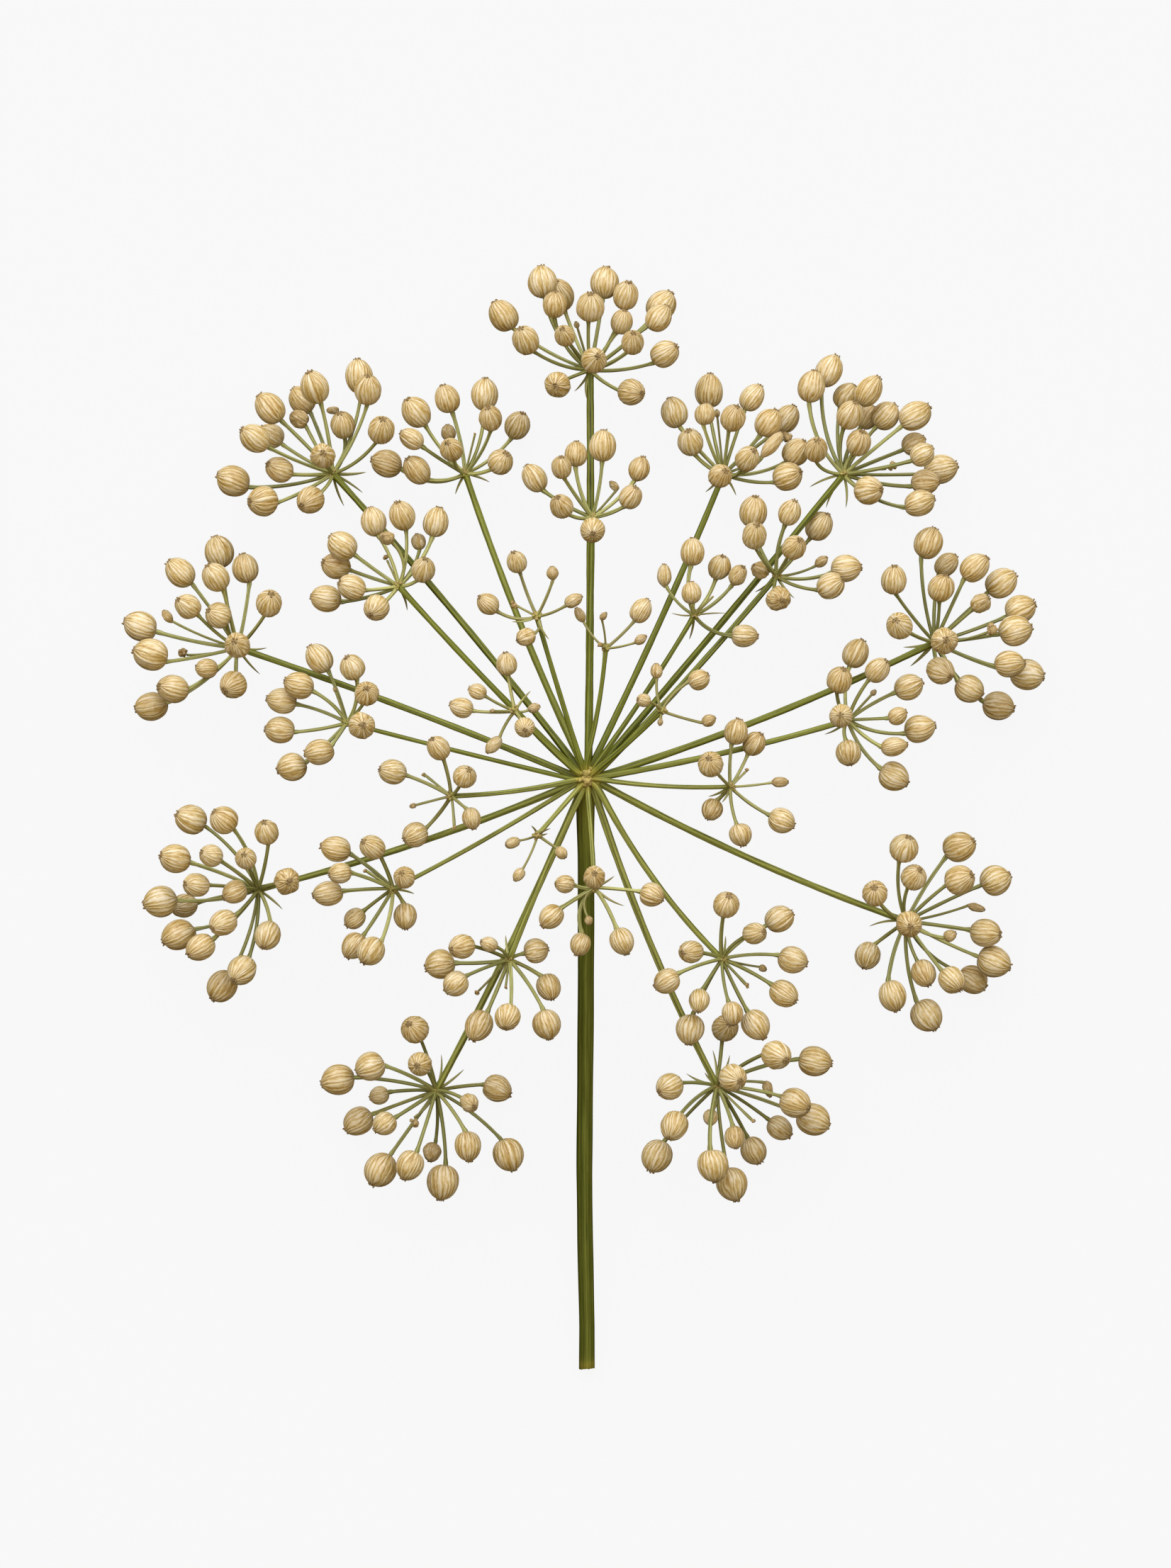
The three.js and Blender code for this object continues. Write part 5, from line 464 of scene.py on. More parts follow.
            (-55.44, 31.17, 14.62, -0.71, 0.367, 0.601, 1.99, 2.07, -53.92, 28.01, 11.65, -54.1, 30.49, 13.44),
            (-63.34, 31.04, 10.15, -0.611, 0.792, 0, 0.73, 1.23, -57.87, 27.67, 9.85, -62.54, 30.2, 10.15),
            (-67.59, 29.61, 10.15, -0.952, 0.306, 0, 2.21, 2.66, -59.11, 26.9, 9.85, -65.21, 28.76, 10.15),
            (-65.65, 25.2, 15.66, -0.96, 0.28, 0, 2.47, 2.77, -58.09, 24.75, 13.6, -63.59, 23.64, 15.66),
            (-61.56, 25.73, 0.65, -0.868, 0.496, 0, 0.65, 0.87, -56.81, 25.32, 2.73, -60.84, 25.31, 0.65),
            (-57.2, 23.09, 13.92, -0.998, 0.062, 0, 1.52, 1.74, -53.85, 24.39, 12.68, -55.55, 22.99, 13.92),
            (-62.28, 19.97, 15.52, -0.857, 0.169, 0.486, 2.18, 2.58, -55.72, 22.11, 11.62, -60.25, 19.55, 14.32),
            (-65.86, 17.34, 10.15, -0.985, -0.172, 0, 2.2, 2.56, -57.04, 20.68, 9.85, -63.45, 17.76, 10.15),
            (-53.13, 20.51, 15.77, -0.549, -0.385, 0.742, 2.1, 2.2, -52.99, 24.26, 11.97, -52.55, 21.76, 14.22),
        ],
        "bractlets": [(-48.41, 26.37, 6.55), (-49.44, 22.34, 7.75)],
    },
    24: {
        "centre": (-10.23, 16.47, 29), "foot": (-1.9, 8.09, 25.99), "bow": (-6.29, 12.05, 27.5),
        "fruits": [
            (-11.5, 23.55, 27.94, -0.127, 0.935, 0.331, 1.6, 1.85, -10.9, 19.17, 27.36, -11.29, 21.94, 27.36),
            (-15.86, 19.36, 29, -0.934, 0.357, 0, 1.21, 1.46, -12.61, 17.31, 29, -14.67, 18.7, 29),
            (-18.29, 16.99, 29, -0.95, 0.312, 0, 1.53, 1.87, -13.45, 16.06, 29, -16.64, 16.41, 29),
            (-7.38, 16.91, 27.68, 0.949, 0.316, 0, 0.71, 1.02, -9.22, 16.09, 28.01, -8.28, 16.61, 27.68),
            (-8.69, 13.91, 36.19, 0.068, -0.273, 0.96, 1.52, 1.74, -9.26, 15.24, 31.98, -8.81, 14.37, 34.6),
            (-13.46, 11.36, 27.42, -0.67, -0.742, 0, 0.99, 1.61, -11.77, 14.7, 27.82, -12.45, 12.49, 27.42),
            (-13.6, 16.46, 30.03, -0.955, 0, 0.296, 0.32, 0.42, -11.85, 16.46, 29.49, -13.23, 16.46, 29.91),
        ],
        "bractlets": [(-7.89, 19.43, 29.6)],
    },
    25: {
        "centre": (-27.91, 35.44, 18.57), "foot": (-1.82, 8.2, 24.58), "bow": (-15.28, 21.33, 21.57),
        "fruits": [
            (-31.75, 45.25, 17.77, -0.261, 0.965, 0, 1.94, 2.31, -28.59, 39.7, 18.48, -31.18, 43.14, 17.77),
            (-27.4, 46.13, 19.16, -0.308, 0.879, 0.365, 1.96, 2.39, -26.22, 39.65, 17.71, -26.72, 44.18, 18.33),
            (-22.31, 45.24, 17, 0.237, 0.971, 0, 1.93, 2.36, -24.3, 38.57, 17.39, -22.72, 43.04, 17),
            (-24.99, 42.31, 15.17, -0.263, 0.965, 0, 1.14, 1.31, -25.51, 37.82, 16.76, -24.67, 41.11, 15.17),
            (-29.61, 42.58, 22.42, -0.442, 0.126, 0.888, 1.09, 1.36, -25.83, 39.1, 19.05, -29.12, 42.36, 21.28),
            (-36.52, 41.63, 17.56, -0.772, 0.636, 0, 2.18, 2.44, -31.4, 37.74, 17.81, -34.67, 40.24, 17.56),
            (-37.6, 38.69, 14.26, -0.841, 0.239, 0.485, 2.01, 2.38, -31.87, 36.67, 13.62, -35.75, 38.16, 13.16),
            (-35.01, 35.27, 20.74, -0.815, 0.292, 0.5, 1.95, 2.32, -30.5, 34.92, 18.74, -33.26, 34.64, 19.64),
            (-38.98, 33.62, 17, -0.986, 0.166, 0, 2.06, 2.42, -32.19, 33.51, 17.39, -36.81, 32.93, 17),
            (-31.23, 32, 21.76, -0.432, -0.529, 0.731, 1.97, 2.05, -28.75, 34.24, 19.16, -30.11, 32.64, 20.35),
            (-24.1, 37.93, 20.95, 0.151, 0.705, 0.693, 1.79, 2.24, -26.15, 35.4, 18.62, -24.46, 36.49, 19.47),
            (-29.87, 39.76, 17.34, -0.392, 0.871, 0.296, 0.43, 0.56, -28.88, 37.55, 17.26, -29.67, 39.31, 17.19),
        ],
        "bractlets": [(-26.7, 31.87, 15.57)],
    },
    26: {
        "centre": (-38.24, 52.92, 8.91), "foot": (-1.32, 8.69, 22.98), "bow": (-18.76, 31.43, 15.15),
        "fruits": [
            (-53.51, 51.86, 8.46, -0.932, 0.363, 0, 2.31, 2.7, -44.54, 50.54, 8.57, -51.23, 50.66, 8.46),
            (-48.72, 48.47, 14.57, -0.831, -0.038, 0.554, 2.32, 2.41, -42.26, 49.92, 10.9, -47.02, 47.82, 13.31),
            (-41.52, 48.6, 14.09, -0.519, -0.399, 0.756, 2.04, 2.41, -38.56, 51.05, 10.62, -40.31, 49.44, 12.36),
            (-46.33, 53.42, 12.32, -0.721, 0.32, 0.614, 1.94, 2.38, -41.45, 52.57, 9.4, -44.87, 52.55, 10.93),
            (-49.86, 58, 15.67, -0.779, 0.524, 0.344, 2.06, 2.58, -43.27, 54.23, 13.22, -48.06, 56.67, 14.83),
            (-47.99, 59.14, 1.8, -0.795, 0.607, 0, 1.85, 2.11, -42.64, 55.09, 3.58, -46.45, 57.81, 1.8),
            (-47.93, 63.01, 8.46, -0.639, 0.769, 0, 2.13, 2.68, -42.06, 57.23, 8.57, -46.27, 61.06, 8.46),
            (-43.61, 61.48, 4.73, -0.875, 0.484, 0, 1.3, 1.49, -40.64, 56.69, 5.78, -42.5, 60.59, 4.73),
            (-43.29, 64.57, 2.02, -0.635, 0.773, 0, 2.06, 2.36, -39.82, 58.07, 3.74, -41.86, 62.81, 2.02),
            (-40.96, 66.06, 10.72, -0.314, 0.873, 0.372, 2.16, 2.71, -38.6, 58.43, 10.18, -40.06, 63.91, 9.76),
            (-34.27, 67.87, 7.19, -0.138, 0.99, 0, 2.11, 2.78, -34.76, 58.7, 6.61, -33.82, 65.25, 7.19),
            (-32.8, 65.64, 11.12, 0.024, 0.838, 0.545, 2.05, 2.56, -34.58, 57.71, 9.92, -32.69, 63.68, 9.8),
            (-36.72, 60.37, 9.15, -0.144, 0.769, 0.623, 1.9, 2.33, -36.03, 55.29, 7.11, -36.45, 58.73, 7.77),
            (-38.42, 62.82, 4.16, -1, 0, 0, 0.6, 0.97, -34.71, 57.62, 5.34, -37.49, 62.82, 4.16),
            (-30.59, 59.28, 16.13, 0.11, 0.646, 0.755, 2.02, 2.38, -33.91, 54.12, 11.36, -30.89, 57.91, 14.42),
            (-39.35, 55.13, 18.96, 0.049, 0.148, 0.988, 1.9, 2.19, -39.38, 54.24, 13.08, -39.54, 54.92, 16.91),
        ],
        "bractlets": [(-33.14, 53.11, 9.51), (-33.78, 50.11, 6.51), (-36.6, 48.05, 6.51)],
    },
    27: {
        "centre": (-18.01, 52.92, 9.01), "foot": (-0.52, 9.16, 24.2), "bow": (-10.5, 30.36, 16.6),
        "fruits": [
            (-30.07, 54.46, 9.01, -0.965, 0.26, 0, 2.08, 2.48, -23.25, 49.96, 9.01, -27.78, 53.84, 9.01),
            (-25.37, 53.33, 12.21, -0.622, 0.715, 0.319, 1.89, 2.49, -20.78, 51.29, 10.4, -23.99, 51.62, 11.45),
            (-26.12, 58, 13.34, -0.848, 0.53, 0, 1.55, 2.03, -21.45, 54.6, 12.26, -24.53, 56.9, 13.34),
            (-25.57, 62.36, 9.01, -0.55, 0.743, 0.38, 2.11, 2.64, -21.87, 56.13, 7.51, -24.21, 60.54, 8.05),
            (-20.81, 64.39, 9.01, -0.31, 0.892, 0.329, 1.88, 2.35, -18.47, 57.83, 7.79, -20.04, 62.47, 8.27),
            (-15.06, 65.05, 9.01, 0.026, 1, 0, 2.06, 2.61, -15.19, 57.36, 9.01, -15.12, 62.56, 9.01),
            (-14.11, 61.11, 14.1, -0.173, 0.694, 0.699, 1.77, 2.21, -15.19, 55.71, 10.43, -13.77, 59.73, 12.63),
            (-10.11, 60.68, 2.05, 0.365, 0.796, 0.483, 1.94, 2.38, -13.81, 55.04, 1.84, -10.83, 58.86, 0.96),
            (-12.53, 54.53, 13.7, 0.448, 0.592, 0.67, 1.95, 2.06, -15.83, 52.49, 10.76, -13.49, 53.49, 12.39),
            (-20.04, 56.26, 15.59, -0.266, 0.425, 0.865, 1.74, 2.17, -19.76, 53.17, 11.57, -19.53, 55.47, 13.8),
            (-20.71, 59.46, 3.94, -0.179, 0.984, 0, 1.14, 1.31, -21.86, 54.43, 5.21, -20.49, 58.22, 3.94),
            (-16.58, 58.56, 10.77, 0.228, 0.928, 0.296, 0.32, 0.42, -17.29, 55.77, 9.88, -16.67, 58.19, 10.65),
        ],
        "bractlets": [(-14.34, 51.65, 8.41), (-19.55, 49.84, 7.81)],
    },
    28: {
        "centre": (-6.96, 30.64, 26), "foot": (-0.44, 9.19, 26.06), "bow": (-3.91, 19.85, 26.03),
        "fruits": [
            (-10.03, 38.93, 26, -0.25, 0.788, 0.562, 1.5, 1.87, -8.55, 33.95, 24.36, -9.6, 37.57, 25),
            (-4.62, 37.08, 27.33, -0.102, 0.995, 0, 0.93, 1.15, -5.5, 33.22, 27, -4.49, 36, 27.33),
            (-14.34, 32.59, 26, -0.715, 0.536, 0.449, 1.55, 1.93, -10.19, 29.61, 24.78, -13.15, 31.52, 25.18),
            (-8.65, 27.51, 28.03, -0.784, -0.316, 0.535, 1.36, 1.63, -5.7, 29.11, 26.56, -7.42, 27.89, 27.2),
            (-1.44, 33.01, 28.75, 0.876, 0.482, 0, 1.02, 1.5, -4.58, 30.95, 28.06, -2.6, 32.22, 28.75),
            (-10.38, 32.48, 24.83, -0.844, 0.448, -0.296, 0.48, 0.63, -8.54, 31.49, 25.47, -9.88, 32.21, 25.01),
        ],
        "bractlets": [(-5.14, 27.16, 29.6), (-10.68, 29.88, 26.6)],
    },
}

# Fruits that aren't round and even, by umbellet and place in its list: how shrivelled, how brown, and what shape.
ODD = {
    (1, 14): (0.2, 0, ""),
    (1, 17): (0.6, 0.35, ""),
    (2, 5): (0.1, 0, "lemon"),
    (2, 7): (0.6, 0, ""),
    (3, 0): (0.3, 0.38, "drop"),
    (3, 1): (0.6, 0.4, ""),
    (3, 3): (0.5, 0.3, "lemon"),
    (3, 4): (0, 0.5, "lumps"),
    (4, 7): (0.2, 0, "drop"),
    (4, 8): (0, 0.6, "lumps"),
    (5, 1): (0.2, 0, "drop"),
    (5, 4): (0.2, 0, "drop"),
    (5, 6): (0, 0.5, "stick"),
    (6, 11): (0, 0.6, "lumps"),
    (7, 5): (0.5, 0.2, "club"),
    (7, 8): (0.95, 0.28, ""),
    (7, 9): (0.75, 0.14, ""),
    (8, 3): (0.7, 0.3, ""),
    (9, 5): (0.6, 0.3, ""),
    (9, 10): (0, 0.7, "lumps"),
    (9, 11): (0.35, 0, ""),
    (11, 3): (0.6, 0.4, "club"),
    (11, 7): (0, 0.7, "lumps"),
    (12, 5): (0.7, 0.05, "drop"),
    (12, 8): (0.5, 0.1, ""),
    (12, 16): (0.25, 0, ""),
    (13, 12): (0, 0.6, "stub"),
    (14, 4): (0.8, 0.35, ""),
    (14, 16): (0, 0.6, "stub"),
    (15, 0): (0.3, 0, ""),
    (15, 3): (0.7, 0.3, ""),
    (16, 9): (0, 0.7, "lumps"),
    (16, 10): (0, 0.7, "lumps"),
    (17, 7): (0, 0.7, "lumps"),
    (17, 10): (0.6, 0.3, ""),
    (17, 15): (0.4, 0.1, ""),
    (18, 0): (0.4, 0.1, "barrel"),
    (18, 1): (0.3, 0, ""),
    (18, 2): (0.3, 0, ""),
    (19, 9): (0, 0.6, "stub"),
    (20, 6): (0.5, 0.08, ""),
    (21, 4): (0, 0.6, "stub"),
    (21, 6): (0, 0.6, "stub"),
    (22, 8): (0.3, 0, ""),
    (23, 0): (0.3, 0, ""),
    (23, 8): (0.6, 0.05, "drop"),
    (23, 11): (0, 0.6, "lumps"),
    (24, 3): (0.3, 0.25, ""),
    (25, 3): (0.35, 0.1, ""),
    (25, 4): (0.7, 0.28, ""),
    (25, 11): (0, 0.5, "lumps"),
    (26, 7): (0.7, 0.15, "barrel"),
    (26, 13): (0.6, 0.3, "barrel"),
    (26, 15): (0.35, 0.05, ""),
    (27, 10): (0.35, 0.05, ""),
    (27, 11): (0, 0.6, "stick"),
    (28, 1): (0.3, 0.35, "drop"),
    (28, 3): (0.3, 0, ""),
    (28, 4): (0.3, 0.12, ""),
    (28, 5): (0, 0.4, "lumps"),
}

# How dry the pedicels of the small inner umbellets are.
DRIED = {
    3: 0.8, 8: 0.7, 11: 0.35, 18: 0.7, 21: 0.35, 24: 0.55, 28: 0.75,
}

# Bractlets that aren't green and narrow, by umbellet and place in its list: how dry and how broad.
LEAVES = {
    (5, 0): (0.7, 0.6),
    (5, 1): (0.7, 0.6),
    (5, 2): (0.5, 0.9),
    (9, 1): (0, 1.45),
    (15, 0): (0.5, 0.9),
    (15, 1): (0.5, 0.9),
    (18, 0): (0.7, 0.8),
    (18, 1): (0.7, 0.8),
    (18, 2): (0.7, 0.8),
    (26, 0): (0.1, 1.3),
}

SWELL, STRETCH = 1.0, 0.985

# The umbellets whose pedicels are of a deeper green than the rest, and by how much.
DEEPER = {5: 0.3, 6: 0.75, 7: 0.5, 9: 0.6, 12: 0.45, 13: 0.6, 14: 0.55, 17: 0.6, 16: 0.45, 19: 0.3, 20: 0.4, 21: 0.3, 23: 0.15, 26: 0.3}

VALUES = ("groove", "tone", "along", "husk", "worn")


def rng(*key):
    return np.random.RandomState(sum(int(k) * m for k, m in zip(key, (7919, 613, 97, 13))) % (2**31 - 1))


def unit(v):
    v = np.asarray(v, float)
    n = np.linalg.norm(v)
    return v / n if n > 1e-9 else np.array((0.0, 0.0, 1.0))


def square_to(axis, roll=0.0):
    """Two directions at right angles to an axis and to each other."""
    axis = unit(axis)
    side = np.cross(axis, (0.0, 0.0, 1.0) if abs(axis[2]) < 0.9 else (0.0, 1.0, 0.0))
    side = unit(side)
    other = np.cross(axis, side)
    return side * math.cos(roll) + other * math.sin(roll), other * math.cos(roll) - side * math.sin(roll)


def smooth(a, b, x):
    t = np.clip((np.asarray(x, float) - a) / (b - a), 0, 1)
    return t * t * (3 - 2 * t)


class Skin:
    """Closed lathed bodies and tubes, gathered into one mesh. Each is a stack of rings with a point at either end."""

    def __init__(self):
        self.co, self.quads, self.tris, self.grain, self.turns = [], [], [], [], []
        self.values = {k: [] for k in VALUES}
        self.patch = []
        self.n = 0

    def add(self, rings, start, end, grain, size, turns=None, **values):
        """rings is (m, n, 3); start and end are the closing points; values are numbers or (m, n) arrays; size is the patch's width and height."""
        rings = np.asarray(rings, float)
        m, n = rings.shape[:2]
        base = self.n
        self.co += [rings.reshape(-1, 3), np.asarray([start, end], float)]
        self.n += m * n + 2
        for k in VALUES:
            v = np.broadcast_to(np.asarray(values.get(k, 0.0), float), (m, n))
            self.values[k] += [v.reshape(-1), np.array((v[0].mean(), v[-1].mean()))]
        g = np.asarray(grain, float)
        self.grain += [g.reshape(-1, 3), g[0].mean(0)[None], g[-1].mean(0)[None]]
        self.turns.append(np.zeros((m * n + 2, 3)) if turns is None else np.concatenate([turns.reshape(-1, 3), [[0, 0, -1], [0, 0, 1]]]))
        i = np.arange(n)
        k = (i + 1) % n
        j = np.arange(m - 1)[:, None] * n
        quads = np.stack([j + i, j + k, j + n + k, j + n + i], -1).reshape(-1, 4) + base
        first, last = base + m * n, base + m * n + 1
        low = np.stack([np.full(n, first), base + k, base + i], -1)
        high = np.stack([np.full(n, last), base + (m - 1) * n + i, base + (m - 1) * n + k], -1)
        self.quads.append(quads)
        self.tris.append(np.concatenate([low, high]))
        u0, u1 = i / n, (i + 1) / n
        v0 = ((np.arange(m - 1) + 1) / (m + 1))[:, None] * np.ones(n)
        v1 = v0 + 1 / (m + 1)
        uq = np.stack([np.stack([np.broadcast_to(u, v.shape), v], -1) for u, v in ((u0, v0), (u1, v0), (u1, v1), (u0, v1))], 2)
        lows = np.stack([np.stack([(u0 + u1) / 2, np.zeros(n)], -1), np.stack([u1, np.full(n, 1 / (m + 1))], -1), np.stack([u0, np.full(n, 1 / (m + 1))], -1)], 1)
        highs = np.stack([np.stack([(u0 + u1) / 2, np.ones(n)], -1), np.stack([u0, np.full(n, m / (m + 1))], -1), np.stack([u1, np.full(n, m / (m + 1))], -1)], 1)
        self.patch.append((size, uq.reshape(-1, 4, 2), np.concatenate([lows, highs])))

    def unfolded(self):
        """Every patch's own map, packed on shelves in one square."""
        sizes = np.array([p[0] for p in self.patch], float)
        gap = 0.12
        order = np.argsort(-sizes[:, 1])
        wide = math.sqrt(((sizes[:, 0] + gap) * (sizes[:, 1] + gap)).sum())
        while True:
            place, x, y, shelf = {}, 0.0, 0.0, 0.0
            for i in order:
                w, h = sizes[i] + gap
                if x + w > wide:
                    x, y, shelf = 0.0, y + shelf, 0.0
                place[i] = (x, y)
                x, shelf = x + w, max(shelf, h)
            if y + shelf <= wide and max(sizes[:, 0]) + gap <= wide:
                break
            wide *= 1.03
        quads, tris = [], []
        for i, (size, uq, ut) in enumerate(self.patch):
            at = np.array(place[i]) + gap / 2
            quads.append((uq * size + at) / wide)
            tris.append((ut * size + at) / wide)
        return np.concatenate(quads), np.concatenate(tris)

    def build(self, name, material):
        co = np.concatenate(self.co)
        # What rests on the surface is pressed a little flat there.
        co[:, 2] = np.maximum(co[:, 2], 0.01)
        co *= MM
        quads, tris = np.concatenate(self.quads), np.concatenate(self.tris)
        me = bpy.data.meshes.new(name)
        me.vertices.add(len(co))
        me.vertices.foreach_set("co", co.astype(np.float32).ravel())
        corners = np.concatenate([quads.ravel(), tris.ravel()]).astype(np.int32)
        me.loops.add(len(corners))
        me.loops.foreach_set("vertex_index", corners)
        starts = np.concatenate([np.arange(len(quads)) * 4, len(quads) * 4 + np.arange(len(tris)) * 3]).astype(np.int32)
        me.polygons.add(len(starts))
        me.polygons.foreach_set("loop_start", starts)
        me.update(calc_edges=True)
        uq, ut = self.unfolded()
        layer = me.uv_layers.new(name="OFBake")
        layer.uv.foreach_set("vector", np.concatenate([uq.reshape(-1, 2), ut.reshape(-1, 2)]).astype(np.float32).ravel())
        for k in VALUES:
            a = me.attributes.new(k, "FLOAT", "POINT")
            a.data.foreach_set("value", np.concatenate(self.values[k]).astype(np.float32))
        a = me.attributes.new("grain", "FLOAT_VECTOR", "POINT")
        a.data.foreach_set("vector", np.concatenate(self.grain).astype(np.float32).ravel())
        a = me.attributes.new("turns", "FLOAT_VECTOR", "POINT")
        a.data.foreach_set("vector", np.concatenate(self.turns).astype(np.float32).ravel())
        me.validate()
        me.shade_smooth()
        me.materials.append(material)
        ob = bpy.data.objects.new(name, me)
        bpy.context.scene.collection.objects.link(ob)
        return ob


def bezier(p0, p1, p2, t):
    t = np.asarray(t, float)[:, None]
    return (1 - t) ** 2 * np.asarray(p0) + 2 * t * (1 - t) * np.asarray(p1) + t * t * np.asarray(p2)


def tube(skin, path, radii, ridges, depth, seed, tone, flat=1.0, samples=4, width=None, taper_ends=0.35, up=None, **values):
    """A grooved stem along a path. radii holds one number for each point of the path."""
    r = rng(*seed)
    path = np.asarray(path, float)
    radii = np.asarray(radii, float)
    m = len(path)
    tangent = np.gradient(path, axis=0)
    tangent /= np.linalg.norm(tangent, axis=1)[:, None]
    roll = r.uniform(0, 2 * math.pi) if up is None else 0.0
    side, other = square_to(tangent[0], roll)
    if up is not None:
        side = unit(np.cross(tangent[0], up))
        other = np.cross(tangent[0], side)
    n = ridges * samples
    a = 2 * math.pi * np.arange(n) / n
    strength = r.uniform(0.35, 1.0, ridges)
    k = np.arange(n) // samples
    within = (np.arange(n) % samples) / samples
    crest = np.abs(np.cos(math.pi * within)) ** 1.2
    groove = (1 - crest) * np.maximum(strength[k], 0.3)
    swirl = r.uniform(-0.35, 0.35)
    s = np.concatenate([[0], np.cumsum(np.linalg.norm(np.diff(path, axis=0), axis=1))])
    total = s[-1]
    rings, grain = np.zeros((m, n, 3)), np.zeros((m, n, 3))
    wobble = r.uniform(0, 6.28, 3)
    off = r.uniform(-40, 40, 3)
    for j in range(m):
        if j:
            side = unit(side - tangent[j] * side.dot(tangent[j]))
            other = np.cross(tangent[j], side)
        turn = a + swirl * s[j] / max(total, 1e-6)
        rr = radii[j] * (1 + 0.035 * math.sin(s[j] * 0.55 + wobble[0]) + 0.02 * math.sin(s[j] * 1.7 + wobble[1]))
        rad = rr * (1 - depth * groove)
        rings[j] = path[j] + (np.cos(turn) * rad)[:, None] * side + (np.sin(turn) * rad * flat)[:, None] * other
        grain[j] = np.stack([np.cos(turn) * 1.6, np.sin(turn) * 1.6, np.full(n, s[j] * 0.09)], -1) + off
    start = path[0] - tangent[0] * radii[0] * taper_ends
    end = path[-1] + tangent[-1] * radii[-1] * taper_ends
    g = np.broadcast_to(groove, (m, n))
    along = np.broadcast_to((s / max(total, 1e-6))[:, None], (m, n))
    given = {"groove": g, "along": along, "tone": tone}
    given.update(values)
    skin.add(rings, start, end, grain, (2 * math.pi * float(radii.mean()) if width is None else width, total), **given)


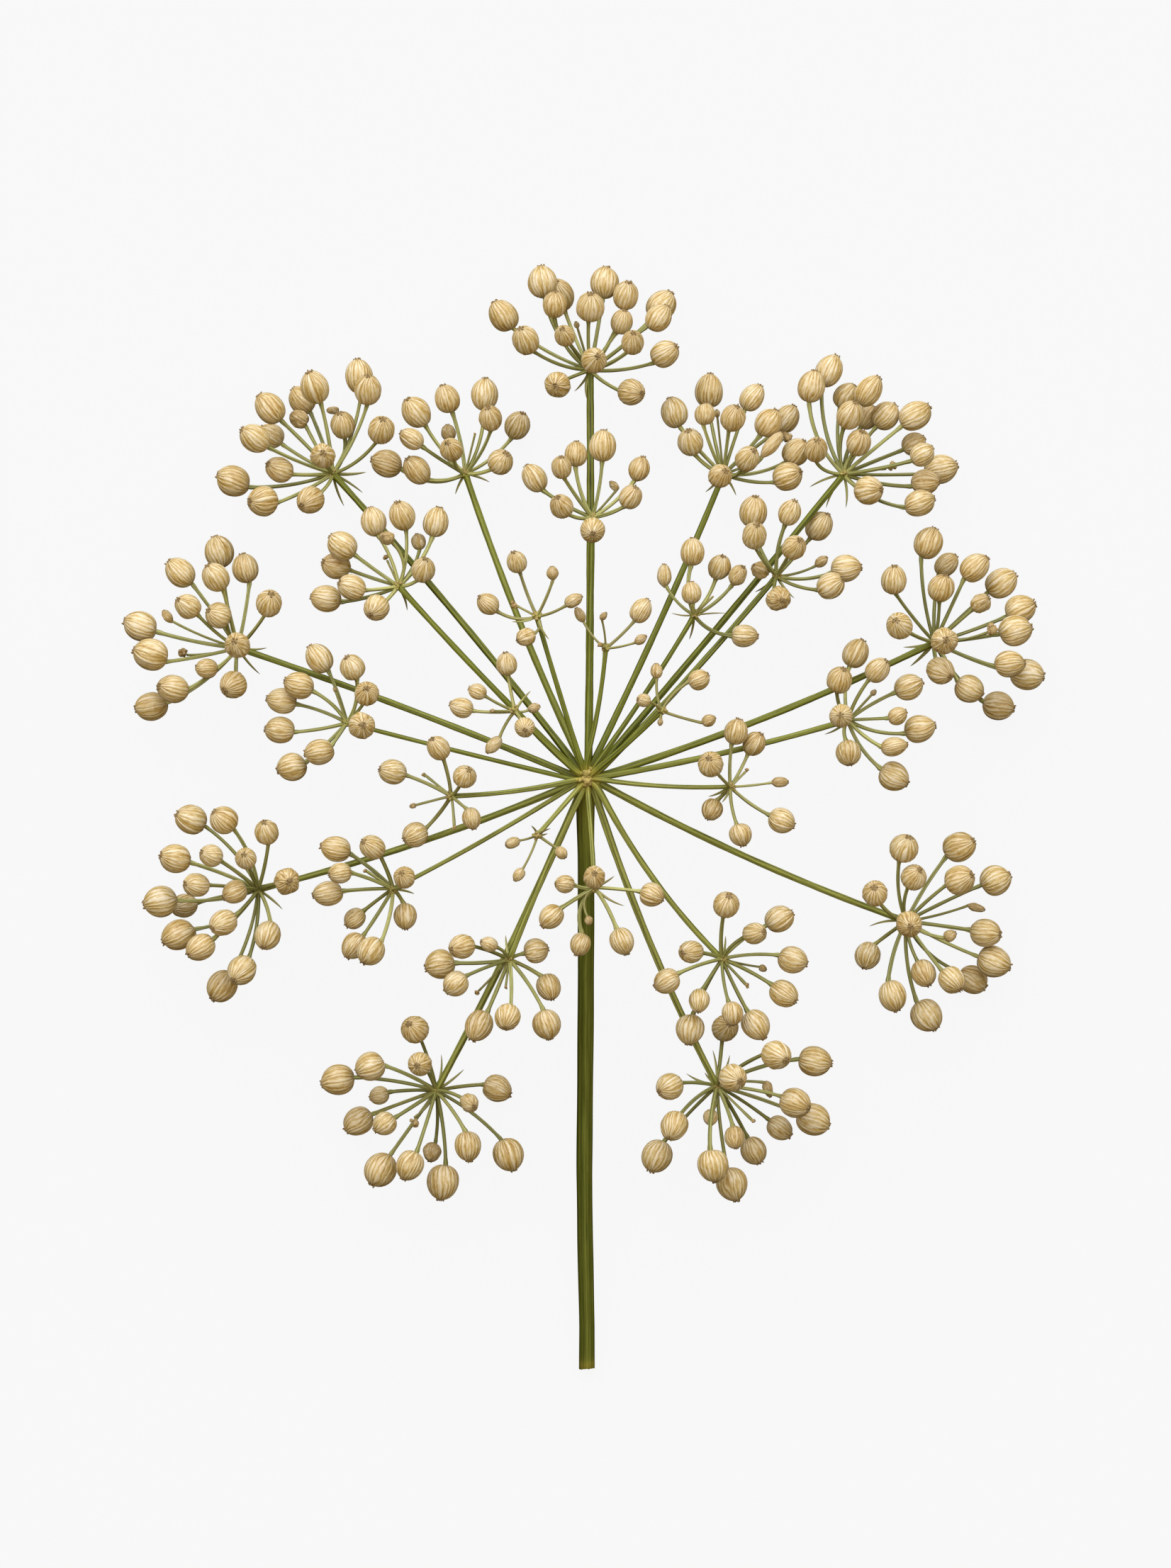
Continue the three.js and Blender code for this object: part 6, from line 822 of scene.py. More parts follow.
def fruit(skin, centre, axis, r, h, seed, shrivel=0.0, brown=0.0, shape=""):
    """One dry fruit: a ribbed body with a seam down two sides, and a small crown of calyx teeth round the base of the styles."""
    d = rng(*seed)
    centre, axis = np.asarray(centre, float), unit(axis)
    side, other = square_to(axis, d.uniform(0, 2 * math.pi))
    small = r < 1.2
    n = 2 * RIBS if small else 3 * RIBS
    m = 10 if small else 14
    # How fast the body narrows: 1 is a ball, less is a barrel, more is pointed.
    low = d.uniform(0.84, 1.00)
    high = d.uniform(0.92, 1.12) + 0.35 * max(0.0, h / r - 1.08)
    if shape == "drop":
        low, high = 1.9, d.uniform(0.8, 0.95)
    elif shape == "barrel":
        low, high = 0.55, 0.6
    elif shape == "club":
        low, high = 1.5, 0.9
    elif shape == "lemon":
        low, high = 1.35, 1.25
    skew = d.uniform(0.0, 0.10)
    half = 0.985 * h
    mid = -0.015 * h
    theta = np.linspace(-1, 1, m + 2)[1:-1]
    theta = theta * math.pi / 2 * 0.985
    up = np.sin(theta)
    power = low + (high - low) * smooth(-0.5, 0.6, up)
    wide = np.cos(theta) ** power * (1 - skew * up)
    wide /= wide.max()
    phi = 2 * math.pi * np.arange(n) / n
    rib = np.cos(RIBS * phi)
    uneven = 1 + 0.35 * np.sin(2 * phi + d.uniform(0, 6.28)) + 0.25 * np.sin(5 * phi + d.uniform(0, 6.28))
    # The seams: a bolder rib with a groove at either side of it.
    strength = d.uniform(0.3, 1.0)
    apart = np.abs(np.sin(phi))
    seam = strength * (np.exp(-((apart - 0.26) / 0.09) ** 2) - 0.8 * np.exp(-(apart / 0.12) ** 2))
    lump = d.uniform(0, 6.28, 8)
    drift = 0.05 * np.sin(2 * phi + lump[6]) + 0.035 * np.sin(3 * phi + lump[7])
    rings, grain, turns = np.zeros((m, n, 3)), np.zeros((m, n, 3)), np.zeros((m, n, 3))
    marks = np.zeros((m, n))
    off = d.uniform(-40, 40, 3)
    bend = d.uniform(-0.06, 0.06)
    amount = d.uniform(0.75, 1.25)
    for j in range(m):
        fade = min(1.0, wide[j] / 0.5)
        turn = phi + drift + 0.08 * math.sin(theta[j] * 1.5 + lump[4]) * fade
        lumps = 0.014 * np.sin(2 * turn + lump[0] + theta[j]) + 0.010 * np.sin(3 * turn + lump[1] - 2 * theta[j])
        if shrivel:
            lumps = lumps + shrivel * fade * (0.075 * np.sin(2 * turn + lump[2] + 1.5 * theta[j]) + 0.07 * np.sin(4 * turn + lump[3] + 3.6 * theta[j]) + 0.05 * np.sin(6 * turn - 5.0 * theta[j] + lump[5]))
        depth = (RIB_DEPTH + (RIB_DEPTH_END - RIB_DEPTH) * float(smooth(0.3, 0.95, abs(up[j])))) * amount * (0.6 if small else 1.0)
        rad = r * wide[j] * (1 + lumps - 0.02 * shrivel) + r * fade * (depth * 0.5 * (rib * uneven - 0.6) - 0.030 * seam)
        z = mid + half * up[j] + bend * r * np.cos(turn) * (1 - wide[j]) + 0.04 * shrivel * h * np.sin(3 * turn + lump[3])
        rings[j] = centre + (np.cos(turn) * rad)[:, None] * side + (np.sin(turn) * rad)[:, None] * other + np.asarray(z)[:, None] * axis
        marks[j] = seam * (0.5 + 0.5 * fade)
        grain[j] = np.stack([np.cos(phi), np.sin(phi), np.full(n, theta[j] * 0.33)], -1) + off
        turns[j] = np.stack([np.cos(phi), np.sin(phi), np.full(n, up[j])], -1)
    tone = d.uniform(0, 1)
    along = np.broadcast_to(((up + 1) / 2)[:, None], (m, n))
    skin.add(rings, centre + (mid - half) * axis, centre + (mid + half) * axis, grain, (2 * math.pi * r * 0.9, math.pi * half), turns=turns, groove=marks, tone=tone, along=along, husk=min(0.8, brown), worn=shrivel)

    # The crown: the little cone under the styles and a few teeth round it.
    top = mid + half * 0.97
    cone = 0.105 * r + 0.06
    a = 2 * math.pi * np.arange(7) / 7
    levels = ((-0.10, 1.15), (0.00, 1.0), (0.035, 0.75), (0.065, 0.35))
    body = [[centre + axis * (top + z * h) + (side * math.cos(x) + other * math.sin(x)) * cone * w * (1 + 0.16 * math.sin(3 * x + lump[0])) for x in a] for z, w in levels]
    dirs = np.stack([np.cos(a) * 2, np.sin(a) * 2, a * 0], -1) + off
    skin.add(body, centre + axis * (top - 0.14 * h), centre + axis * (top + 0.075 * h), np.broadcast_to(dirs, (4, 7, 3)), (2 * math.pi * cone, 0.2 * h), groove=0.3, tone=tone, along=1.0, husk=d.uniform(0.6, 0.9))
    teeth = 5
    spin = d.uniform(0, 2 * math.pi)
    for k in range(teeth):
        x = spin + 2 * math.pi * (k + d.uniform(-0.25, 0.25)) / teeth
        out = side * math.cos(x) + other * math.sin(x)
        ring = CROWN_RING * (r + 0.25) * d.uniform(0.75, 1.15)
        level = float(np.interp(ring / r, wide[::-1][: m // 2], (mid + half * up)[::-1][: m // 2]))
        long = h * d.uniform(0.055, 0.125)
        lean = d.uniform(-0.6, 0.9)
        foot = centre + axis * (level - 0.09 * h) + out * ring * 0.95
        knee = centre + axis * (level + 0.01 * h) + out * ring
        tip = knee + axis * long + out * long * lean * 0.6
        path = np.stack([foot, knee, knee * 0.3 + tip * 0.7])
        w = (0.052 * r + 0.052) * d.uniform(0.75, 1.2)
        bead(skin, path, (w * 1.1, w, w * 0.75), tip, off, tone, d.uniform(0.55, 1.0), axis)


def bead(skin, path, radii, tip, off, tone, husk, axis):
    """A short, five-sided tooth along a few points."""
    rings = []
    a = 2 * math.pi * np.arange(5) / 5
    for j, p in enumerate(path):
        t = unit(path[min(j + 1, len(path) - 1)] - path[max(j - 1, 0)])
        s, o = square_to(t)
        rings.append([p + (s * math.cos(x) + o * math.sin(x)) * radii[j] for x in a])
    g = np.broadcast_to(np.stack([np.cos(a), np.sin(a), a * 0], -1) + off, (len(path), 5, 3))
    skin.add(rings, path[0] - (path[1] - path[0]) * 0.2, tip, g, (2 * math.pi * max(radii), float(np.linalg.norm(tip - path[0]))), groove=0.4, tone=tone, along=1.0, husk=husk)


def remains(skin, centre, axis, r, h, seed, count=6):
    """What is left of a bud that never set fruit: a cluster of small brown lumps."""
    d = rng(*seed)
    side, other = square_to(axis)
    for k in range(count):
        x = 2.4 * k + d.uniform(-0.5, 0.5)
        out = side * math.cos(x) + other * math.sin(x)
        at = np.asarray(centre, float) + out * r * 0.55 * (k > 0) * d.uniform(0.6, 1.1) + unit(axis) * h * d.uniform(-0.35, 0.65)
        knob(skin, at, (*seed, k), radius=max(0.14, r * d.uniform(0.42, 0.68)), husk=d.uniform(0.35, 0.9), squash=d.uniform(0.75, 1.1))


def pedicel(skin, start, bend, end, fruit_centre, axis, r, h, seed, dry, shape=""):
    """The curved stem of one fruit, from the middle of its umbellet into the fruit's base, which it widens to meet."""
    d = rng(*seed)
    axis = unit(axis)
    c = np.asarray(fruit_centre, float)
    if shape in ("stub", "stick"):
        last = c + axis * h * 0.75
    else:
        last = c + (np.asarray(end, float) - c) * 0.80
    t = np.linspace(0, 1, 15)
    path = bezier(start, bend, last, t)
    s = np.concatenate([[0], np.cumsum(np.linalg.norm(np.diff(path, axis=0), axis=1))])
    left = s[-1] - s
    thick = PEDICEL_RADIUS * (0.74 if r < 0.9 else 0.9 if r < 1.4 else 1.0) * d.uniform(0.92, 1.08) * (1 - 0.22 * dry)
    if shape == "stub":
        radii = thick * (1 + 0.25 * np.exp(-((left - 0.9) / 0.8) ** 2))
    elif shape == "stick":
        radii = thick * 0.95 * np.ones(15)
    else:
        reach = 0.22 * h + 0.1
        radii = thick * (1 + (0.42 if r > 1.2 else 0.25) * np.exp(-((left - reach) / (0.17 * h)) ** 2))
    radii = radii * (1 + 0.22 * np.exp(-s / 0.7))
    # Yellower at both ends; the thin ones of aborted buds are dry and brown all along.
    husk = (0.26 * np.exp(-s / 1.3) + (0.12 * np.exp(-left / 1.2)))[:, None] * np.ones(20)
    tube(skin, path, radii, 5, 0.24, seed, min(1.0, max(0.0, DEEPER.get(seed[0], 0.12) + d.uniform(-0.15, 0.68))), husk=husk * (1 - 0.6 * dry), worn=0.75 * dry)
    return last, unit(path[-1] - path[-2])


def bractlet(skin, centre, tip, seed, dry=0.0, broad=1.0):
    """A narrow pointed leaf under an umbellet."""
    d = rng(*seed)
    centre, tip = np.asarray(centre, float), np.asarray(tip, float)
    out = tip - centre
    start = centre + unit(out) * 0.12 + np.array((0, 0, -0.12))
    long = float(np.linalg.norm(out))
    bow = (start + tip) / 2 + np.cross(unit(out), (0, 0, 1)) * d.choice((-1.0, 1.0)) * d.uniform(0.05, 0.15) * long + np.array((0, 0, d.uniform(-0.05, 0.08) * long))
    t = np.linspace(0, 1, 13)
    path = bezier(start, bow, tip, t)
    radii = 0.205 * broad * (1 - t ** 2.6) ** 0.8 * (0.80 + 0.20 * smooth(0.0, 0.3, t)) + 0.025
    husk = (0.08 + 0.12 * np.exp(-t / 0.12))[:, None] * np.ones(12)
    old = (0.15 + 0.70 * smooth(0.45, 1.0, t))[:, None] * np.ones(12) + dry
    tube(skin, path, radii, 3, 0.2, seed, d.uniform(0, 0.6), flat=0.42, up=(0, 0, 1), husk=husk, worn=np.clip(old, 0, 1), taper_ends=0.6)


def knob(skin, centre, seed, radius=KNOB_RADIUS, husk=0.35, squash=0.8):
    """A small swelling, such as the one that an umbellet's pedicels spring from."""
    d = rng(*seed)
    c = np.asarray(centre, float)
    m, n = (9, 20) if radius > 0.35 else (6, 10)
    theta = np.linspace(-math.pi / 2, math.pi / 2, m + 2)[1:-1]
    a = 2 * math.pi * np.arange(n) / n
    p = d.uniform(0, 6.28, 4)
    rings, grain = np.zeros((m, n, 3)), np.zeros((m, n, 3))
    for j, th in enumerate(theta):
        rad = radius * math.cos(th) * (1 + 0.10 * np.sin(5 * a + p[0]) * math.cos(th) + 0.08 * np.sin(3 * a + p[1] + 4 * th))
        rings[j] = c + np.stack([np.cos(a) * rad, np.sin(a) * rad, radius * squash * (math.sin(th) + 0.12 * np.sin(2 * a + p[2]) * math.cos(th))], -1)
        grain[j] = rings[j] * 0.8
    marks = 0.2 + 0.4 * np.abs(np.sin(2.5 * a + p[0]))[None, :] * np.ones((m, 1))
    tones = np.clip(husk + 0.15 * smooth(0.2, 1, np.sin(theta))[:, None] * np.ones(n), 0, 1)
    skin.add(rings, c - np.array((0, 0, radius * squash)), c + np.array((0, 0, radius * squash)), grain, (2 * math.pi * radius, math.pi * radius), groove=marks, tone=d.uniform(0, 1), along=0.5, husk=tones)


def middle(skin, centre, away, number, dry):
    """Where an umbellet's pedicels meet: a small swelling with yellow-brown lumps on the side that faces out."""
    d = rng(number, 500)
    c = np.asarray(centre, float)
    knob(skin, c, (number, 500), radius=KNOB_RADIUS * (1.05 if dry else 1.0), husk=0.42 + 0.25 * dry)
    out = unit(unit(away) * 0.55 + np.array((0, 0, 0.9)))
    side, other = square_to(out)
    for k in range(9):
        x, w = 2.4 * k + d.uniform(-0.4, 0.4), 0.23 * math.sqrt(k)
        at = c + out * KNOB_RADIUS * (0.92 - 0.8 * w * w) + (side * math.cos(x) + other * math.sin(x)) * w
        knob(skin, at, (number, 510 + k), radius=d.uniform(0.18, 0.30), husk=d.uniform(0.35, 0.9), squash=d.uniform(0.8, 1.3))


def ray_path(u):
    """From inside the hub out along the ray to the middle of its umbellet."""
    foot, bow, centre = (np.asarray(u[k], float) for k in ("foot", "bow", "centre"))
    lead = unit(bow - foot)
    hub = np.asarray(HUB, float)
    out = foot - hub
    inner = hub + np.array((out[0], out[1], 0)) * 0.13 + np.array((0, 0, out[2] * 0.62))
    gap = np.linalg.norm(foot - inner)
    t = np.linspace(0, 1, 8)[:-1]
    first = bezier(inner, foot - lead * gap * 0.5, foot, t)
    length = np.linalg.norm(centre - foot)
    rest = bezier(foot, bow, centre, np.linspace(0, 1, max(14, int(length / 1.4))))
    return np.concatenate([first, rest])


def ray(skin, number, u):
    path = ray_path(u)
    s = np.concatenate([[0], np.cumsum(np.linalg.norm(np.diff(path, axis=0), axis=1))])
    left = s[-1] - s
    base = RAY_RADIUS[number]
    radii = base * (1 + 0.10 * np.exp(-s / 5.0) + 0.20 * np.exp(-left / 0.9) - 0.10 * s / s[-1])
    radii *= 1 - 0.30 * np.exp(-s / 0.7)
    ridges = 5
    husk = (0.75 * np.exp(-((s / 1.5) ** 2)) + 0.16 * np.exp(-left / 1.5))[:, None] * np.ones(ridges * 4)
    # Painted light: rays that run towards -y, away from the key lamp, are painted paler, and those that run towards +y
    # deeper, standing in for how the light falls on them.
    up = (path[-1][1] - path[0][1]) / np.linalg.norm(path[-1][:2] - path[0][:2])
    tube(skin, path, radii, ridges, 0.11, (number, 900), float(np.clip(0.5 + 0.45 * up + rng(number, 901).uniform(-0.2, 0.2), 0, 1)), husk=np.clip(husk, 0, 1))


def stalk(skin):
    """The cut stalk, grooved all along, with its ragged pale end."""
    d = rng(77, 5)
    t = np.linspace(0, 1, 84)
    path = bezier(*STALK, t)
    path[:, 0] += np.interp(path[:, 1], *STALK_BOW)
    s = np.concatenate([[0], np.cumsum(np.linalg.norm(np.diff(path, axis=0), axis=1))])
    total = s[-1]
    tangent = np.gradient(path, axis=0)
    tangent /= np.linalg.norm(tangent, axis=1)[:, None]
    ridges, samples = 11, 6
    n = ridges * samples
    a = 2 * math.pi * np.arange(n) / n
    within = (np.arange(n) % samples) / samples
    strength = d.uniform(0.4, 1.0, ridges)[np.arange(n) // samples]
    groove = (1 - np.abs(np.cos(math.pi * within)) ** 1.1) * strength
    # Painted light: the stalk's right side is painted paler and its left side darker, to even out the shade the lamps
    # leave on its right.
    painted_side_light = 0.44 - 0.26 * np.cos(a) + d.uniform(-0.05, 0.05, ridges)[np.arange(n) // samples]
    # Painted highlight: two pale lines down the stalk's upper face, the brighter one where it faces straight up.
    pale = np.exp(-((a - 1.52) / 0.06) ** 2) + 0.30 * np.exp(-((a - 2.25) / 0.06) ** 2)
    radius = STALK_RADIUS + (STALK_END_RADIUS - STALK_RADIUS) * smooth(0.1, 1, s / total) + 0.25 * np.exp(-s / 2.5) + 0.12 * np.exp(-((s / 10) ** 2))
    side = np.array((1.0, 0.0, 0.0))
    off = np.array((5.0, 9.0, 2.0))
    rings, grain = [], []
    # Cut upright, a little slanted and not quite clean.
    drop = -tangent[-1][2] / np.linalg.norm(tangent[-1][:2])
    cut = -drop * radius[-1] * np.sin(a) - 0.10 * np.cos(a) + 0.03 * np.sin(5 * a + 1.9) + d.uniform(-0.04, 0.04, n)
    for j in range(len(path)):
        side = unit(side - tangent[j] * side.dot(tangent[j]))
        other = np.cross(tangent[j], side)
        rr = radius[j] * (1 + 0.015 * math.sin(s[j] * 0.35)) * (1 - 0.045 * groove)
        ring = path[j] + (np.cos(a) * rr)[:, None] * side + (np.sin(a) * rr)[:, None] * other
        near = smooth(total - 4.0, total, s[j])
        ring = ring + (cut * near)[:, None] * tangent[j]
        rings.append(ring)
        grain.append(np.stack([np.cos(a) * 2.6, np.sin(a) * 2.6, np.full(n, s[j] * 0.05)], -1) + off)
    m = len(path)
    husk = np.zeros((m, n))
    # Paler at the cut end, which is the stalk's own colour. Near the hub it is painted paler and yellower: partly its
    # own yellowing where it meets the hub, partly painted light that lifts the shade the rays cast on it.
    husk += (0.10 * smooth(total - 4.0, total, s) + 0.40 * np.exp((s - total) / 0.6) + 0.22 * np.exp(-s / 9.0) + 0.20 * np.exp(-s / 2.0))[:, None]
    marks = groove * 0.26 + painted_side_light - 0.60 * pale - 0.70 * np.exp(-s / 10.0)[:, None]
    # The cut face: a thin rim, then a shallow dished pith.
    for w, deep, pale in ((0.93, 0.03, 0.55), (0.82, -0.06, 0.85), (0.62, -0.16, 0.95), (0.35, -0.20, 0.9)):
        rr = radius[-1] * w * (1 - 0.045 * groove * (w > 0.9))
        ring = path[-1] + (np.cos(a) * rr)[:, None] * side + (np.sin(a) * rr)[:, None] * other + (cut * (0.4 + 0.6 * w) + deep)[:, None] * tangent[-1]
        rings.append(ring)
        grain.append(np.stack([np.cos(a) * 2.6 * w, np.sin(a) * 2.6 * w, np.full(n, total * 0.05)], -1) + off)
        husk = np.concatenate([husk, np.full((1, n), pale)])
        marks = np.concatenate([marks, np.full((1, n), 0.1)])
    start = path[0] - tangent[0] * 0.6
    end = path[-1] - tangent[-1] * 0.22
    along = np.broadcast_to(np.linspace(0, 1, m + 4)[:, None], (m + 4, n))
    skin.add(rings, start, end, grain, (2 * math.pi * STALK_RADIUS, total), groove=marks, tone=0.5, along=along, husk=husk)


def hub(skin):
    """The top of the stalk that every ray springs from, with the small scars in its middle."""
    d = rng(78, 5)
    c = np.asarray(HUB, float)
    m, n = 22, 44
    theta = np.linspace(-math.pi / 2, math.pi / 2, m + 2)[1:-1]
    a = 2 * math.pi * np.arange(n) / n
    p = d.uniform(0, 6.28, 8)
    rings, grain = np.zeros((m, n, 3)), np.zeros((m, n, 3))
    tall = (2.4, 1.55)
    wide = 1.12
    for j, th in enumerate(theta):
        up = math.sin(th)
        bumps = 0.07 * np.sin(7 * a + p[0] + 2 * th) + 0.05 * np.sin(11 * a + p[1] - 3 * th) + 0.05 * np.sin(4 * a + p[2] + 5 * th)
        rad = wide * math.cos(th) ** 0.8 * (1 + bumps)
        z = up * (tall[1] if up > 0 else tall[0])
        rings[j] = c + np.stack([np.cos(a) * rad, np.sin(a) * rad, np.full(n, z)], -1)
        rings[j][:, 2] += (0.14 * np.sin(5 * a + p[3]) + 0.08 * np.sin(8 * a + p[4])) * math.cos(th)
        grain[j] = rings[j] * 0.8
    husk = 0.40 + 0.38 * smooth(0.2, 0.85, np.sin(theta))[:, None] * np.ones(n)
    marks = 0.25 + 0.5 * np.abs(np.sin(5.5 * a + p[0]))[None, :] * np.ones((m, 1))
    skin.add(rings, c - np.array((0, 0, tall[0])), c + np.array((0, 0, tall[1])), grain, (2 * math.pi * 1.6, 6.0), groove=marks, tone=0.4, along=0.0, husk=husk)
    # The scars in its middle: each is its place from the hub's top, its size and how dry it is.
    for k, (x, y, z, size, dry) in enumerate(SCARS):
        at = c + np.array((x, y, tall[1] + z))
        knob(skin, at, (78, k), radius=size, husk=dry, squash=d.uniform(0.62, 0.85))


# ---------------------------------------------------------------- materials

class Nodes:
    """A material's nodes, made one after another."""

    def __init__(self, name):
        self.material = bpy.data.materials.new(name)
        self.material.use_nodes = True
        self.tree = self.material.node_tree
        self.tree.nodes.clear()
        self.out = self.tree.nodes.new("ShaderNodeOutputMaterial")

    def add(self, kind, **settings):
        node = self.tree.nodes.new(kind)
        for k, v in settings.items():
            setattr(node, k, v)
        return node

    def put(self, socket, value):
        if isinstance(value, bpy.types.NodeSocket):
            self.tree.links.new(value, socket)
        else:
            socket.default_value = value

    def value(self, name):
        return self.add("ShaderNodeAttribute", attribute_name=name).outputs["Fac"]

    def vector(self, name):
        return self.add("ShaderNodeAttribute", attribute_name=name).outputs["Vector"]

    def math(self, operation, a, b=0.0, c=0.0, clamp=False):
        node = self.add("ShaderNodeMath", operation=operation, use_clamp=clamp)
        for socket, value in zip(node.inputs, (a, b, c)):
            self.put(socket, value)
        return node.outputs[0]

    def noise(self, vector, scale, detail=3.0, rough=0.5, distort=0.0):
        node = self.add("ShaderNodeTexNoise")
        self.put(node.inputs["Vector"], vector)
        node.inputs["Scale"].default_value = scale
        node.inputs["Detail"].default_value = detail
        node.inputs["Roughness"].default_value = rough
        node.inputs["Distortion"].default_value = distort
        return node.outputs["Fac"]

    def span(self, value, a, b, c, d, kind="SMOOTHSTEP"):
        node = self.add("ShaderNodeMapRange", interpolation_type=kind)
        for socket, x in zip(node.inputs, (value, a, b, c, d)):
            self.put(socket, x)
        return node.outputs[0]

    def mix(self, factor, a, b, blend="MIX"):
        node = self.add("ShaderNodeMix", data_type="RGBA", blend_type=blend)
        node.clamp_factor = True
        self.put(node.inputs["Factor"], factor)
        for k, v in (("A", a), ("B", b)):
            socket = [s for s in node.inputs if s.name == k and s.type == "RGBA"][0]
            self.put(socket, v if isinstance(v, bpy.types.NodeSocket) else (*v, 1.0))
        return [s for s in node.outputs if s.type == "RGBA"][0]

    def shaded(self, colour, bump=None, roughness=0.6, distance=0.00004, strength=1.0, specular=0.35, **plain):
        shader = self.add("ShaderNodeBsdfPrincipled")
        self.put(shader.inputs["Base Color"], colour)
        self.put(shader.inputs["Roughness"], roughness)
        shader.inputs["Specular IOR Level"].default_value = specular
        for k, v in plain.items():
            shader.inputs[k].default_value = v
        if bump is not None:
            node = self.add("ShaderNodeBump")
            node.inputs["Strength"].default_value = strength
            node.inputs["Distance"].default_value = distance
            self.put(node.inputs["Height"], bump)
            self.tree.links.new(node.outputs[0], shader.inputs["Normal"])
        self.tree.links.new(shader.outputs[0], self.out.inputs[0])
        return self.material


def fruit_material():
    """Dry tan fruits: fine pale ribs with browner grooves, crowded and darker at the crown, and brown teeth."""
    m = Nodes("dry_fruit")
    grain, groove, tone, along, husk, worn = m.vector("grain"), m.value("groove"), m.value("tone"), m.value("along"), m.value("husk"), m.value("worn")
    split = m.add("ShaderNodeSeparateXYZ")
    m.put(split.inputs[0], m.vector("turns"))
    streak = m.noise(grain, 10.0, 3.0, 0.6)
    fine = m.noise(grain, 26.0, 2.0, 0.6)
    blotch = m.noise(grain, 1.6, 2.0, 0.5)
    # The ribs run from base to crown and waver a little on the way.
    waver = m.math("MULTIPLY", m.math("SUBTRACT", m.noise(grain, 2.6, 1.0, 0.5), 0.5), m.math("MULTIPLY_ADD", worn, 1.2, 0.55))
    angle = m.math("ADD", m.math("ARCTAN2", split.outputs[1], split.outputs[0]), waver)
    rib = m.math("COSINE", m.math("MULTIPLY", angle, float(RIBS)))
    crest = m.span(rib, 0.15, 0.95, 0.0, 1.0)
    valley = m.span(rib, -0.35, -1.0, 0.0, 1.0)
    ends = m.span(m.math("ABSOLUTE", split.outputs[2]), 0.25, 0.95, 0.45, 1.0)
    # 0 is the palest and 1 the darkest
    x = m.math("MULTIPLY_ADD", m.math("MULTIPLY", valley, ends), 0.56, 0.37)
    x = m.math("MULTIPLY_ADD", m.math("MULTIPLY", crest, m.math("MULTIPLY_ADD", ends, 0.5, 0.5)), -0.38, x)
    x = m.math("MULTIPLY_ADD", groove, 0.46, x)
    x = m.math("MULTIPLY_ADD", m.math("SUBTRACT", m.noise(grain, 5.0, 2.0, 0.6, 0.6), 0.5), 1.2, x)
    x = m.math("MULTIPLY_ADD", m.math("SUBTRACT", streak, 0.5), 0.85, x)
    x = m.math("MULTIPLY_ADD", m.math("SUBTRACT", fine, 0.5), 0.6, x)
    x = m.math("MULTIPLY_ADD", m.math("SUBTRACT", blotch, 0.5), 0.9, x)
    x = m.math("MULTIPLY_ADD", m.span(along, 0.60, 1.0, 0.0, 1.0), 0.06, x)
    x = m.math("MULTIPLY_ADD", worn, 0.12, x, clamp=True)
    pale = m.mix(tone, PALE_A, PALE_B)
    half = m.mix(tone, HALF_A, HALF_B)
    dark = m.mix(tone, DARK_A, DARK_B)
    colour = m.mix(m.span(x, 0.0, 0.5, 0.0, 1.0, "LINEAR"), pale, half)
    colour = m.mix(m.span(x, 0.5, 1.0, 0.0, 1.0, "LINEAR"), colour, dark)
    tips = m.math("MAXIMUM", m.span(along, 0.965, 1.0, 0.0, 0.8), m.span(along, 0.035, 0.0, 0.0, 0.5))
    colour = m.mix(tips, colour, (0.250, 0.145, 0.038))
    brown = m.mix(m.span(fine, 0.35, 0.65, 0.0, 1.0), (0.420, 0.262, 0.062), (0.185, 0.098, 0.019))
    colour = m.mix(husk, colour, brown)
    height = m.math("MULTIPLY_ADD", rib, 0.32, m.math("MULTIPLY_ADD", fine, 0.45, m.math("MULTIPLY", streak, 0.8)))
    rough = m.span(streak, 0.3, 0.7, 0.40, 0.54)
    return m.shaded(colour, height, rough, distance=0.00008, strength=0.85, specular=0.70, **{"Sheen Weight": 0.20, "Sheen Roughness": 0.45, "Sheen Tint": (1.0, 0.84, 0.50, 1.0)})


def stem_material(name, light, deep, shadow, warm, straw, shine=0.18, lines=1.05):
    """Olive stems: pale ribs, dark grooves, fine lengthwise fibres, yellower where they join and brown where they have dried."""
    m = Nodes(name)
    grain, groove, tone, husk, worn = m.vector("grain"), m.value("groove"), m.value("tone"), m.value("husk"), m.value("worn")
    streak = m.noise(grain, 2.6, 3.0, 0.6)
    fine = m.noise(grain, 11.0, 2.0, 0.6)
    x = m.math("MULTIPLY_ADD", groove, lines, 0.15)
    x = m.math("MULTIPLY_ADD", m.math("SUBTRACT", streak, 0.5), 1.7, x)
    x = m.math("MULTIPLY_ADD", m.math("SUBTRACT", fine, 0.5), 0.5, x, clamp=True)
    pale = m.mix(tone, light, deep)
    colour = m.mix(x, pale, shadow)
    colour = m.mix(m.span(husk, 0.0, 0.45, 0.0, 0.85), colour, m.mix(x, warm, tuple(c * 0.40 for c in warm)))
    colour = m.mix(m.span(husk, 0.45, 1.0, 0.0, 1.0), colour, m.mix(x, straw, tuple(c * 0.50 for c in straw)))
    colour = m.mix(worn, colour, m.mix(x, (0.345, 0.285, 0.095), (0.120, 0.092, 0.026)))
    height = m.math("MULTIPLY_ADD", fine, 0.35, m.math("MULTIPLY", streak, 0.8))
    rough = m.span(fine, 0.3, 0.7, 0.42, 0.6)
    return m.shaded(colour, height, rough, distance=0.00006, strength=0.8, specular=shine)


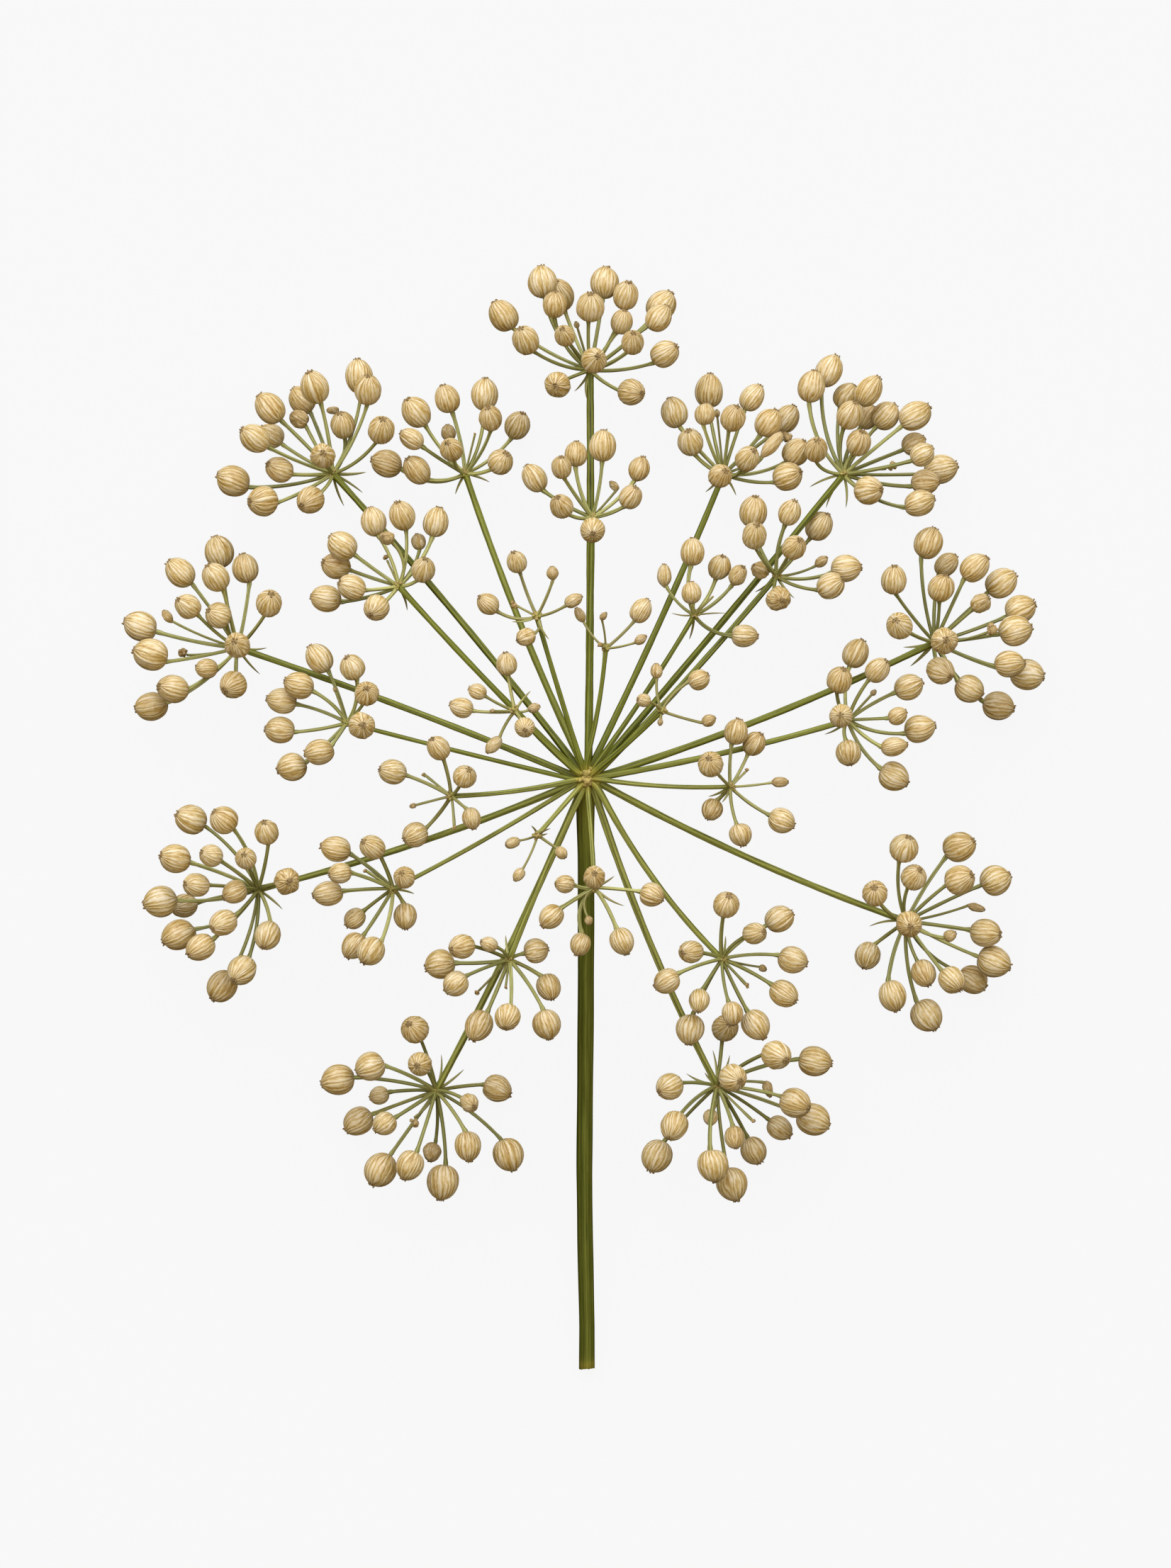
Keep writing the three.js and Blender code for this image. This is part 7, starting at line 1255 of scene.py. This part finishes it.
PALE_A, PALE_B = (0.776, 0.652, 0.412), (0.714, 0.572, 0.318)
HALF_A, HALF_B = (0.590, 0.417, 0.134), (0.534, 0.357, 0.100)
DARK_A, DARK_B = (0.372, 0.217, 0.034), (0.320, 0.172, 0.022)
FRUIT = fruit_material()
STEM = stem_material("green_stem", (0.665, 0.640, 0.215), (0.320, 0.312, 0.092), (0.074, 0.073, 0.010), (0.460, 0.400, 0.080), (0.520, 0.375, 0.130), 0.28, 0.8)
RAY_SKIN = stem_material("green_ray", (0.440, 0.438, 0.098), (0.205, 0.219, 0.014), (0.030, 0.034, 0.001), (0.390, 0.325, 0.035), (0.430, 0.320, 0.070), 0.28, 0.8)
STALK_SKIN = stem_material("green_stalk", (0.170, 0.182, 0.024), (0.147, 0.158, 0.020), (0.046, 0.052, 0.003), (0.500, 0.430, 0.062), (0.640, 0.480, 0.140), 0.12, 1.0)

# ---------------------------------------------------------------- the pieces

for number, u in UMBELLETS.items():
    node = "umbellet_%02d" % number
    seeds, stems = Skin(), Skin()
    dry = DRIED.get(number, 0.0)
    for k, f in enumerate(u["fruits"]):
        c, axis, r, h, bend, end = np.array(f[0:3]), np.array(f[3:6]), f[6], f[7], np.array(f[8:11]), np.array(f[11:14])
        shrivel, brown, shape = ODD.get((number, k), (0.7 if r < 0.65 else 0.3 if r < 1.0 else 0.0, 0.35 if r < 0.65 else 0.0, ""))
        brownish = max(dry, 0.6 if r < 0.65 and shape != "stub" else 0.25 if r < 0.9 else 0.0)
        last, lead = pedicel(stems, u["centre"], bend, end, c, axis, r, h, (number, k, 3), brownish, shape)
        if shape == "stub":
            remains(seeds, last + lead * 0.05, lead, 0.38, 0.32, (number, k, 7), 5)
        elif shape == "stick":
            remains(seeds, last, lead, 0.22, 0.25, (number, k, 7), 3)
        elif shape == "lumps":
            remains(seeds, c, axis, r * 1.1, h, (number, k, 7), 7)
        else:
            fruit(seeds, c, axis, r * SWELL, h * STRETCH, (number, k), shrivel, brown, shape)
    middle(stems, u["centre"], np.array(u["centre"]) - np.array(u["bow"]), number, dry)
    for k, tip in enumerate(u["bractlets"]):
        worn, broad = LEAVES.get((number, k), (0.0, 1.0))
        bractlet(stems, u["centre"], tip, (number, 600 + k), worn, broad)
    piece = seeds.build(node + "_fruits", FRUIT)
    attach(piece, "root"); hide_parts(node)
    piece = stems.build(node + "_stems", STEM)
    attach(piece, "root"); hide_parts(node)
    s = Skin()
    ray(s, number, u)
    piece = s.build("ray_%02d_stem" % number, RAY_SKIN)
    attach(piece, "root"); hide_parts("ray_%02d" % number)

s = Skin()
stalk(s)
hub(s)
piece = s.build("stalk_and_hub", STALK_SKIN)
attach(piece, "root"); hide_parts("stalk")

# ---------------------------------------------------------------- floor, light and camera

m = Nodes("pale_floor")
where = m.add("ShaderNodeTexCoord").outputs["Object"]
tint = m.mix(m.noise(where, 3.0, 2.0), (0.032, 0.032, 0.032), (0.035, 0.034, 0.033))
floor_material = m.shaded(tint, None, 0.9, specular=0.0)
glow = m.tree.nodes["Principled BSDF"]
glow.inputs["Emission Color"].default_value = (0.995, 0.998, 0.994, 1.0)
glow.inputs["Emission Strength"].default_value = 0.902
me = bpy.data.meshes.new("floor")
me.from_pydata([(-3, -3, 0), (3, -3, 0), (3, 3, 0), (-3, 3, 0)], [], [(0, 1, 2, 3)])
floor = bpy.data.objects.new("floor", me)
me.materials.append(floor_material)
bpy.context.scene.collection.objects.link(floor)
floor.visible_diffuse = False
floor.visible_glossy = False

world = bpy.data.worlds.new("studio")
bpy.context.scene.world = world
world.use_nodes = True
w = world.node_tree
w.nodes.clear()
direction = w.nodes.new("ShaderNodeTexCoord")
split = w.nodes.new("ShaderNodeSeparateXYZ")
w.links.new(direction.outputs["Generated"], split.inputs[0])
lean = w.nodes.new("ShaderNodeMath")
lean.operation = "MULTIPLY_ADD"
w.links.new(split.outputs["Y"], lean.inputs[0])
lean.inputs[1].default_value = 0.95
w.links.new(split.outputs["Z"], lean.inputs[2])
lift = w.nodes.new("ShaderNodeMapRange")
lift.interpolation_type = "SMOOTHSTEP"
for socket, x in zip(lift.inputs, (0.0, 0.08, 1.38, 0.03, 1.92)):
    socket.default_value = x
w.links.new(lean.outputs[0], lift.inputs[0])
sky = w.nodes.new("ShaderNodeBackground")
warm = w.nodes.new("ShaderNodeMix")
warm.data_type = "RGBA"
share = w.nodes.new("ShaderNodeMapRange")
for socket, x in zip(share.inputs, (0.0, 0.05, 1.28, 0.0, 1.0)):
    socket.default_value = x
w.links.new(lean.outputs[0], share.inputs[0])
w.links.new(share.outputs[0], warm.inputs["Factor"])
ends = [socket for socket in warm.inputs if socket.type == "RGBA"]
ends[0].default_value = (1.05, 0.67, 0.15, 1.0)
ends[1].default_value = (0.94, 1.005, 1.16, 1.0)
w.links.new([socket for socket in warm.outputs if socket.type == "RGBA"][0], sky.inputs["Color"])
w.links.new(lift.outputs[0], sky.inputs["Strength"])
out = w.nodes.new("ShaderNodeOutputWorld")
w.links.new(sky.outputs[0], out.inputs[0])


def lamp(name, place, target, size, power, colour=(1, 1, 1)):
    light = bpy.data.lights.new(name, "AREA")
    light.shape = "DISK"
    light.size = size
    light.energy = power
    light.color = colour
    ob = bpy.data.objects.new(name, light)
    ob.location = place
    from mathutils import Vector
    ob.rotation_euler = (Vector(target) - Vector(place)).to_track_quat("-Z", "Y").to_euler()
    bpy.context.scene.collection.objects.link(ob)
    return ob


lamp("key", (-0.90, 2.25, 1.88), (0, 0, 0.02), 3.0, 35.0, (0.95, 1.035, 1.34))
lamp("top", (0.0, 0.35, 1.30), (0, 0, 0.02), 1.4, 2.0)
lamp("fill", (0.45, -2.30, 0.22), (0, 0, 0.02), 1.2, 5.0, (1.0, 0.91, 0.74))

camera = bpy.data.cameras.new("camera")
camera.lens = 151.33
camera.sensor_width = 36.0
camera.sensor_fit = "AUTO"
camera.clip_start = 0.05
camera.clip_end = 20.0
camera.dof.use_dof = False
eye = bpy.data.objects.new("camera", camera)
eye.location = (0.000322, 0.005534, 1.015009)
eye.rotation_euler = (0.0, 0.0, 0.0)
bpy.context.scene.collection.objects.link(eye)
bpy.context.scene.camera = eye

view = bpy.context.scene.view_settings
view.view_transform = "Standard"
view.look = "None"
view.exposure = 0.0
view.gamma = 1.0

bpy.context.view_layer.update()
